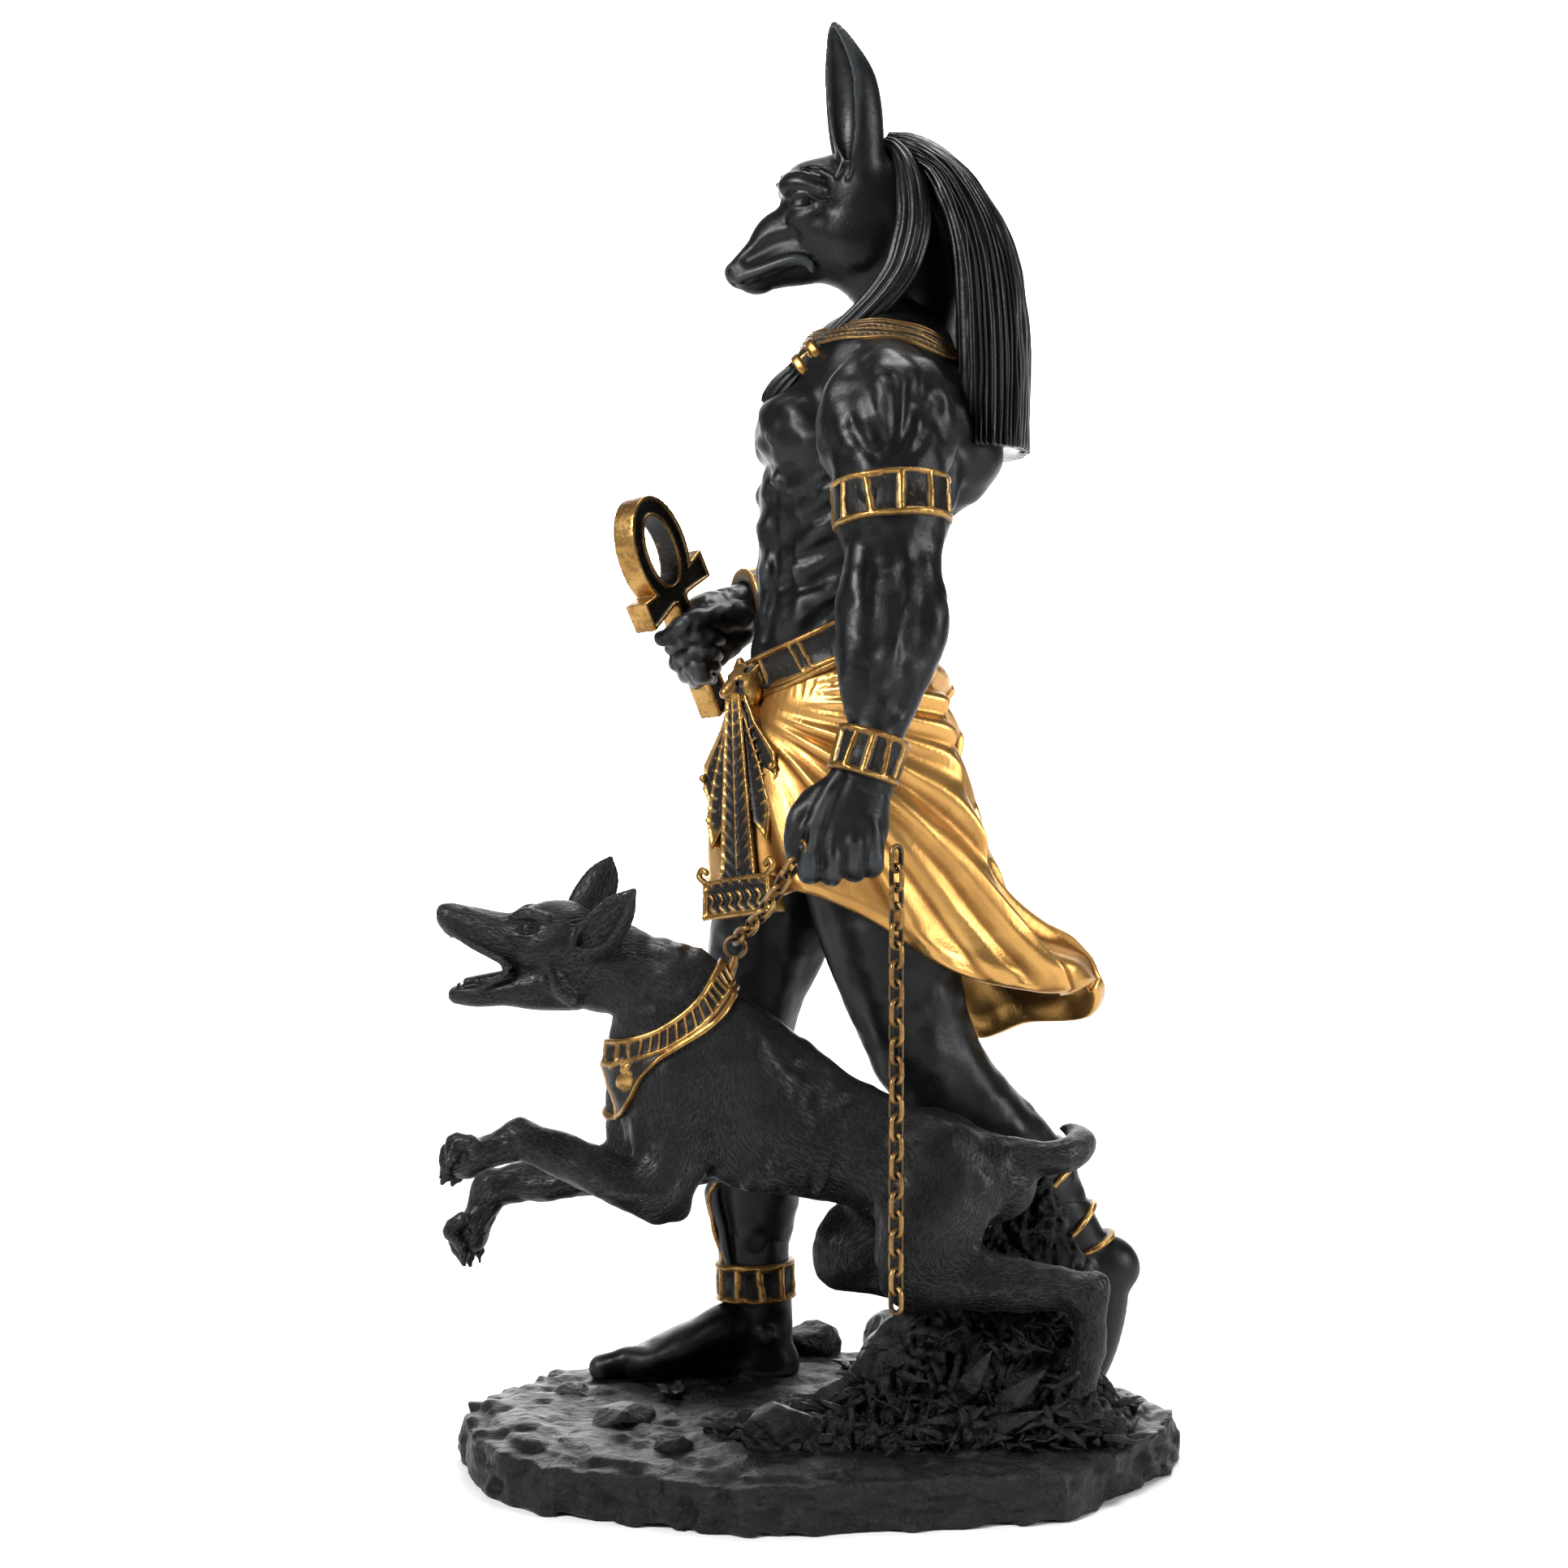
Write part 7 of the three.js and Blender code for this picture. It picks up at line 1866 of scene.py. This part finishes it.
def coat_group():
    """Short incised strokes that lie along the coat, each around a point of a scatter."""
    group, inside, out = new_group("Coat strokes",
                                   [("Place", None), ("Coat", None), ("Facing", None), ("Density", 700.0)],
                                   ["Stroke"])
    cells = wired(group, "TexVoronoi", "Scatter", None, Vector=inside.outputs["Place"],
                  Scale=inside.outputs["Density"], Randomness=1.0)
    away = vectors(group, "SUBTRACT", i0=inside.outputs["Place"], i1=cells.outputs["Position"])
    side = vectors(group, "CROSS_PRODUCT", i0=inside.outputs["Facing"], i1=inside.outputs["Coat"])
    along = vectors(group, "DOT_PRODUCT", "Value", i0=away, i1=inside.outputs["Coat"])
    across = vectors(group, "DOT_PRODUCT", "Value", i0=away, i1=side)
    long, wide = maths(group, "MULTIPLY", along, 1150.0), maths(group, "MULTIPLY", across, 4600.0)
    spread = wired(group, "CombineXYZ", "", None, X=long, Y=wide).outputs[0]
    reach = vectors(group, "LENGTH", "Value", i0=spread)
    spared = maths(group, "MULTIPLY",
                   wired(group, "SeparateColor", "", None, Color=cells.outputs["Color"]).outputs[0], 0.6)
    group.links.new(ramp(group, maths(group, "ADD", reach, spared), 0.55, 1.15, 1.0, 0.0), out.inputs["Stroke"])
    return group


def new_material(name):
    """A material with its tree and its main shader."""
    material = bpy.data.materials.new(name)
    material.use_nodes = True
    tree = material.node_tree
    return material, tree, tree.nodes["Principled BSDF"]


def dents(tree, shader, height, deep):
    """Shades a surface as if it were dented by a height; `deep` is in metres."""
    bump = wired(tree, "Bump", "", None, Height=height, Distance=deep, Strength=1.0)
    tree.links.new(bump.outputs[0], shader.inputs["Normal"])


def cast_masks(tree, wear_and_shade, edge, hollow, grain):
    """Masks of the raised edges (rubbed paint and painted highlights), the hollows (painted shade) and the grain of
    a casting.
    """
    node = wired(tree, "Group", "Cast surface", {"node_tree": wear_and_shade}, Edge=edge, Hollow=hollow, Grain_size=grain)
    return node.outputs


def resin_material(name, wear_and_shade, dark, worn, roughness, pits=0.00004, fur=None, rubbing=0.6, coarse=0.0):
    """Painted black resin, satin with rubbed edges, hollows darkened with painted shade and made rougher, and tiny
    pits.

    `fur` is the group that draws a coat, and `coarse` is how broken the surface is.
    """
    material, tree, shader = new_material(name)
    shader.inputs["Specular IOR Level"].default_value = 0.24
    marks = cast_masks(tree, wear_and_shade, 0.42 if coarse else 0.18, -0.12, 1400.0)
    place = wired(tree, "TexCoord")
    tone = blend(tree, ramp(tree, marks["Blotches"], 0.35, 0.75, 0.0, 0.5), dark,
                 [0.95 * a + 0.05 * b for a, b in zip(dark, worn)])
    tone = blend(tree, maths(tree, "MULTIPLY", marks["Worn edges and highlights"], rubbing), tone, worn)
    # Painted shade: the hollows are darkened towards a deeper black, and below they are made rougher
    tone = blend(tree, maths(tree, "MULTIPLY", marks["Shaded hollows"], 0.6), tone, darker(dark, 0.35))
    rough = ramp(tree, marks["Blotches"], 0.25, 0.75, roughness - 0.06, roughness + 0.08)
    rough = maths(tree, "ADD", rough, maths(tree, "MULTIPLY", marks["Shaded hollows"], 0.2))
    spot = place.outputs["Object"]
    speck = texture(tree, "Voronoi", "Pits", spot, 520.0, "Distance")
    height = maths(tree, "ADD", marks["Grain"], ramp(tree, speck, 0.02, 0.14, -0.9, 0.0))
    tooled = texture(tree, "Noise", "Tooling", spot, 260.0, Detail=3.0, Roughness=0.5)
    height = maths(tree, "ADD", height, maths(tree, "MULTIPLY", tooled, 4.0))
    if coarse:
        lumps = texture(tree, "Noise", "Broken stone", spot, 420.0, Detail=6.0, Roughness=0.7)
        height = maths(tree, "ADD", height, maths(tree, "MULTIPLY", lumps, 1.6 * coarse))
        chips = texture(tree, "Voronoi", "Chips", spot, 330.0, "Distance", {"distance": "MANHATTAN"})
        height = maths(tree, "ADD", height, maths(tree, "MULTIPLY", chips, 0.7 * coarse))
        broken = maths(tree, "MULTIPLY", ramp(tree, chips, 0.5, 0.9), ramp(tree, lumps, 0.5, 0.7, 0.0, 0.6))
        tone = blend(tree, broken, tone, darker(worn, 0.5))
    if fur:
        coat = vectors(tree, "NORMALIZE", i0=mark(tree, "coat", "Way of the coat", "Vector"))
        shift = vectors(tree, "ADD", i0=spot, i1=(0.31, 0.17, 0.23))
        facing = place.outputs["Normal"]
        strokes = [wired(tree, "Group", "Coat strokes", {"node_tree": fur}, Place=at, Coat=coat, Facing=facing,
                         Density=dense).outputs[0]
                   for at, dense in ((spot, 840.0), (shift, 760.0), (shift, 610.0))]
        stroke = maths(tree, "MAXIMUM", maths(tree, "MAXIMUM", *strokes[:2]), strokes[2])
        height = maths(tree, "SUBTRACT", maths(tree, "MULTIPLY", height, 0.3), maths(tree, "MULTIPLY", stroke, 1.6))
        # Painted shade: the incised coat strokes are darkened as well as dented
        tone = blend(tree, maths(tree, "MULTIPLY", stroke, 0.85), blend(tree, 0.07, tone, worn), darker(dark, 0.3))
    tree.links.new(tone, shader.inputs["Base Color"])
    tree.links.new(rough, shader.inputs["Roughness"])
    dents(tree, shader, height, pits)
    return material


def gold_material(name, wear_and_shade, gold, shadow, roughness):
    """Gold paint or metal, with painted shade in the folds and a painted highlight on the raised edges."""
    material, tree, shader = new_material(name)
    marks = cast_masks(tree, wear_and_shade, 0.06, -0.02, 1700.0)
    place = wired(tree, "TexCoord").outputs["Object"]
    cloudy = texture(tree, "Noise", "Clouds in the paint", place, 46.0, Detail=6.0, Roughness=0.55, Distortion=0.6)
    light = [min(1, 1.3 * c) for c in gold[:3]] + [1]
    tone = blend(tree, ramp(tree, cloudy, 0.42, 0.66, 0.0, 0.55), gold,
                 [0.55 * a + 0.45 * b for a, b in zip(gold, shadow)])
    # Painted shade: the hollows of the folds take the shadow colour
    tone = blend(tree, maths(tree, "MULTIPLY", marks["Shaded hollows"], 0.9), tone, shadow)
    # Painted highlight: the raised edges of the folds are lightened towards a brighter gold
    tone = blend(tree, maths(tree, "MULTIPLY", marks["Worn edges and highlights"], 0.5), tone, light)
    tree.links.new(tone, shader.inputs["Base Color"])
    shader.inputs["Metallic"].default_value = 0.92
    rough = maths(tree, "ADD", ramp(tree, cloudy, 0.3, 0.7, roughness - 0.08, roughness + 0.12),
                  maths(tree, "MULTIPLY", marks["Shaded hollows"], 0.2))
    tree.links.new(rough, shader.inputs["Roughness"])
    dents(tree, shader, maths(tree, "ADD", marks["Grain"], maths(tree, "MULTIPLY", cloudy, 8.0)), 0.00005)
    return material


def gilt_material(name, wear_and_shade, gold, dark, by_relief):
    """Worn gold on the raised parts over a dark speckled ground."""
    material, tree, shader = new_material(name)
    marks = cast_masks(tree, wear_and_shade, 0.0, -0.1, 1100.0)
    if by_relief:
        share = ramp(tree, mark(tree, "proud"), 0.1, 0.38)
    else:
        share = mark(tree, "gilt")
    patina = ramp(tree, marks["Blotches"], 0.3, 0.66, 0.1, 1.0)
    uneven = maths(tree, "ADD", marks["Grain"], maths(tree, "MULTIPLY", marks["Blotches"], -0.5))
    share = maths(tree, "MULTIPLY", share, ramp(tree, uneven, 0.02, 0.3, 0.4, 1.0))
    flecks = ramp(tree, marks["Grain"], 0.6, 0.72, 0.0, 0.3)
    share = maths(tree, "MAXIMUM", share, flecks)
    tone = blend(tree, patina, gold, [0.5 * gold[0], 0.42 * gold[1], 0.32 * gold[2], 1])
    tone = blend(tree, share, dark, tone)
    tree.links.new(tone, shader.inputs["Base Color"])
    tree.links.new(ramp(tree, share, 0.0, 1.0, 0.1, 0.95), shader.inputs["Metallic"])
    shader.inputs["Specular IOR Level"].default_value = 0.3
    tree.links.new(ramp(tree, share, 0.0, 1.0, 0.48, 0.34), shader.inputs["Roughness"])
    dents(tree, shader, maths(tree, "ADD", marks["Grain"], marks["Blotches"]), 0.00009)
    return material


def backdrop_material():
    """The pale sweep behind the figures."""
    material, tree, shader = new_material("pale_backdrop")
    place = wired(tree, "TexCoord").outputs["Object"]
    cloud = texture(tree, "Noise", "", place, 3.0)
    tree.links.new(blend(tree, cloud, (0.79, 0.8, 0.81, 1), (0.83, 0.835, 0.84, 1)), shader.inputs["Base Color"])
    shader.inputs["Roughness"].default_value = 0.9
    return material


# Settings, the makers and the panel


def tint(name, description, *shades):
    """A colour setting."""
    return FloatVectorProperty(name=name, description=description, subtype="COLOR", size=4, default=(*shades, 1))


class StatuetteSettings(bpy.types.PropertyGroup):
    fur_depth: FloatProperty(name="Fur depth", description="Depth of the strokes of the coat, in millimetres",
                             default=0.13, min=0)
    resin_roughness: FloatProperty(name="Resin roughness", description="Roughness of the god's black skin",
                                   default=0.4, min=0, max=1)
    skin_colour: tint("Skin", "Black of the god's skin", 0.0021, 0.0024, 0.0027)
    rubbed_colour: tint("Rubbed edges", "Grey of the worn edges", 0.036, 0.04, 0.043)
    stone_colour: tint("Ground", "Black of the rocky base", 0.0019, 0.0021, 0.0022)
    cloth_colour: tint("Kilt gold", "Gold of the kilt", 0.56, 0.305, 0.09)
    fold_shade_colour: tint("Painted fold shade", "Painted shade in the folds of the gold", 0.15, 0.055, 0.009)
    trim_colour: tint("Antique gold", "Gold of the trims", 0.50, 0.30, 0.10)
    camera_lens: FloatProperty(name="Lens", description="Focal length of the camera", subtype="DISTANCE_CAMERA",
                               default=64)


def settings():
    """The sizes and colours that the user has set."""
    return bpy.context.scene.statuette


BAND_FLOOR = (0.0045, 0.0038, 0.0032, 1)  # brown-black between the gilt parts


def material(name):
    """A material by name, made the first time that it's asked for."""
    if name in bpy.data.materials:
        return bpy.data.materials[name]
    s = settings()
    wear_and_shade = bpy.data.node_groups.get("Cast surface") or wear_and_shade_group()
    skin, rubbed, stone = tuple(s.skin_colour), tuple(s.rubbed_colour), tuple(s.stone_colour)
    cloth, fold_shade, trim = tuple(s.cloth_colour), tuple(s.fold_shade_colour), tuple(s.trim_colour)
    makers = {
        "black_skin": lambda: resin_material("black_skin", wear_and_shade, skin, rubbed, s.resin_roughness),
        "black_hair": lambda: resin_material("black_hair", wear_and_shade, skin, rubbed, 0.35, 0.00005),
        "fur_coat": lambda: resin_material("fur_coat", wear_and_shade, stone, rubbed, 0.4, s.fur_depth * MM, fur=coat_group(),
                                           rubbing=0.3),
        "rough_ground": lambda: resin_material("rough_ground", wear_and_shade, stone, rubbed, 0.37, 0.0003, rubbing=0.62,
                                               coarse=1.8),
        "gold_cloth": lambda: gold_material("gold_cloth", wear_and_shade, cloth, fold_shade, 0.34),
        "gilt_bands": lambda: gilt_material("gilt_bands", wear_and_shade, trim, BAND_FLOOR, False),
        "gilt_relief": lambda: gilt_material("gilt_relief", wear_and_shade, trim, BAND_FLOOR, True),
        "pale_backdrop": backdrop_material,
    }
    return makers[name]()


class Maker(bpy.types.Operator):
    """What all the operators share"""
    bl_options = {"REGISTER", "UNDO"}


class STATUETTE_OT_god(Maker):
    """Models the god's body"""
    bl_idname = "statuette.god"
    bl_label = "God's body"

    def execute(self, context):
        for make, name in ((god_torso, "torso"), (god_head, "jackal_mask"), (near_arm, "left_arm"),
                           (near_hand, "left_fist"), (far_arm, "right_arm"), (far_hand, "right_fist"),
                           (front_leg, "right_leg"), (front_foot, "right_foot"), (rear_leg, "left_leg"),
                           (rear_foot, "left_foot")):
            clay_piece(name, make(), "black_resin", material("black_skin"))
        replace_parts(bpy.data.objects["torso"], "striding_god")
        return {"FINISHED"}


class STATUETTE_OT_dress(Maker):
    """Models the headcloth, the collar, the bands, the belt, the apron and the kilt"""
    bl_idname = "statuette.dress"
    bl_label = "Dress and trims"

    def execute(self, context):
        hair = Skin()
        falling_hair(hair)
        front_locks(hair)
        hair.piece("headcloth", "black_resin", material("black_hair"), 0.7)
        for name, make in (("lock_ties", lock_ties), ("broad_collar", broad_collar),
                           ("arm_and_leg_bands", god_bands), ("belt", belt)):
            skin = Skin()
            make(skin)
            skin.piece(name, "antique_gold", material("gilt_bands"), 0.6)
        clay_piece("apron", apron(), "antique_gold", material("gilt_relief"), 0.55)
        clay_piece("buckle", buckle(), "antique_gold", material("gilt_relief"))
        kilt_piece(material("gold_cloth"))
        return {"FINISHED"}


class STATUETTE_OT_ankh(Maker):
    """Models the ankh"""
    bl_idname = "statuette.ankh"
    bl_label = "Ankh"

    def execute(self, context):
        piece = clay_piece("ankh_casting", ankh(), "antique_gold", material("gilt_bands"), 0.42, gilt=ankh_gilding)
        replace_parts(piece, "ankh")
        return {"FINISHED"}


class STATUETTE_OT_jackal(Maker):
    """Models the leashed jackal and its collar"""
    bl_idname = "statuette.jackal"
    bl_label = "Jackal"

    def execute(self, context):
        body = clay_piece("jackal_body", jackal_body(), "fur_resin", material("fur_coat"), coat=coat_way)
        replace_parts(body, "jackal")
        clay_piece("jackal_head", jackal_head(), "fur_resin", material("fur_coat"), coat=coat_way)
        clay_piece("forepaws", forepaws(), "fur_resin", material("fur_coat"), coat=coat_way)
        skin = Skin()
        jackal_collar(skin)
        skin.piece("jackal_collar", "antique_gold", material("gilt_bands"))
        return {"FINISHED"}


class STATUETTE_OT_chains(Maker):
    """Models both stretches of chain"""
    bl_idname = "statuette.chains"
    bl_label = "Chains"

    def execute(self, context):
        for make, name, node in ((leash, "leash_links", "leash_chain"),
                                 (hanging_chain, "hanging_links", "hanging_chain")):
            skin = Skin()
            make(skin)
            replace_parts(skin.piece(name, "chain_metal", material("gilt_bands")), node)
        return {"FINISHED"}


class STATUETTE_OT_base(Maker):
    """Models the rocky base with its boulders and plants"""
    bl_idname = "statuette.base"
    bl_label = "Base"

    def execute(self, context):
        piece = clay_piece("slab", slab(), "ground_resin", material("rough_ground"), 0.42)
        clay_piece("bush", bush(), "ground_resin", material("rough_ground"), 0.5)
        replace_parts(piece, "rock_base")
        skin = Skin()
        for i, (centre, radii, turn) in enumerate(ROCKS):
            rock(skin, centre, radii, turn, i + 1)
        skin.piece("boulders", "ground_resin", material("rough_ground"), 0.4)
        skin = Skin()
        greenery(skin)
        skin.piece("plants", "ground_resin", material("rough_ground"))
        return {"FINISHED"}


def add_light(name, place, target, size, watts):
    """A round soft lamp that faces a target."""
    light = bpy.data.lights.new(name, "AREA")
    light.shape, light.size, light.energy = "DISK", size, watts
    lamp = bpy.data.objects.new(name, light)
    bpy.context.scene.collection.objects.link(lamp)
    lamp.location = place
    lamp.rotation_mode = "QUATERNION"
    lamp.rotation_quaternion = (Vector(target) - Vector(place)).to_track_quat("-Z", "Y")
    return lamp


CAMERA_PLACE = (-0.007, -0.580, 0.1579)
CAMERA_TILT = 1.77  # degrees below level


class STATUETTE_OT_studio(Maker):
    """Sets up the pale floor, the soft studio lights and the camera"""
    bl_idname = "statuette.studio"
    bl_label = "Studio"

    def execute(self, context):
        scene = context.scene
        bend = [(1.3 + 0.6 * math.sin(t), 0.6 - 0.6 * math.cos(t)) for t in np.linspace(0, math.pi / 2, 16)]
        profile = [(-4.0, 0.0), *bend, (1.9, 3.2)]
        corners = [(x, y, z) for y, z in profile for x in (-4.0, 4.0)]
        sweep = bpy.data.meshes.new("floor")
        sweep.from_pydata(corners, [], [(2 * i, 2 * i + 1, 2 * i + 3, 2 * i + 2) for i in range(len(profile) - 1)])
        sweep.shade_smooth()
        sweep.materials.append(material("pale_backdrop"))
        floor = bpy.data.objects.new("floor", sweep)
        scene.collection.objects.link(floor)
        middle = (0, 0, 0.15)
        lamps = [
            add_light("key_light", (-0.7, -0.65, 0.8), middle, 0.4, 19),
            add_light("fill_light", (0.95, -0.5, 0.4), middle, 0.45, 8),
            add_light("top_light", (0.15, 0.3, 1.1), middle, 0.45, 11),
            add_light("backdrop_light", (0, 0.6, 1.9), (0, 1.9, 0.4), 1.6, 60),
        ]
        lamps[-1].data.spread = math.radians(80)
        world = bpy.data.worlds.new("studio")
        world.use_nodes = True
        world.node_tree.nodes["Background"].inputs["Color"].default_value = (0.94, 0.95, 0.97, 1)
        world.node_tree.nodes["Background"].inputs["Strength"].default_value = 0.1
        scene.world = world
        lens = bpy.data.cameras.new("camera")
        lens.lens, lens.sensor_width = settings().camera_lens, 36
        camera = bpy.data.objects.new("camera", lens)
        scene.collection.objects.link(camera)
        camera.location = CAMERA_PLACE
        camera.rotation_euler = (math.radians(90 - CAMERA_TILT), 0, 0)
        scene.camera = camera
        scene.view_settings.view_transform = "Standard"
        return {"FINISHED"}


MAKERS = (STATUETTE_OT_god, STATUETTE_OT_dress, STATUETTE_OT_ankh, STATUETTE_OT_jackal, STATUETTE_OT_chains,
          STATUETTE_OT_base, STATUETTE_OT_studio)


class STATUETTE_PT_panel(bpy.types.Panel):
    """Lists the settings and the operators"""
    bl_label = "Statuette"
    bl_idname = "STATUETTE_PT_panel"
    bl_space_type = "VIEW_3D"
    bl_region_type = "UI"
    bl_category = "Statuette"

    def draw(self, context):
        for name in StatuetteSettings.__annotations__:
            self.layout.prop(context.scene.statuette, name)
        for maker in MAKERS:
            self.layout.operator(maker.bl_idname)


CLASSES = (StatuetteSettings, *MAKERS, STATUETTE_PT_panel)


def register():
    for cls in CLASSES:
        bpy.utils.register_class(cls)
    bpy.types.Scene.statuette = PointerProperty(type=StatuetteSettings)


def unregister():
    del bpy.types.Scene.statuette
    for cls in reversed(CLASSES):
        bpy.utils.unregister_class(cls)


def main():
    register()
    for maker in MAKERS:
        group, name = maker.bl_idname.split(".")
        getattr(getattr(bpy.ops, group), name)()


if __name__ == "__main__":
    main()
